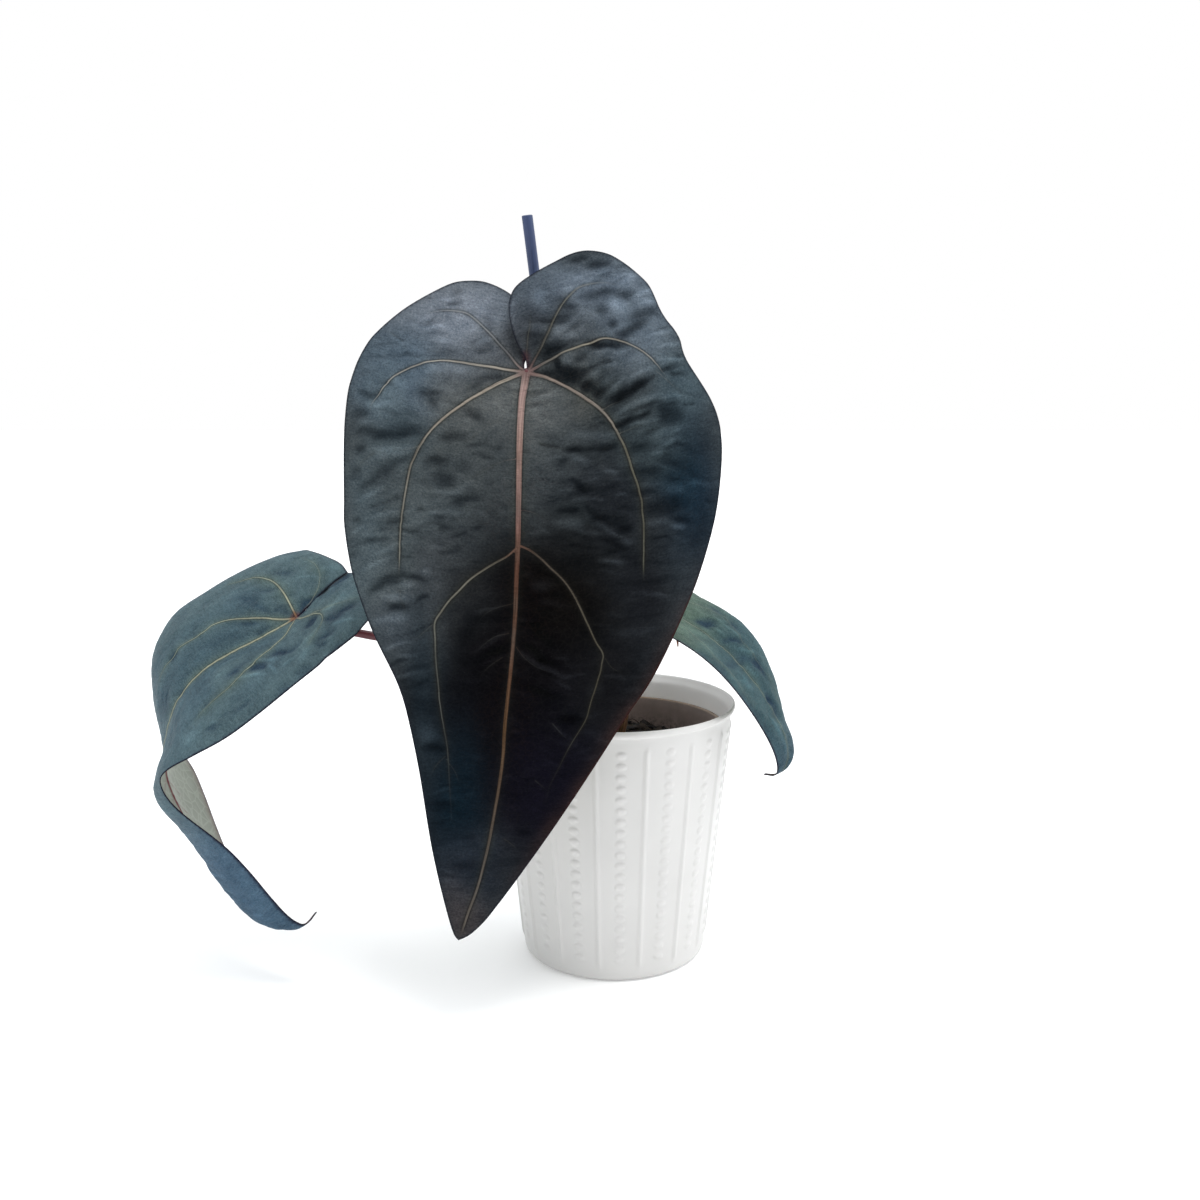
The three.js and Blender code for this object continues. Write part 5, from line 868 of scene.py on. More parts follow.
def build_leaf(name, outline, veins, fmap, flip, pitch, thick, colour, mats, relief, spacing, reach, seed, puckers=(), gap=0.9, wrinkles=0.0):
    """A blade of real thickness: a triangulated plan with every vein in it,
    bent into space, quilted, its veins raised on both faces."""
    fine = pitch * 0.9
    out = outline_spline(outline, fine)
    for v in veins:
        v["pts"] = catmull(v["pts"], fine)
    lat = laterals(veins, out, spacing, reach, seed)
    pts, edges, lines = [out], [], []
    n = len(out)
    edges += [(i, (i + 1) % n) for i in range(n)]

    def add_line(P, joined):
        nonlocal n
        pts.append(P)
        if joined:
            edges.extend((n + i, n + i + 1) for i in range(len(P) - 1))
        n += len(P)

    def offset(P, d):
        t = np.gradient(P, axis=0)
        t /= np.linalg.norm(t, axis=1)[:, None]
        return P + np.stack([-t[:, 1], t[:, 0]], 1) * np.asarray(d).reshape(-1, 1)

    width = lambda v: v["w0"] + (v["w1"] - v["w0"]) * np.linspace(0, 1, len(v["pts"])) ** v.get("taper", 0.5)
    for v in veins:
        v["w"] = width(v)
        add_line(v["pts"], True)
    # side lines of each vein, kept off the outline and off the other veins
    side_pts = []
    for v in veins:
        for sgn in (1, -1):
            for k in (0.5, 0.5 + 0.8 / np.maximum(v["w"], 0.8)):
                side_pts.append(offset(v["pts"], sgn * v["w"] * k))
    side_pts = np.vstack(side_pts)
    core = np.vstack([v["pts"] for v in veins])
    e, _, _ = poly_dist(side_pts, out, True)
    side_pts = side_pts[inside(out, side_pts) & (e > 0.5)]
    keep, cell = [], {}
    for p in np.vstack([core, side_pts]):
        key = (int(p[0] // 0.45), int(p[1] // 0.45))
        if key in cell:
            keep.append(False)
            continue
        cell[key] = True
        keep.append(True)
    keep = np.array(keep)[len(core) :]
    side_pts = side_pts[keep]
    add_line(side_pts, False)
    for L in lat:
        P = catmull(L, pitch)[1:]
        add_line(P, True)
    fixed = np.vstack(pts)
    # hexagonal filling, jittered a little
    x0, y0 = out.min(0)
    x1, y1 = out.max(0)
    rows, h = [], pitch * 0.866
    for k, y in enumerate(np.arange(y0 + h / 2, y1, h)):
        xs = np.arange(x0 + (pitch / 2 if k % 2 else 0), x1, pitch)
        rows.append(np.stack([xs, np.full(len(xs), y)], 1))
    hexp = np.vstack(rows) + RNG.normal(0, pitch * 0.06, (sum(len(r) for r in rows), 2))
    hexp = hexp[inside(out, hexp)]
    # drop fillers that sit too near a fixed point
    cells = {}
    c = pitch * 0.62
    for p in fixed:
        cells.setdefault((int(p[0] // c), int(p[1] // c)), []).append(p)
    good = []
    for p in hexp:
        i, j = int(p[0] // c), int(p[1] // c)
        ok = True
        for a in (-1, 0, 1):
            for b in (-1, 0, 1):
                for q in cells.get((i + a, j + b), ()):
                    if (q[0] - p[0]) ** 2 + (q[1] - p[1]) ** 2 < c * c:
                        ok = False
                        break
                if not ok:
                    break
            if not ok:
                break
        good.append(ok)
    hexp = hexp[np.array(good)]
    P = np.vstack([fixed, hexp])
    r = delaunay_2d_cdt([Vector(p) for p in P], edges, [], 0, 1e-4, False)
    Q = np.array([v[:] for v in r[0]])
    tri = np.array(r[2])
    cen = Q[tri].mean(1)
    tri = tri[inside(out, cen)]
    a, b, c2 = Q[tri[:, 0]], Q[tri[:, 1]], Q[tri[:, 2]]
    ar = (b[:, 0] - a[:, 0]) * (c2[:, 1] - a[:, 1]) - (b[:, 1] - a[:, 1]) * (c2[:, 0] - a[:, 0])
    tri = tri[np.abs(ar) > 1e-5]
    ar = ar[np.abs(ar) > 1e-5]
    tri[ar < 0] = tri[ar < 0][:, ::-1]
    used = np.unique(tri)
    remap = np.full(len(Q), -1)
    remap[used] = np.arange(len(used))
    Q, tri = Q[used], remap[tri]
    if flip:
        tri = tri[:, ::-1]
    # distances
    edge_d, _, _ = poly_dist(Q, out, True)
    vd = np.full(len(Q), 1e9)          # distance to the nearest vein's flank
    vc = np.full(len(Q), 1e9)          # distance to its middle, over its half width
    vmask, vridge = np.zeros(len(Q)), np.zeros(len(Q))
    vrgb, urgb, wsum = np.zeros((len(Q), 3)), np.zeros((len(Q), 3)), np.zeros(len(Q))
    halo = np.zeros(len(Q))
    near_v, vq, vs = np.full(len(Q), 1e9), np.zeros((len(Q), 3)), np.zeros((len(Q), 3))
    vq[:, 0], vq[:, 1] = 50.0, 0.5
    for iv, v in enumerate(veins):
        d, s, side = poly_dist(Q, v["pts"], False)
        L = np.linalg.norm(np.diff(v["pts"], axis=0), axis=1).sum()
        t = np.clip(s / L, 0, 1)
        w = np.interp(t, np.linspace(0, 1, len(v["w"])), v["w"])
        strength = v["k"] * (1 - sstep(t, v["fade"], 1.0) * 0.92)
        m = (1 - sstep(d, w * 0.5 - 0.15, w * 0.5 + 0.3)) * strength
        c, u = v["rgb"](t, s), v["under"](t, s)
        k = np.exp(-((d / 4.0) ** 2)) * (0.3 + v["k"]) + 1e-9
        vrgb += c * k[:, None]
        urgb += u * k[:, None]
        wsum += k
        vmask = np.maximum(vmask, m)
        own = d - w * 0.5 - 0.8 * v["k"] < near_v
        near_v[own] = (d - w * 0.5 - 0.8 * v["k"])[own]
        vq[own] = np.c_[np.minimum(d, 50), w * 0.5, strength][own]
        vs[own] = np.c_[np.minimum(d, 50) * np.where(side < 0, -1, 1), s + 100.0 * iv, np.zeros(len(Q))][own]
        vridge = np.maximum(vridge, np.cos(np.clip(d / (w * 0.62), 0, 1) * math.pi / 2) * v["h"] * (1 - 0.75 * t))
        vd = np.minimum(vd, np.maximum(d - w * 0.5, 0) + 6 * sstep(t, 0.93, 1.0))
        halo = np.maximum(halo, np.exp(-((np.maximum(d - w * 0.5, 0) / (0.9 + 0.5 * w)) ** 1.3)) * strength)
    vrgb /= wsum[:, None]
    urgb /= wsum[:, None]
    ld = np.full(len(Q), 1e9)
    for L in lat:
        d, s, _ = poly_dist(Q, L, False)
        ld = np.minimum(ld, d + 1.2 * sstep(s, 0.6 * s.max(), s.max()))
    X, Y = Q[:, 0], Q[:, 1]
    # quilting
    body = sstep(edge_d, 0, 12)
    puff = relief * (1 - np.exp(-((vd / 8.0) ** 2))) * (0.8 + 0.45 * noise2(X / 26, Y / 26, seed))
    valley = -0.42 * relief * np.exp(-((ld / 2.6) ** 2)) * sstep(vd, 0, 5)
    # dim shapes the relief; tone becomes painted shade in the hollows and painted highlight on the ridges
    dim, tone = np.zeros(len(Q)), np.zeros(len(Q))
    wx, wy = 0.9 * noise2(X / 7, Y / 7, 71), 0.9 * noise2(X / 7, Y / 7, 72)
    for (px, py, la, lb, ang, dep) in puckers:
        ca, sa = math.cos(math.radians(ang)), math.sin(math.radians(ang))
        near = np.abs(X - px) + np.abs(Y - py) < 4.5 * (la + lb) + 4
        dx, dy = X[near] + wx[near] - px, Y[near] + wy[near] - py
        u, w = (dx * ca + dy * sa) / la, (-dx * sa + dy * ca) / lb
        rr = u * u * u * u * 0.35 + u * u * 0.45 + w * w
        g = np.exp(-rr * 0.95)
        size = min(1.0, 0.28 + lb / 4.0)
        dim[near] += dep * size * (g - 0.22 * np.exp(-((np.sqrt(rr) - 1.9) ** 2) * 2.2))
        tone[near] += dep * g
    # fine wrinkles, laid along the run of the hollows
    if len(puckers):
        pk = np.array(puckers, float)
        rng = np.random.default_rng(seed + 50)
        lo, hi = Q.min(0), Q.max(0)
        ww = rng.uniform(lo, hi, (int(wrinkles * (hi - lo).prod() / 100.0), 2))
        ww = ww[inside(out, ww)]
        for p in ww:
            g = np.exp(-((pk[:, 0] - p[0]) ** 2 + (pk[:, 1] - p[1]) ** 2) / (2 * 16.0**2)) + 1e-12
            a2 = np.radians(pk[:, 4]) * 2
            ang = 0.5 * math.atan2(float((g * np.sin(a2)).sum()), float((g * np.cos(a2)).sum())) + rng.normal(0, 0.22)
            la, lb = rng.uniform(2.0, 6.5), rng.uniform(0.6, 1.3)
            dep = rng.choice((-1, 1)) * rng.uniform(0.15, 1.0) * (0.25 + 0.75 * float(sstep(noise2(p[0] / 17, p[1] / 17, seed + 61), -0.35, 0.45)))
            near = np.abs(X - p[0]) + np.abs(Y - p[1]) < 3.2 * la
            dx, dy = X[near] + wx[near] - p[0], Y[near] + wy[near] - p[1]
            ca, sa = math.cos(ang), math.sin(ang)
            u, w = (dx * ca + dy * sa) / la, (-dx * sa + dy * ca) / lb
            g = np.exp(-(u * u + w * w)) * dep
            dim[near] += g * 0.20
            tone[near] += g * 0.42
    waves = 0.42 * relief * fbm(X / 13 + 0.4 * noise2(X / 30, Y / 30, 5), Y / 9, seed + 3, 3)
    tiny = 0.07 * fbm(X / 2.6, Y / 2.6, seed + 9, 2)
    disp = (puff + valley + waves) * body - dim * relief * 1.25 * sstep(edge_d, 0, 6) + tiny * sstep(edge_d, 0, 3)
    disp *= sstep(np.hypot(X, Y), 0, 14)
    # bend into space
    W = fmap(Q)
    fn = np.cross(W[tri[:, 1]] - W[tri[:, 0]], W[tri[:, 2]] - W[tri[:, 0]])
    N = np.zeros_like(W)
    for k in range(3):
        np.add.at(N, tri[:, k], fn)
    N /= np.maximum(np.linalg.norm(N, axis=1), 1e-9)[:, None]
    W = W + N * disp[:, None]
    th = thick * (0.55 + 0.45 * sstep(edge_d, 0, 4))
    top = W + N * (th / 2 + vridge * 0.55)[:, None]
    bot = W - N * (th / 2 + vridge * 1.25 + 0.12 * np.exp(-((ld / 0.9) ** 2)))[:, None]
    k = len(Q)
    # rim
    ek = {}
    for t in tri:
        for q in range(3):
            ek[(int(t[q]), int(t[(q + 1) % 3]))] = True
    rim = [(x, y) for (x, y) in ek if (y, x) not in ek]
    F = np.vstack([tri, tri[:, ::-1] + k])
    faces = F.tolist() + [(y, x, x + k, y + k) for x, y in rim]
    fm = [0] * len(tri) + [1] * len(tri) + [0] * len(rim)
    V = np.vstack([top, bot])
    lam, edge_rgb, flush = colour(Q, edge_d, vd, halo, tone, ld, disp)
    edge = np.clip(1 - edge_d / gap, 0, 1) ** 0.8
    flat = np.c_[X, Y, np.zeros(k)]
    two = lambda a: np.concatenate([a, a])
    ob = make_mesh(name, V, faces, mats, fm, attrs=dict(
        flat=np.vstack([flat, flat + [0, 0, 40]]), vein_q=np.vstack([vq, vq]), vein_s=np.vstack([vs, vs]), lamina_rgb=two(lam), vein_rgb=two(vrgb), under_rgb=two(urgb), edge_rgb=two(edge_rgb),
        vein=np.concatenate([vmask, np.clip(vmask * 1.1 + 0.35 * np.exp(-((ld / 0.8) ** 2)), 0, 1)]), edge=two(edge), flush=two(flush)))
    print("LEAF", name, len(V), len(faces), [round(x, 1) for x in (V.min(0).tolist() + V.max(0).tolist())])
    return ob


def lerp3(a, b, t):
    t = np.asarray(t, float)[:, None]
    return np.asarray(a, float) * (1 - t) + np.asarray(b, float) * t


# vein colours run from the joint outwards
PINK, RUST, TAN, OLIVE = (0.42, 0.24, 0.20), (0.27, 0.085, 0.055), (0.28, 0.215, 0.13), (0.17, 0.155, 0.085)
MAROON = (0.13, 0.02, 0.03)


def stations(rows, by_length=False):
    """Colour that runs through the given stations along a vein."""
    k = np.array([r[0] for r in rows], float)
    c = np.array([r[1:] for r in rows], float)
    return lambda t, s: np.stack([np.interp(s if by_length else t, k, c[:, i]) for i in range(3)], 1)


mid_rgb = stations([(0, 0.26, 0.17, 0.18), (5, 0.33, 0.235, 0.22), (25, 0.35, 0.25, 0.225), (40, 0.305, 0.20, 0.172), (56, 0.24, 0.158, 0.14), (70, 0.20, 0.122, 0.108), (80, 0.185, 0.102, 0.085),
                    (92, 0.105, 0.050, 0.035), (110, 0.088, 0.047, 0.032), (140, 0.098, 0.052, 0.034), (172, 0.096, 0.056, 0.030), (200, 0.088, 0.060, 0.042), (231, 0.095, 0.080, 0.066), (251, 0.10, 0.09, 0.078), (275, 0.11, 0.098, 0.085)], True)


def side_rgb(a, b, knot=(0.22, 0.07, 0.06), reach=9.0):
    def f(t, s):
        c = lerp3(a, b, sstep(t, 0.15, 0.9))
        k = (1 - sstep(s, 2.0, reach))[:, None]
        return c * (1 - k) + np.array(knot) * k
    return f


def under_side(a=(0.20, 0.05, 0.05), b=(0.26, 0.25, 0.16)):
    return lambda t, s: lerp3(a, b, sstep(t, 0.1, 0.7))


WID = dict(mid=(4.1, 0.9), lb1=(1.7, 0.6), rb1=(1.7, 0.6), l2=(1.35, 0.5), r2=(1.2, 0.5), l3=(1.0, 0.45), r3=(1.0, 0.5), r4=(0.7, 0.4), r5=(0.6, 0.35), l4=(1.05, 0.5), r6=(1.05, 0.5))
KS = dict(mid=1.0, lb1=1.0, rb1=1.0, l2=1.0, r2=0.95, l3=0.85, r3=0.9, r4=0.5, r5=0.5, l4=0.95, r6=1.0)
FADE = dict(mid=0.97, lb1=0.92, rb1=0.93, l2=0.85, r2=0.85, l3=0.74, r3=0.62, r4=0.6, r5=0.6, l4=0.6, r6=0.55)
COL = dict(
    lb1=[(0, 0.25, 0.19, 0.17), (0.05, 0.31, 0.28, 0.235), (0.3, 0.28, 0.25, 0.21), (0.55, 0.19, 0.18, 0.155), (1, 0.15, 0.155, 0.135)],
    rb1=[(0, 0.22, 0.15, 0.14), (0.05, 0.22, 0.18, 0.155), (0.32, 0.24, 0.215, 0.19), (0.5, 0.105, 0.103, 0.08), (1, 0.06, 0.062, 0.05)],
    l2=[(0, 0.2, 0.14, 0.13), (0.06, 0.26, 0.235, 0.2), (0.25, 0.31, 0.295, 0.26), (1, 0.27, 0.275, 0.26)],
    r2=[(0, 0.15, 0.1, 0.09), (0.1, 0.14, 0.135, 0.125), (0.4, 0.24, 0.225, 0.18), (1, 0.26, 0.26, 0.25)],
    l3=[(0, 0.15, 0.11, 0.11), (0.2, 0.115, 0.12, 0.13), (0.5, 0.22, 0.235, 0.24), (1, 0.27, 0.29, 0.3)],
    r3=[(0, 0.12, 0.07, 0.07), (0.15, 0.07, 0.068, 0.06), (0.45, 0.1, 0.1, 0.085), (0.8, 0.21, 0.22, 0.205), (1, 0.22, 0.23, 0.22)],
    r4=[(0, 0.06, 0.04, 0.035), (1, 0.09, 0.1, 0.085)],
    r5=[(0, 0.08, 0.05, 0.045), (1, 0.11, 0.11, 0.09)],
    l4=[(0, 0.11, 0.07, 0.05), (0.06, 0.09, 0.083, 0.066), (0.2, 0.15, 0.145, 0.12), (0.34, 0.18, 0.182, 0.155), (0.45, 0.075, 0.08, 0.072), (1, 0.045, 0.047, 0.048)],
    r6=[(0, 0.10, 0.06, 0.045), (0.06, 0.073, 0.06, 0.048), (0.35, 0.078, 0.072, 0.055), (0.5, 0.06, 0.056, 0.042), (1, 0.03, 0.03, 0.026)])

front_veins = []
for nm, k, P in FRONT_VEINS:
    w0, w1 = WID[nm]
    front_veins.append(dict(name=nm, pts=front_flat(P), w0=w0, w1=w1, k=KS[nm], fade=FADE[nm], h=0.8 if nm == "mid" else 0.4 * KS[nm] + 0.05,
                            taper=0.38 if nm == "mid" else 0.5, rgb=mid_rgb if nm == "mid" else stations(COL[nm]), under=under_side()))
for i, P in enumerate(FRONT_SECOND):
    front_veins.append(dict(name="s%d" % i, pts=np.array(P, float), w0=0.5, w1=0.3, k=0.2, fade=0.45, h=0.12, rgb=stations([(0, 0.075, 0.078, 0.07), (1, 0.06, 0.065, 0.065)]), under=under_side()))


# painted sheen and shade over the dark velvet: grey-blue painted sheen on the upturned lobes,
# painted shade making the middle almost black and the tip blue-black; centre x, z, radii, colour, strength
FRONT_SHEEN_SHADE_ZONES = [
    (-44, 160, 94, 94, (0.0048, 0.0052, 0.008), 1),
    (-80, 366, 36, 17, (0.205, 0.232, 0.272), 1),
    (-68, 346, 21, 10, (0.098, 0.112, 0.13), 0.85),
    (-112, 337, 21, 26, (0.086, 0.12, 0.155), 0.9),
    (-121, 325, 8, 15, (0.1, 0.137, 0.162), 0.75),
    (-10, 379, 39, 16, (0.122, 0.152, 0.19), 1),
    (-40, 358, 11, 21, (0.022, 0.026, 0.032), 0.9),
    (13, 360, 18, 21, (0.115, 0.145, 0.178), 0.9),
    (-19, 355, 13, 13, (0.062, 0.072, 0.082), 0.8),
    (-7, 322, 19, 22, (0.024, 0.031, 0.034), 0.9),
    (33, 327, 12, 22, (0.07, 0.1, 0.118), 0.9),
    (-57, 321, 35, 17, (0.104, 0.111, 0.111), 0.9),
    (-19, 325, 8, 14, (0.05, 0.053, 0.051), 0.75),
    (-52, 347, 10, 11, (0.062, 0.067, 0.076), 0.7),
    (-62, 290, 30, 20, (0.056, 0.064, 0.067), 0.85),
    (-88, 307, 11, 11, (0.08, 0.088, 0.086), 0.6),
    (-111, 306, 12, 14, (0.04, 0.06, 0.073), 0.8),
    (-107, 254, 30, 47, (0.068, 0.083, 0.089), 0.9),
    (-126, 257, 8, 40, (0.076, 0.1, 0.112), 0.8),
    (37, 276, 15, 39, (0.007, 0.016, 0.027), 0.95),
    (31, 288, 10, 18, (0.006, 0.019, 0.031), 0.7),
    (-1, 276, 21, 29, (0.0095, 0.0115, 0.015), 0.9),
    (-20, 266, 10, 7, (0.032, 0.04, 0.043), 0.6),
    (18, 302, 15, 15, (0.028, 0.04, 0.046), 0.8),
    (-33, 227, 42, 37, (0.002, 0.0013, 0.0009), 1),
    (-58, 181, 31, 54, (0.0026, 0.002, 0.0028), 1),
    (-74, 231, 13, 15, (0.013, 0.014, 0.0155), 0.8),
    (-80, 251, 14, 11, (0.04, 0.046, 0.05), 0.8),
    (-91, 232, 11, 24, (0.055, 0.062, 0.068), 0.85),
    (14, 227, 12, 26, (0.008, 0.009, 0.0115), 0.9),
    (-3, 181, 16, 22, (0.0055, 0.0055, 0.0066), 0.85),
    (-108, 213, 12, 15, (0.066, 0.08, 0.092), 0.9),
    (-94, 178, 9, 50, (0.017, 0.025, 0.032), 0.9),
    (-79, 123, 14, 40, (0.0036, 0.0115, 0.019), 0.9),
    (-36, 131, 22, 30, (0.0042, 0.0036, 0.0085), 0.85),
    (-73, 90, 18, 17, (0.02, 0.026, 0.036), 0.8),
    (-79, 69, 13, 15, (0.048, 0.047, 0.052), 0.85),
]


# painted shade in the deepest folds: centre x, z, half length, half width, turn, strength
FRONT_FOLD_SHADE = [
    (-23.0, 336.5, 6.5, 3.0, -42, 0.75),
    (-13.5, 329.0, 4.5, 1.8, 28, 0.7),
    (-0.5, 325.0, 7.0, 1.5, 42, 0.7),
    (7.0, 316.0, 7.0, 1.4, 38, 0.6),
    (-33.5, 349.0, 5.5, 2.4, 12, 0.65),
    (-14.5, 300.0, 7.5, 1.7, 4, 0.5),
    (-13.5, 280.5, 8.0, 2.2, -10, 0.5),
    (0.5, 265.5, 6.5, 2.2, -20, 0.5),
    (-87.5, 293.5, 5.0, 2.0, -10, 0.4),
]


def front_colour(Q, edge_d, vd, halo, dim, ld, disp):
    W = front_map(Q)
    x, z = W[:, 0], W[:, 2]
    c = np.tile(np.array((0.046, 0.055, 0.060)), (len(Q), 1))

    def toward(col, m):
        nonlocal c
        m = np.clip(m, 0, 1)[:, None]
        c = c * (1 - m) + np.array(col) * m

    blob = lambda cx, cz, rx, rz: np.exp(-((((x - cx) / rx) ** 2 + ((z - cz) / rz) ** 2) ** 1.3))
    wob = lambda k: 5.0 * noise2(x / 22, z / 22, k)
    x, z = x + wob(81), z + wob(82)
    for cx, cz, rx, rz, col, m in FRONT_SHEEN_SHADE_ZONES:
        toward(col, m * blob(cx, cz, rx * 1.1, rz * 1.1))
    x, z = W[:, 0], W[:, 2]
    toward((0.038, 0.021, 0.018), 0.56 * np.exp(-((edge_d / 4.2) ** 2)) * sstep(x + 70, 0, 40) * (1 - sstep(z, 205, 262)) * (0.75 + 0.4 * noise2(x / 9, z / 9, 83)))  # brown flush at the lower right
    toward((0.052, 0.043, 0.044), 0.6 * blob(-78, 60, 16, 16))
    # olive beside the veins
    toward((0.036, 0.037, 0.024), 0.34 * halo * np.clip(c.mean(1) / 0.02, 0.25, 1))
    # painted shade darkens the hollows, more on the upper blade
    upper = blob(-8, 330, 46, 40)
    c = c * (1 - (0.80 + 0.1 * upper) * np.clip(1 - np.exp(-np.clip(dim, 0, 3) * (1.3 + 0.9 * upper)), 0, 1))[:, None]
    # painted shade in the deepest folds, between the joint and the right edge
    for cx, cz, a, b, turn, m in FRONT_FOLD_SHADE:
        t = np.radians(turn)
        dx, dz = x - cx + 0.7 * noise2(x / 4, z / 4, 85), z - cz + 0.7 * noise2(x / 4, z / 4, 86)
        e = ((dx * np.cos(t) + dz * np.sin(t)) / a) ** 2 + ((dz * np.cos(t) - dx * np.sin(t)) / b) ** 2
        toward((0.0035, 0.0050, 0.0060), m * np.exp(-(e ** 1.2)))
    # maroon round the joint, where the lobes meet
    joint = np.hypot((x + 45.7) / 1.0, (z - 338.5) / 1.6)
    toward((0.050, 0.006, 0.014), 0.9 * np.exp(-((joint / 2.6) ** 2)))
    c = np.maximum(c, 0.0012)
    # a blue tint in the painted shade of the hollows
    blue = np.clip(1 - np.exp(-np.clip(dim, 0, 3) * 1.1), 0, 1)[:, None] * np.clip(c.mean(1) / 0.02, 0.2, 1)[:, None]
    c = c + blue * np.array((-0.0015, 0.0005, 0.0035))
    # painted highlight on the ridges, blue-grey
    hi = np.clip(-dim, 0, 1.6)
    c = c * (1 + 0.9 * hi)[:, None] + (0.011 * hi * np.clip(c.mean(1) / 0.012, 0.3, 1))[:, None] * np.array((0.85, 1.0, 1.1))
    c = np.clip(c, 0.002, 1)
    # deep maroon where the notch meets the joint
    r = np.hypot(Q[:, 0], Q[:, 1])
    ang = np.abs(np.degrees(np.arctan2(Q[:, 0], -Q[:, 1])))
    toward((0.085, 0.005, 0.018), 0.95 * (1 - sstep(r, 5, 12)) * sstep(ang, 140, 162))
    edge_rgb = np.tile(np.array((0.014, 0.016, 0.024)), (len(Q), 1))
    m = (sstep(x + 60, 0, 50) * (1 - sstep(z, 210, 260)))[:, None]
    edge_rgb = edge_rgb * (1 - m) + np.array((0.038, 0.014, 0.012)) * m
    flush = 0.75 * np.exp(-((edge_d / 9) ** 2)) * (1 - sstep(z, 180, 300)) + 0.5 * (1 - sstep(r, 4, 22))
    return c, edge_rgb, np.clip(flush, 0, 1)


MAT_FRONT_TOP = mat_blade_top("front_blade_velvet", 0.0, (0.75, 0.84, 1.0), 0.62, 0.02, 0.5)
MAT_FRONT_UNDER = mat_blade_under("front_blade_underside", (0.15, 0.175, 0.12), (0.20, 0.215, 0.15))
leaf = build_leaf("front_blade_detail", front_flat(FRONT_OUT), front_veins, front_map, False, 1.12, 0.95, front_colour, [MAT_FRONT_TOP, MAT_FRONT_UNDER],
                  1.0, 15.0, 36.0, 3, PUCKERS, wrinkles=3.0)
piece(leaf, "front_blade", "front_leaf_blade")

def side_colour(base, shade, low, tip, dark_from, dark_to, green=0.5, hollow=1.15):
    def f(Q, edge_d, vd, halo, dim, ld, disp):
        u = Q[:, 1]
        c = np.tile(np.array(base), (len(Q), 1))

        def toward(col, m):
            nonlocal c
            m = np.clip(m, 0, 1)[:, None]
            c = c * (1 - m) + np.array(col) * m

        toward(shade, 0.8 * sstep(edge_d, 0, 30) * sstep(noise2(Q[:, 0] / 30, u / 22, 8), -0.3, 0.8))
        toward(low[:3], 0.85 * sstep(u, low[3], low[4]))
        toward((0.078, 0.112, 0.098), green * np.exp(-((vd / 5.5) ** 2)) * (0.6 + 0.5 * noise2(Q[:, 0] / 11, u / 11, 18)))
        toward(tip, sstep(u, dark_from, dark_to))
        toward((0.115, 0.152, 0.118), 0.55 * halo)
        # painted shade in the recesses and hollows; painted highlight on the ridges and the raised parts
        toward((0.017, 0.038, 0.062), 0.45 * sstep(-disp, 0.15, 1.4) + 0.85 * np.clip(dim * hollow, 0, 1))
        c = c * (1 + 0.9 * np.clip(-dim, 0, 1))[:, None]
        c = c * (1 + 0.25 * sstep(disp, 0.2, 2.0))[:, None]
        r = np.hypot(Q[:, 0], Q[:, 1])
        toward((0.10, 0.03, 0.03), 0.8 * (1 - sstep(r, 2.0, 5.5)))
        edge_rgb = np.tile(np.array((0.012, 0.009, 0.024)), (len(Q), 1))
        flush = 0.6 * np.exp(-((edge_d / 3) ** 2)) + 0.4 * (1 - sstep(r, 4, 16))
        return c, edge_rgb, np.clip(flush, 0, 1)
    return f


def side_veins(sheet, rows, widths, fades, near=(0.32, 0.335, 0.25), far=(0.20, 0.25, 0.205)):
    out = []
    for nm, P in rows:
        w0, w1, k = widths[nm]
        out.append(dict(name=nm, pts=sheet.flat(P), w0=w0, w1=w1, k=k, fade=fades.get(nm, 0.6), h=0.65 if nm == "mid" else 0.35,
                        rgb=side_rgb(near, far, knot=(0.22, 0.12, 0.07), reach=5.0), under=(lambda t, s: lerp3((0.17, 0.02, 0.03), (0.13, 0.03, 0.035), t)) if nm == "mid" else under_side((0.2, 0.06, 0.06), (0.30, 0.32, 0.24))))
    return out


MAT_SIDE_TOP = mat_blade_top("side_blade_velvet", 0.0, (0.75, 0.85, 1.0), 0.55, 0.06, 0.35)
MAT_SIDE_UNDER = mat_blade_under("side_blade_underside", (0.23, 0.255, 0.215), (0.34, 0.365, 0.315))
left_sheet, right_sheet = Sheet(LEFT_U, LEFT_G), Sheet(RIGHT_U, RIGHT_G)


def side_outline(sheet, rows):
    dense = []
    for (a0, b0), (a1, b1) in zip(rows, rows[1:] + rows[:1]):
        k = max(1, int(math.ceil(abs(a1 - a0) / 4)))
        for q in range(k):
            dense.append((a0 + (a1 - a0) * q / k, b0 + (b1 - b0) * q / k))
    return sheet.flat(dense)


leaf = build_leaf("left_blade_detail", side_outline(left_sheet, LEFT_OUT),
                  side_veins(left_sheet, LEFT_VEINS, dict(mid=(2.1, 0.8, 1.0), f1=(1.5, 0.5, 0.95), n1=(1.3, 0.5, 0.9), f2=(1.4, 0.5, 0.95), f3=(1.0, 0.4, 0.25), n2=(1.1, 0.5, 0.75), n3=(0.8, 0.4, 0.4)), dict(mid=0.99, f1=0.8, f2=0.8, n1=0.82)),
                  left_sheet.map, False, 1.25, 0.85, side_colour((0.067, 0.109, 0.124), (0.047, 0.084, 0.107), (0.082, 0.134, 0.160, 50, 115), (0.060, 0.110, 0.165), 125, 180),
                  [MAT_SIDE_TOP, MAT_SIDE_UNDER], 0.75, 13.0, 26.0, 21, LEFT_MARKS, gap=1.15, wrinkles=1.8)
piece(leaf, "side_blade", "left_leaf_blade")
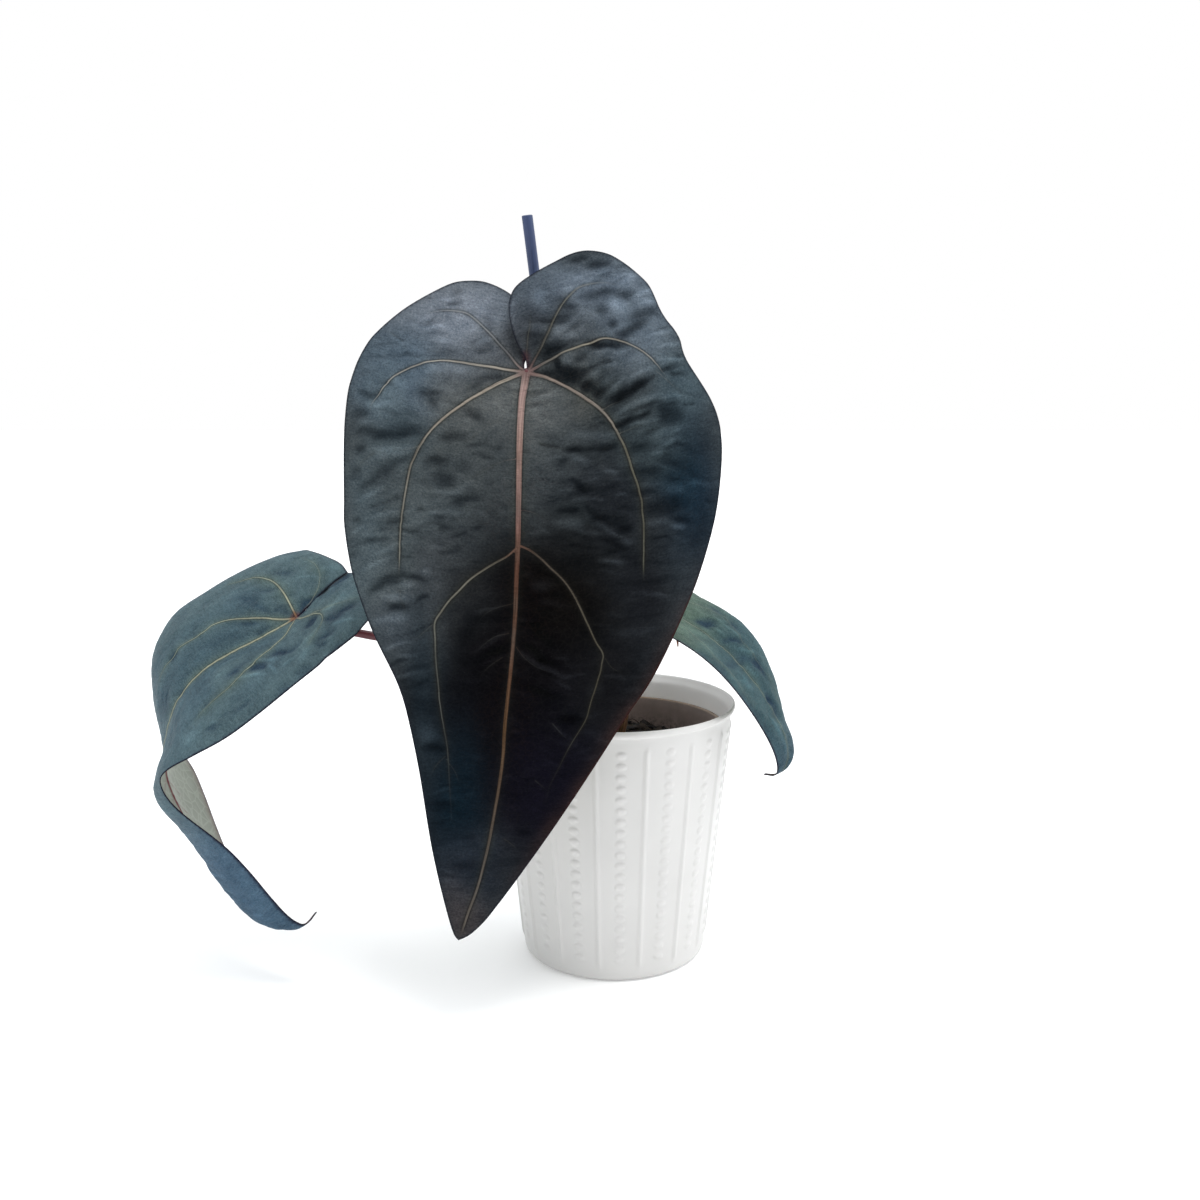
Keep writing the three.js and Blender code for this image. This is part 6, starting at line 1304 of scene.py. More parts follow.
leaf = build_leaf("right_blade_detail", side_outline(right_sheet, RIGHT_OUT),
                  side_veins(right_sheet, RIGHT_VEINS, dict(mid=(1.3, 0.5, 0.8), f1=(0.9, 0.35, 0.35), n1=(0.9, 0.35, 0.4), f2=(0.8, 0.35, 0.35), f3=(0.7, 0.3, 0.35), n2=(0.8, 0.35, 0.35), n3=(0.7, 0.3, 0.35)), dict(mid=0.9),
                             (0.20, 0.25, 0.215), (0.16, 0.215, 0.21)),
                  right_sheet.map, True, 1.05, 0.8, side_colour((0.086, 0.132, 0.100), (0.078, 0.120, 0.098), (0.034, 0.074, 0.092, 10, 48), (0.043, 0.082, 0.110), 85, 125, 0.3, 0.75),
                  [MAT_SIDE_TOP, MAT_SIDE_UNDER], 0.8, 11.0, 18.0, 33, RIGHT_MARKS, gap=1.15, wrinkles=2.0)
piece(leaf, "side_blade", "right_leaf_blade")


# ---------------------------------------------------------------- petioles
def mat_petiole():
    g = G("petiole_skin")
    flat = g.attr("flat", "Vector")
    t = g.attr("along")
    col = g.ramp(t, [(0.0, (0.09, 0.055, 0.025)), (0.25, (0.10, 0.03, 0.025)), (0.8, (0.115, 0.018, 0.030)), (1.0, (0.10, 0.022, 0.028))])
    streak = g.noise(g.scaled(flat, (0.03, 0.9, 1)), 1.0, 4.0, 0.6)
    col = g.mix(1.0, col, g.ramp(streak, [(0.3, (0.7, 0.7, 0.72)), (0.72, (1.35, 1.4, 1.3))]), "MULTIPLY")
    spots = g.voronoi(g.scaled(flat, (0.5, 1.2, 1)), 0.9).outputs["Distance"]
    col = g.mix(g.range(spots, 0.05, 0.14, 0.45, 0.0), col, (0.16, 0.12, 0.06))
    g.set(Base_Color=col, Roughness=0.42, Specular_IOR_Level=0.45)
    g.set(Normal=g.bump(streak, 0.35, 0.0005))
    return g.mat


MAT_PETIOLE = mat_petiole()
PETIOLES = {
    "front_petiole": ([(-8.5, -5.5, 141.0), (-13, -8, 165), (-20, -7, 200), (-27.5, -1.8, 240), (-33.5, -9, 282), (-39, -27, 316), (-43.5, -46, 333), (-45.6, -58.6, 336.9), (-45.7, -61.0, 337.6)],
                      [3.3, 2.5, 2.3, 2.3, 2.2, 2.2, 2.9, 2.5, 2.1]),
    "left_petiole": ([(-9.0, 1.9, 141.0), (-22, 3, 150), (-52, 1, 165.5), (-95, -2.4, 180), (-137.3, -4, 188.2), (-160, -3.4, 192.2), (-175, 0.2, 193.6), (-181.6, 2.4, 195.2), (-182.3, 1.6, 197.0)],
                     [3.2, 2.6, 2.2, 2.0, 1.9, 1.9, 2.5, 2.2, 1.7]),
    "right_petiole": ([(-1.0, 0.9, 140.6), (5.5, 3, 155), (13, 5, 172), (20, 6.4, 188), (25, 6.2, 196.5), (28.0, 5.0, 201.0), (28.7, 4.3, 203.0)],
                      [3.0, 2.4, 2.0, 1.9, 2.3, 2.0, 1.5]),
}
for nm, (pts, rad) in PETIOLES.items():
    groove = lambda t, a: 0.035 * math.cos(5 * a) + 0.02 * math.cos(9 * a + 1) + (0.05 * math.sin(60 * t) if t > 0.9 else 0.0) * 0.4
    V, F, A, U = tube(pts, rad, 28, 1.6, groove)
    piece(make_mesh(nm + "_detail", V, F, [MAT_PETIOLE], attrs=dict(along=A, flat=U)), "petiole", nm)


# ------------------------------------------------------------ stem and roots
def mat_stem():
    g = G("stem_bark")
    o = g.scaled(g.obj(), (1000, 1000, 1000))
    n = g.noise(o, 0.35, 5.0, 0.65)
    rootm = g.attr("root")
    col = g.ramp(n, [(0.3, (0.055, 0.04, 0.018)), (0.5, (0.13, 0.10, 0.045)), (0.7, (0.17, 0.16, 0.075))])
    rc = g.ramp(n, [(0.3, (0.16, 0.115, 0.07)), (0.7, (0.36, 0.31, 0.2))])
    g.set(Base_Color=g.mix(rootm, col, rc), Roughness=0.7)
    g.set(Normal=g.bump(g.noise(o, 0.9, 5.0, 0.7), 0.5, 0.001))
    return g.mat


MAT_STEM = mat_stem()
stem = Soup()
ring = lambda t, a: 0.05 * math.sin(t * 46) * (1 if t > 0.35 else 0.3) + 0.05 * math.cos(3 * a + t * 9) + 0.03 * math.cos(7 * a - t * 20)
V, F, A, U = tube([(-4, 2, 92), (-4, 1, 112), (-4.5, 0, 128), (-5, -0.5, 139), (-5, -0.5, 143.5)], [5.5, 8.0, 8.6, 8.0, 5.6], 40, 0.9, ring, 4)
stem.add(V, F, root=0.0)
ROOTS = [
    ([(-4, 0, 126), (8, -10, 125), (19, -19, 116), (27, -26, 96), (30, -30, 66), (27, -28, 34)], [2.6, 2.4, 2.2, 2.0, 1.7, 1.0]),
    ([(-5, 2, 124), (-18, 8, 124), (-29, 15, 115), (-36, 21, 92), (-38, 24, 60), (-33, 22, 26)], [2.7, 2.4, 2.2, 2.0, 1.6, 1.0]),
    ([(-4, 1, 116), (6, 14, 110), (14, 28, 96), (20, 37, 70), (20, 36, 40)], [2.5, 2.3, 2.1, 1.8, 1.0]),
    ([(-5, 0, 112), (-16, -12, 106), (-26, -24, 88), (-30, -32, 58), (-24, -30, 24)], [2.5, 2.3, 2.1, 1.8, 1.0]),
    ([(-4, 1, 98), (0, 3, 78), (6, -2, 54), (2, -6, 26)], [4.0, 2.8, 2.1, 1.0]),
]
for i, (pts, rad) in enumerate(ROOTS):
    V, F, A, U = tube(pts, rad, 14, 2.2, lambda t, a, i=i: 0.07 * math.sin(t * 50 + i) + 0.05 * math.cos(2 * a + t * 15))
    stem.add(V, F, root=sstep(A, 0.02, 0.12))
piece(stem.build("stem_and_roots_detail", [MAT_STEM]), "stem", "stem_and_roots")


# --------------------------------------------------------------- cover pot
POT_H, RIBS = 150.0, 15
PER = 2 * math.pi / RIBS
BEAD_PHASE = math.radians(-87.4)
RIB_PHASE = BEAD_PHASE + PER / 2
BEAD_Z0, BEAD_PITCH, BEAD_N = 136.2, 6.45, 20


def pot_r(z):
    return 53.4 + (67.6 - 53.4) * max(0.0, z - 5) / 137


def bead_rows():
    zs = []
    for k in range(BEAD_N):
        c = BEAD_Z0 - k * BEAD_PITCH
        zs += [c + o for o in (2.3, 1.85, 1.3, 0.55, -0.3, -1.1, -1.75, -2.3)]
    return zs


outer = [(0.0, 0.0), (44.0, 0.0), (48.8, 0.0), (50.4, 0.25), (51.9, 0.9), (53.0, 2.2), (53.35, 3.6), (pot_r(6), 6.0), (pot_r(8), 8.0), (pot_r(9.6), 9.6)]
outer += [(pot_r(z), z) for z in sorted(z for z in bead_rows() if z > 10.2)]
outer += [(pot_r(139.6), 139.6), (pot_r(141.2), 141.2), (pot_r(142.5), 142.5), (67.85, 145.2), (68.3, 145.9), (69.0, 146.15), (69.6, 146.6), (69.95, 147.4),
          (70.0, 148.2), (69.9, 148.9), (69.65, 149.5), (69.3, 149.87), (69.0, 149.97), (68.7, 149.87), (68.35, 149.45), (68.0, 148.7), (67.6, 147.8), (67.05, 146.8), (66.4, 145.7), (66.0, 144.7), (65.8, 143.4)]
inner = [(pot_r(z) - 2.0, z) for z in (143, 130, 110, 85, 60, 35, 14)] + [(51.4, 8.0), (50.9, 6.0), (50.0, 4.4), (48.6, 3.4), (47.0, 3.0), (30.0, 3.0), (0.0, 3.0)]
pot_profile = outer + inner
N_OUT = len(outer)
offs = [-3.7, -3.05, -2.55, -2.0, -1.2, -0.4, 0.4, 1.2, 2.0, 2.55, 3.05, 3.7, 6.2, 9.0, 10.2, 10.9, 11.5, 12.1, 12.566, 13.0, 13.6, 14.2, 14.9, 16.1, 19.0]
angles = np.array([BEAD_PHASE + PER * k + o / 60.0 for k in range(RIBS) for o in offs])


def pot_warp(a, z, r, i):
    if i >= N_OUT or z > 140.5 or z < 3.0 or r < 52:
        return np.zeros(len(a))
    R = r
    d = (a - BEAD_PHASE + PER / 2) % PER - PER / 2
    u = d * R
    k = round((BEAD_Z0 - z) / BEAD_PITCH)
    h = np.zeros(len(a))
    if 0 <= k < BEAD_N:
        v = z - (BEAD_Z0 - k * BEAD_PITCH)
        s = (np.abs(u) / 2.95) ** 2.6 + (abs(v) / 2.05) ** 2.2
        h = 0.7 * np.clip(1 - s, 0, 1) ** 0.62
    e = (a - RIB_PHASE + PER / 2) % PER - PER / 2
    w = np.abs(e * R)
    rib = 0.95 * (1 - sstep(w, 0.35, 2.0)) * float(sstep(z, 6.5, 11)) * float(1 - sstep(z, 136.5, 140.5))
    return h + rib


def mat_pot():
    g = G("cover_pot_white")
    o = g.scaled(g.obj(), (1000, 1000, 1000))
    n = g.noise(o, 0.03, 3.0, 0.5)
    xyz = g.node("ShaderNodeSeparateXYZ")
    g.link(o, xyz.inputs[0])
    rad = g.math("SQRT", g.math("ADD", g.math("MULTIPLY", xyz.outputs[0], xyz.outputs[0]), g.math("MULTIPLY", xyz.outputs[1], xyz.outputs[1])))
    wall = g.math("ADD", g.math("MULTIPLY", xyz.outputs[2], 0.10365), 51.6)      # the middle of the wall, less the collar's roll
    lip = g.range(xyz.outputs[2], 143.0, 149.3, 0.0, 1.6)
    outside = g.range(g.math("SUBTRACT", rad, g.math("ADD", wall, lip)), -0.3, 0.3, 0.0, 1.0)
    outer_painted_shade = g.ramp(n, [(0.3, (0.636, 0.628, 0.615)), (0.7, (0.670, 0.662, 0.648))])      # the outer wall, painted greyer: painted shade
    inner_painted_light = g.ramp(n, [(0.3, (0.94, 0.93, 0.92)), (0.7, (0.955, 0.945, 0.937))])        # the inner wall, painted paler: painted light
    col = g.mix(outside, inner_painted_light, outer_painted_shade)
    g.set(Base_Color=col, Roughness=g.range(g.noise(o, 0.12, 4.0, 0.6), 0.3, 0.7, 0.30, 0.42), Specular_IOR_Level=0.5)
    g.set(Normal=g.bump(g.noise(o, 0.5, 3.0, 0.6), 0.08, 0.0005))
    g.bsdf.inputs["Subsurface Weight"].default_value = 0.0
    return g.mat


V, F = lathe(pot_profile, angles, warp=pot_warp)
pot = make_mesh("cover_pot_detail", V, [f[::-1] for f in F], [mat_pot()])
piece(pot, "cover_pot_white", "cover_pot")


# -------------------------------------------------------------- nursery pot
def mat_nursery():
    g = G("nursery_pot_brown")
    o = g.scaled(g.obj(), (1000, 1000, 1000))
    z = g.node("ShaderNodeSeparateXYZ")
    g.link(o, z.inputs[0])
    n = g.noise(o, 0.09, 4.0, 0.6)
    col = g.ramp(n, [(0.3, (0.180, 0.140, 0.124)), (0.7, (0.230, 0.182, 0.164))])
    # a paler, warmer line along the rim's top
    rim = g.range(z.outputs[2], 134.9, 135.8, 0.0, 0.85)
    col = g.mix(rim, col, (0.24, 0.17, 0.11))
    dirt = g.range(z.outputs[2], 128.0, 118.0, 0.0, 0.7)
    col = g.mix(g.math("MULTIPLY", dirt, g.range(g.noise(o, 0.4, 4.0, 0.7), 0.45, 0.6, 0.0, 1.0)), col, (0.02, 0.014, 0.01))
    g.set(Base_Color=col, Roughness=0.45, Specular_IOR_Level=0.4)
    g.set(Normal=g.bump(g.noise(o, 1.5, 3.0, 0.6), 0.12, 0.0005))
    return g.mat


np_r = lambda z: 44 + (62.4 - 44) * (z - 3.4) / (136 - 3.4)
prof = [(0, 3.4), (25, 3.4), (36, 3.4), (42.5, 3.4), (43.6, 3.8), (44.1, 4.9), (np_r(40), 40), (np_r(90), 90), (np_r(130.6), 130.6), (62.3, 131.6), (63.3, 131.8), (63.8, 132.3), (63.8, 135.2), (63.55, 135.8), (63.0, 136),
        (62.2, 136), (61.7, 135.8), (61.4, 135.2), (np_r(130) - 1, 130), (np_r(90) - 1, 90), (np_r(40) - 1, 40), (43.2, 6.2), (42.4, 5.0), (41.0, 4.7), (36, 4.7), (25, 4.7), (0, 4.7)]
V, F = lathe(prof, np.linspace(0, 2 * math.pi, 144, endpoint=False))
npot = make_mesh("nursery_pot_detail", V, [f[::-1] for f in F], [mat_nursery()])
cut = Soup()
for k in range(6):
    a = 2 * math.pi * k / 6
    Vc, Fc = lathe([(0, 1.0), (4.5, 1.0), (4.5, 9.0), (0, 9.0)], np.linspace(0, 2 * math.pi, 24, endpoint=False))
    cut.add(Vc + [31 * math.cos(a), 31 * math.sin(a), 0], [f[::-1] for f in Fc])
cutter = cut.build("drain_cutter", [])
mod = npot.modifiers.new("drain", "BOOLEAN")
mod.operation, mod.object, mod.solver = "DIFFERENCE", cutter, "EXACT"
bpy.context.view_layer.update()
dg = bpy.context.evaluated_depsgraph_get()
done = bpy.data.meshes.new_from_object(npot.evaluated_get(dg))
npot.modifiers.clear()
npot.data = done
bpy.data.objects.remove(cutter)
piece(npot, "nursery_pot_brown", "nursery_pot")


# --------------------------------------------------------------- substrate
def sub_top(x, y):
    r = np.hypot(x + 4, y - 1)
    z = 117.5 + 7.5 * np.exp(-((r / 30) ** 2)) + 2.6 * sstep(y - x * 0.5, 5, 60)
    return z + 0.9 * np.sin(x * 0.31 + 1.3) * np.cos(y * 0.27) + 0.6 * np.sin(x * 0.55 - y * 0.47 + 0.5)


def mat_substrate(name, shade):
    g = G(name)
    o = g.scaled(g.obj(), (1000, 1000, 1000))
    n = g.noise(o, 0.6, 6.0, 0.7)
    c = g.attr("tone_rgb", "Color") if shade else None
    base = g.ramp(n, [(0.28, (0.003, 0.0025, 0.0024)), (0.58, (0.010, 0.0075, 0.006)), (0.78, (0.035, 0.027, 0.020))])
    col = g.mix(1.0, c, g.ramp(n, [(0.3, (0.55, 0.55, 0.55)), (0.7, (1.3, 1.3, 1.3))]), "MULTIPLY") if shade else base
    g.set(Base_Color=col, Roughness=0.85, Specular_IOR_Level=0.3)
    g.set(Normal=g.bump(g.noise(o, 1.3, 6.0, 0.75), 0.9, 0.002))
    return g.mat


R_TOP = 62.4 - 18.4 * (136 - 117.5) / 132.6 - 1.4
rings = np.r_[0, np.linspace(1.2, R_TOP, 46)]
V, F = [], []
SEG = 150
for i, r in enumerate(rings):
    if r == 0:
        V.append((0, 0, float(sub_top(0, 0))))
        continue
    a = np.linspace(0, 2 * math.pi, SEG, endpoint=False)
    x, y = r * np.cos(a), r * np.sin(a)
    z = sub_top(x, y) + 0.8 * fbm(x / 5, y / 5, 2, 3) + 0.35 * noise2(x / 1.6, y / 1.6, 4) - 0.8 * sstep(r, R_TOP - 5, R_TOP)
    V += list(zip(x, y, z))
o = 1 + (len(rings) - 2) * SEG
b = len(V)
rb = 40.6
V += [(rb * math.cos(a), rb * math.sin(a), 5.1) for a in np.linspace(0, 2 * math.pi, SEG, endpoint=False)] + [(0, 0, 5.1)]
for j in range(SEG):
    k = (j + 1) % SEG
    F.append((0, 1 + j, 1 + k))
    for i in range(1, len(rings) - 1):
        p, q = 1 + (i - 1) * SEG, 1 + i * SEG
        F.append((p + j, q + j, q + k, p + k))
    F.append((o + j, b + j, b + k, o + k))
    F.append((b + SEG, b + k, b + j))
bed = make_mesh("substrate_bed", V, F, [mat_substrate("substrate_fines", False)])
piece(bed, "substrate", "substrate")


def icosphere():
    t = (1 + 5**0.5) / 2
    v = [(-1, t, 0), (1, t, 0), (-1, -t, 0), (1, -t, 0), (0, -1, t), (0, 1, t), (0, -1, -t), (0, 1, -t), (t, 0, -1), (t, 0, 1), (-t, 0, -1), (-t, 0, 1)]
    f = [(0, 11, 5), (0, 5, 1), (0, 1, 7), (0, 7, 10), (0, 10, 11), (1, 5, 9), (5, 11, 4), (11, 10, 2), (10, 7, 6), (7, 1, 8), (3, 9, 4), (3, 4, 2), (3, 2, 6), (3, 6, 8), (3, 8, 9), (4, 9, 5), (2, 4, 11), (6, 2, 10), (8, 6, 7), (9, 8, 1)]
    v = [np.array(p) / np.linalg.norm(p) for p in v]
    g2, cache = [], {}

    def midp(a, b):
        key = (min(a, b), max(a, b))
        if key not in cache:
            m = v[a] + v[b]
            v.append(m / np.linalg.norm(m))
            cache[key] = len(v) - 1
        return cache[key]

    for a, b, c in f:
        x, y, z = midp(a, b), midp(b, c), midp(c, a)
        g2 += [(a, x, z), (b, y, x), (c, z, y), (x, y, z)]
    return np.array(v), g2


def rot(rng, tilt=1.0):
    a, b, c = rng.random() * 2 * math.pi, (rng.random() - 0.5) * tilt, (rng.random() - 0.5) * tilt
    Rz = np.array([[math.cos(a), -math.sin(a), 0], [math.sin(a), math.cos(a), 0], [0, 0, 1]])
    Rx = np.array([[1, 0, 0], [0, math.cos(b), -math.sin(b)], [0, math.sin(b), math.cos(b)]])
    Ry = np.array([[math.cos(c), 0, math.sin(c)], [0, 1, 0], [-math.sin(c), 0, math.cos(c)]])
    return Rz @ Rx @ Ry


IV, IF = icosphere()
chips = Soup()
BARK = [(0.014, 0.010, 0.008), (0.020, 0.014, 0.010), (0.009, 0.0075, 0.007), (0.034, 0.023, 0.015), (0.006, 0.005, 0.005)]
for k in range(520):
    r, a = R_TOP * 0.965 * math.sqrt(RNG.random()), RNG.random() * 2 * math.pi
    x, y = r * math.cos(a), r * math.sin(a)
    if math.hypot(x + 5, y + 0.5) < 9.5 or math.hypot(x + 12.3, y - 16) < 4.5:
        continue
    big = RNG.random()
    size = np.array([2.2 + 3.6 * big, 1.5 + 2.2 * big * RNG.random(), 0.7 + 1.2 * RNG.random()])
    if r + size[0] > R_TOP:
        size *= 0.5
    v = IV * (1 + 0.22 * RNG.normal(size=(len(IV), 1)))
    v = np.sign(v) * np.abs(v) ** 0.75
    v = (v * size) @ rot(RNG, 0.9).T
    tone = np.array(BARK[int(RNG.integers(len(BARK)))]) * (0.7 + 0.7 * RNG.random())
    kind = RNG.random()
    if kind > 0.975:
        tone, v = np.array((0.30, 0.27, 0.2)), v * 0.55
    elif kind > 0.94:
        tone, v = np.array((0.16, 0.15, 0.05)), v * 0.6
    p = v + [x, y, float(sub_top(x, y)) + 0.5 + 0.6 * RNG.random()]
    rr = np.hypot(p[:, 0], p[:, 1])
    lim = np.minimum(1, (R_TOP + 0.9) / np.maximum(rr, 1e-6))
    p[:, 0] *= lim
    p[:, 1] *= lim
    chips.add(p, IF, tone_rgb=tone)
MAT_CHIP = mat_substrate("substrate_chips", True)
piece(chips.build("substrate_bark_chips", [MAT_CHIP], smooth=False), "substrate")

fibres = Soup()
for k in range(230):
    r, a = R_TOP * 0.93 * math.sqrt(RNG.random()), RNG.random() * 2 * math.pi
    x, y = r * math.cos(a), r * math.sin(a)
    if math.hypot(x + 5, y + 0.5) < 9.5:
        continue
    z = float(sub_top(x, y)) + 0.8
    h = RNG.random() * 2 * math.pi
    L = 5 + 9 * RNG.random()
    up = RNG.random() ** 2 * 0.9
    pts = [np.array([x, y, z])]
    for s in range(4):
        h += RNG.normal() * 0.45
        pts.append(pts[-1] + np.array([math.cos(h), math.sin(h), (up if s < 2 else -up * 0.6) + 0.1 * RNG.normal()]) * L / 4)
    pts = np.array(pts)
    rr = np.hypot(pts[:, 0], pts[:, 1])
    if rr.max() > R_TOP - 0.5:
        continue
    V, F, A, U = tube(pts, [0.28, 0.3, 0.22, 0.1], 5, 1.6, cap=1)
    tone = np.array([(0.040, 0.028, 0.016), (0.090, 0.075, 0.045), (0.014, 0.010, 0.008)][int(RNG.integers(3))])
    fibres.add(V, F, tone_rgb=tone)
piece(fibres.build("substrate_fibres", [MAT_CHIP]), "substrate")


# -------------------------------------------------------------------- stake
def mat_stake():
    g = G("stake_coating")
    o = g.scaled(g.obj(), (1000, 1000, 1000))
    flat = g.attr("flat", "Vector")
    n = g.noise(g.scaled(flat, (0.06, 1.2, 1)), 1.0, 4.0, 0.6)
    col = g.ramp(n, [(0.3, (0.030, 0.047, 0.112)), (0.7, (0.048, 0.072, 0.165))])
    g.set(Base_Color=col, Roughness=0.5, Specular_IOR_Level=0.4)
    g.set(Normal=g.bump(n, 0.25, 0.0004))
    return g.mat


foot, top = np.array([-3.3, 22.7, 45.0]), np.array([-47.5, -10.0, 420.3])
d = (top - foot) / np.linalg.norm(top - foot)
C = [foot + d * s for s in np.linspace(0, np.linalg.norm(top - foot) - 0.9, 60)]
V, F, A, U = tube(C, [2.9, 2.9, 2.9], 32, 4.0, lambda t, a: 0.012 * math.cos(4 * a + 1), cap=1)
# a flat cut top with a small bevel
L = np.linalg.norm(top - foot)
rows = [(0, 2.2), (0.6, 2.9), (L - 0.55, 2.9), (L - 0.15, 2.72), (L, 2.3)]
_, N0, B0 = frames_along(np.array(C))
V, F = [], []
ts = np.linspace(0.6, L - 0.55, 90)
rows = [(0.0, 2.2)] + [(t, 2.9) for t in ts] + [(L - 0.18, 2.74), (L, 2.3)]
UV = []
for t, r in rows:
    for q in range(32):
        a = 2 * math.pi * q / 32
        k = r * (1 + 0.012 * math.cos(4 * a + 1 + t * 0.01))
        V.append(foot + d * t + N0[0] * math.cos(a) * k + B0[0] * math.sin(a) * k)
        UV.append((t, a * r, 0))
m = len(rows)
F = [(i * 32 + q, i * 32 + (q + 1) % 32, (i + 1) * 32 + (q + 1) % 32, (i + 1) * 32 + q) for i in range(m - 1) for q in range(32)]
F.append(tuple(range(31, -1, -1)))
F.append(tuple((m - 1) * 32 + q for q in range(32)))
stake = make_mesh("support_stake_detail", V, F, [mat_stake()], attrs=dict(flat=np.array(UV)))
for f in stake.data.polygons[-2:]:
    f.use_smooth = False
piece(stake, "stake_blue", "support_stake")


# ---------------------------------------------------------------------- tie
def mat_tie():
    g = G("tie_soft")
    o = g.scaled(g.obj(), (1000, 1000, 1000))
    n = g.noise(o, 0.8, 4.0, 0.6)
    g.set(Base_Color=g.ramp(n, [(0.3, (0.030, 0.048, 0.026)), (0.7, (0.052, 0.075, 0.04))]), Roughness=0.7)
    g.set(Normal=g.bump(n, 0.3, 0.0005))
    return g.mat


tS = (240 - 45) / (420.3 - 45)
s = foot + (top - foot) * tS
p = np.array([-27.5, -1.8, 240.0])
ax = (p - s) * [1, 1, 0]
Lc = np.linalg.norm(ax)
ax /= Lc
ay = np.array([-ax[1], ax[0], 0])
R1, R2 = 2.9 + 0.75, 2.4 + 0.85
loop = []
for i in range(25):
    a = math.pi / 2 + math.pi * i / 24
    loop.append((R1 * math.cos(a), R1 * math.sin(a), 0))
for i in range(25):
    a = -math.pi / 2 + math.pi * i / 24
    loop.append((Lc + R2 * math.cos(a), R2 * math.sin(a), 0))
loop = np.array(loop)
cx = np.array([Lc / 2, 0, 0])
sec = []      # the band's rounded section: (out, up)
for i in range(16):
    a = 2 * math.pi * i / 16
    sec.append((0.55 + 0.55 * np.sign(math.cos(a)) * abs(math.cos(a)) ** 0.6, 3.4 * np.sign(math.sin(a)) * abs(math.sin(a)) ** 0.45))
n, m = len(loop), len(sec)
tan = np.roll(loop, -1, 0) - np.roll(loop, 1, 0)
nor = np.stack([tan[:, 1], -tan[:, 0], np.zeros(n)], 1)
nor /= np.linalg.norm(nor, axis=1)[:, None]
V = []
for i in range(n):
    for (o2, u2) in sec:
        q = loop[i] + nor[i] * o2
        V.append(s + ax * q[0] + ay * q[1] + np.array([0, 0, u2 + 0.15 * math.sin(i * 0.8)]))
F = [(i * m + j, ((i + 1) % n) * m + j, ((i + 1) % n) * m + (j + 1) % m, i * m + (j + 1) % m) for i in range(n) for j in range(m)]
piece(make_mesh("plant_tie_detail", V, F, [mat_tie()]), "tie", "plant_tie")


# --------------------------------------------------------------- cataphylls
def mat_cataphyll():
    g = G("cataphyll_paper")
    flat = g.attr("flat", "Vector")
    t = g.attr("along")
    st = g.noise(g.scaled(flat, (0.05, 1.6, 1)), 1.0, 5.0, 0.65)
    col = g.ramp(st, [(0.28, (0.10, 0.035, 0.02)), (0.5, (0.27, 0.115, 0.07)), (0.75, (0.48, 0.28, 0.18))])
    col = g.mix(g.range(t, 0.0, 0.35, 0.7, 0.0), col, (0.12, 0.10, 0.04))
    g.set(Base_Color=col, Roughness=0.7, Specular_IOR_Level=0.3)
    g.set(Normal=g.bump(st, 0.6, 0.0006))
    return g.mat


MAT_CAT = mat_cataphyll()


def bract(name, node, points, width, across, seed):
    C = catmull(points, 1.0)
    n, m, T = len(C) - 1, 14, 0.32
    Tn = np.gradient(C, axis=0)
    Tn /= np.linalg.norm(Tn, axis=1)[:, None]
    P, Nn, U, A = [], [], [], []
    for i in range(n + 1):
        t = i / n
        w = width * (0.75 + 0.25 * t / 0.3 if t < 0.3 else math.sqrt(max(0.004, (1 - t) / 0.7)))
        a = np.array(across, float)
        a = a - Tn[i] * (a @ Tn[i])
        a /= np.linalg.norm(a)
        up = np.cross(a, Tn[i])
        for j in range(m + 1):
            s2 = (j / m - 0.5) * 2
            ang = s2 * (0.9 + 0.25 * math.sin(t * 7 + seed))
            rag = 1 + 0.05 * float(noise2(t * 22, 3.0 * np.sign(s2), seed)) * abs(s2)
            rip = 0.22 * float(noise2(t * 14, s2 * 2.2, seed + 4))
            P.append(C[i] + a * (w / 2) * math.sin(ang) / math.sin(0.9) * rag + up * ((w / 2) * (1 - math.cos(ang)) / math.sin(0.9) + rip))
            Nn.append(a * math.sin(ang) - up * math.cos(ang))
            U.append((t * n, s2 * w / 2, 0))
            A.append(t)
    P, Nn = np.array(P), np.array(Nn)
    V = np.vstack([P + Nn * T / 2, P - Nn * T / 2])
    k, idf = len(P), lambda i, j: i * (m + 1) + j
    F = []
    for i in range(n):
        for j in range(m):
            q = (idf(i, j), idf(i, j + 1), idf(i + 1, j + 1), idf(i + 1, j))
            F += [q[::-1], tuple(x + k for x in q)]
    for j in range(m):
        a, b = idf(0, j), idf(0, j + 1)
        F.append((a, b, b + k, a + k))
        a, b = idf(n, j + 1), idf(n, j)
        F.append((a, b, b + k, a + k))
    for i in range(n):
        a, b = idf(i + 1, 0), idf(i, 0)
        F.append((a, b, b + k, a + k))
        a, b = idf(i, m), idf(i + 1, m)
        F.append((a, b, b + k, a + k))
    piece(make_mesh(name, V, F, [MAT_CAT], attrs=dict(flat=np.vstack([U, U]), along=np.concatenate([A, A]))), "cataphyll", node)


bract("cataphyll_right_detail", "cataphyll_right", [(3.2, -3.6, 124.5), (5.2, -4.6, 128.5), (7.4, -6.3, 140), (9.2, -7.6, 151), (12.2, -8.9, 162), (16.2, -10.5, 172.8), (22.5, -13.5, 185.2), (28.3, -16, 192.6), (33, -17.5, 193.8), (35.4, -18.5, 185.2)], 8, (0.3, -1, 0), 1)
bract("cataphyll_left_detail", "cataphyll_left", [(-14.4, -2.3, 124.5), (-15.5, -2.6, 128.5), (-19, -3.4, 140), (-26, -5, 158), (-36, -6.5, 174)], 8, (-0.2, -1, 0.2), 2)
bract("cataphyll_back_detail", "cataphyll_back", [(-5, 9.8, 124.5), (-5, 10.4, 129), (-5, 13, 142), (-3, 18, 160), (1, 26, 176)], 8, (1, 0.1, 0), 3)


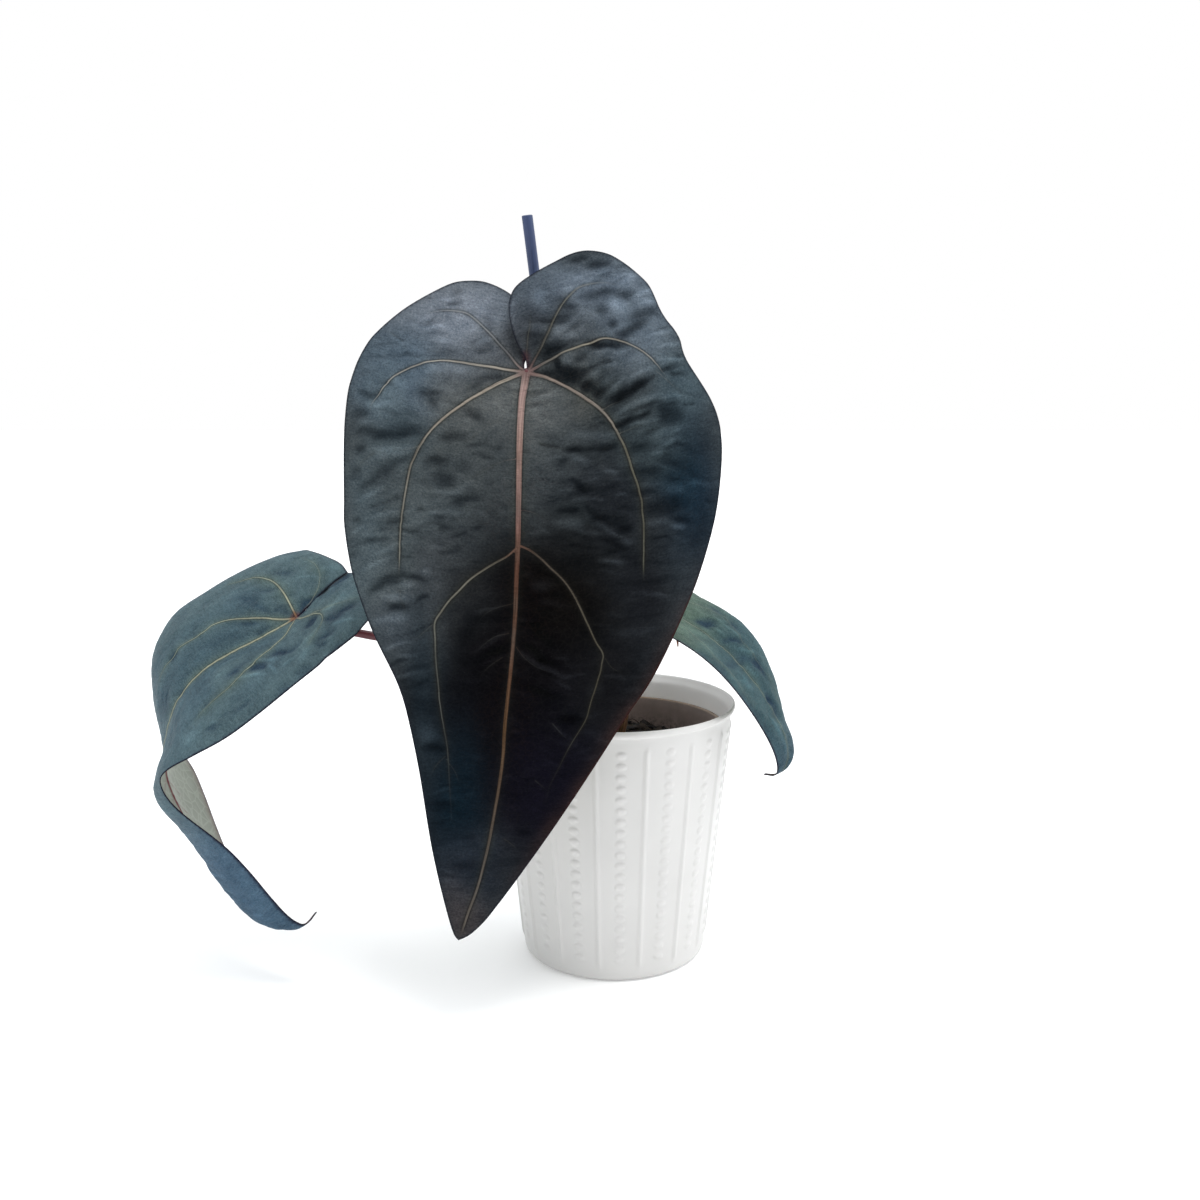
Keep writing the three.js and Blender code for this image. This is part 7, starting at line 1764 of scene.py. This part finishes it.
# -------------------------------------------------------- floor, light, view
def stage_floor():
    g = G("floor_pale")
    o = g.obj()
    g.set(Base_Color=g.ramp(g.noise(o, 3.0, 2.0, 0.5), [(0.3, (0.90, 0.90, 0.90)), (0.7, (0.92, 0.92, 0.92))]), Roughness=0.8, Specular_IOR_Level=0.1, Emission_Strength=0.11)
    g.bsdf.inputs["Emission Color"].default_value = (1.0, 1.0, 1.0, 1.0)
    me = bpy.data.meshes.new("floor")
    S = 6.0
    me.from_pydata([(-S, -S, 0), (S, -S, 0), (S, S, 0), (-S, S, 0)], [], [(0, 1, 2, 3)])
    me.materials.append(g.mat)
    ob = bpy.data.objects.new("floor", me)
    ob.location.z = -0.0002
    bpy.context.scene.collection.objects.link(ob)
    ob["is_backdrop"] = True


stage_floor()
world = bpy.data.worlds.new("studio")
bpy.context.scene.world = world
world.use_nodes = True
wt = world.node_tree
wt.nodes.clear()
w_out = wt.nodes.new("ShaderNodeOutputWorld")
w_tex, w_sep = wt.nodes.new("ShaderNodeTexCoord"), wt.nodes.new("ShaderNodeSeparateXYZ")
wt.links.new(w_tex.outputs["Generated"], w_sep.inputs[0])


def w_range(sock, a, b, c, d):
    n = wt.nodes.new("ShaderNodeMapRange")
    n.interpolation_type = "SMOOTHSTEP"
    wt.links.new(sock, n.inputs[0])
    for k, v in zip((1, 2, 3, 4), (a, b, c, d)):
        n.inputs[k].default_value = v
    return n.outputs[0]


def w_math(op, a, b):
    n = wt.nodes.new("ShaderNodeMath")
    n.operation = op
    for k, v in enumerate((a, b)):
        if isinstance(v, bpy.types.NodeSocket):
            wt.links.new(v, n.inputs[k])
        else:
            n.inputs[k].default_value = v
    return n.outputs[0]


# soft studio: brightest overhead, dimmer at eye level and dimmest in front
level = w_math("ADD", w_range(w_sep.outputs[1], -1.0, 0.7, 0.14, 0.72), w_range(w_sep.outputs[2], 0.05, 0.95, 0.0, 1.15))
w_light, w_seen, w_mix, w_path = (wt.nodes.new(k) for k in ("ShaderNodeBackground", "ShaderNodeBackground", "ShaderNodeMixShader", "ShaderNodeLightPath"))
w_light.inputs[0].default_value = (0.95, 0.975, 1.0, 1)
wt.links.new(level, w_light.inputs[1])
w_seen.inputs[0].default_value = (1.0, 1.0, 1.0, 1)      # the plain white sweep behind
w_seen.inputs[1].default_value = 1.0
wt.links.new(w_path.outputs["Is Camera Ray"], w_mix.inputs[0])
wt.links.new(w_light.outputs[0], w_mix.inputs[1])
wt.links.new(w_seen.outputs[0], w_mix.inputs[2])
wt.links.new(w_mix.outputs[0], w_out.inputs[0])


def area(name, loc, aim, size, power, colour=(1, 1, 1)):
    l = bpy.data.lights.new(name, "AREA")
    l.shape, l.size, l.size_y = "RECTANGLE", size[0], size[1]
    l.energy, l.color = power, colour
    ob = bpy.data.objects.new(name, l)
    ob.location = loc
    ob.rotation_euler = (Vector(aim) - Vector(loc)).to_track_quat("-Z", "Y").to_euler()
    bpy.context.scene.collection.objects.link(ob)


sun = bpy.data.lights.new("soft_sun", "SUN")
sun.energy, sun.angle, sun.color = 1.3, math.radians(22), (1.0, 0.99, 0.97)
sun_ob = bpy.data.objects.new("soft_sun", sun)
sun_ob.rotation_euler = (-Vector((0.18, -0.22, 0.95))).to_track_quat("-Z", "Y").to_euler()      # high, a little from the front and the right
bpy.context.scene.collection.objects.link(sun_ob)
area("rim_right", (1.1, 0.15, 0.7), (0.03, 0, 0.1), (0.7, 0.7), 2.4, (1.0, 1.0, 1.0))
bpy.context.scene.view_settings.view_transform = "Standard"

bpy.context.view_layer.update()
tri = {}
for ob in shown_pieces():
    if ob.type == "MESH":
        ob.data.calc_loop_triangles()
        tri[ob.name] = len(ob.data.loop_triangles)
print("TRIS", sum(tri.values()), tri)
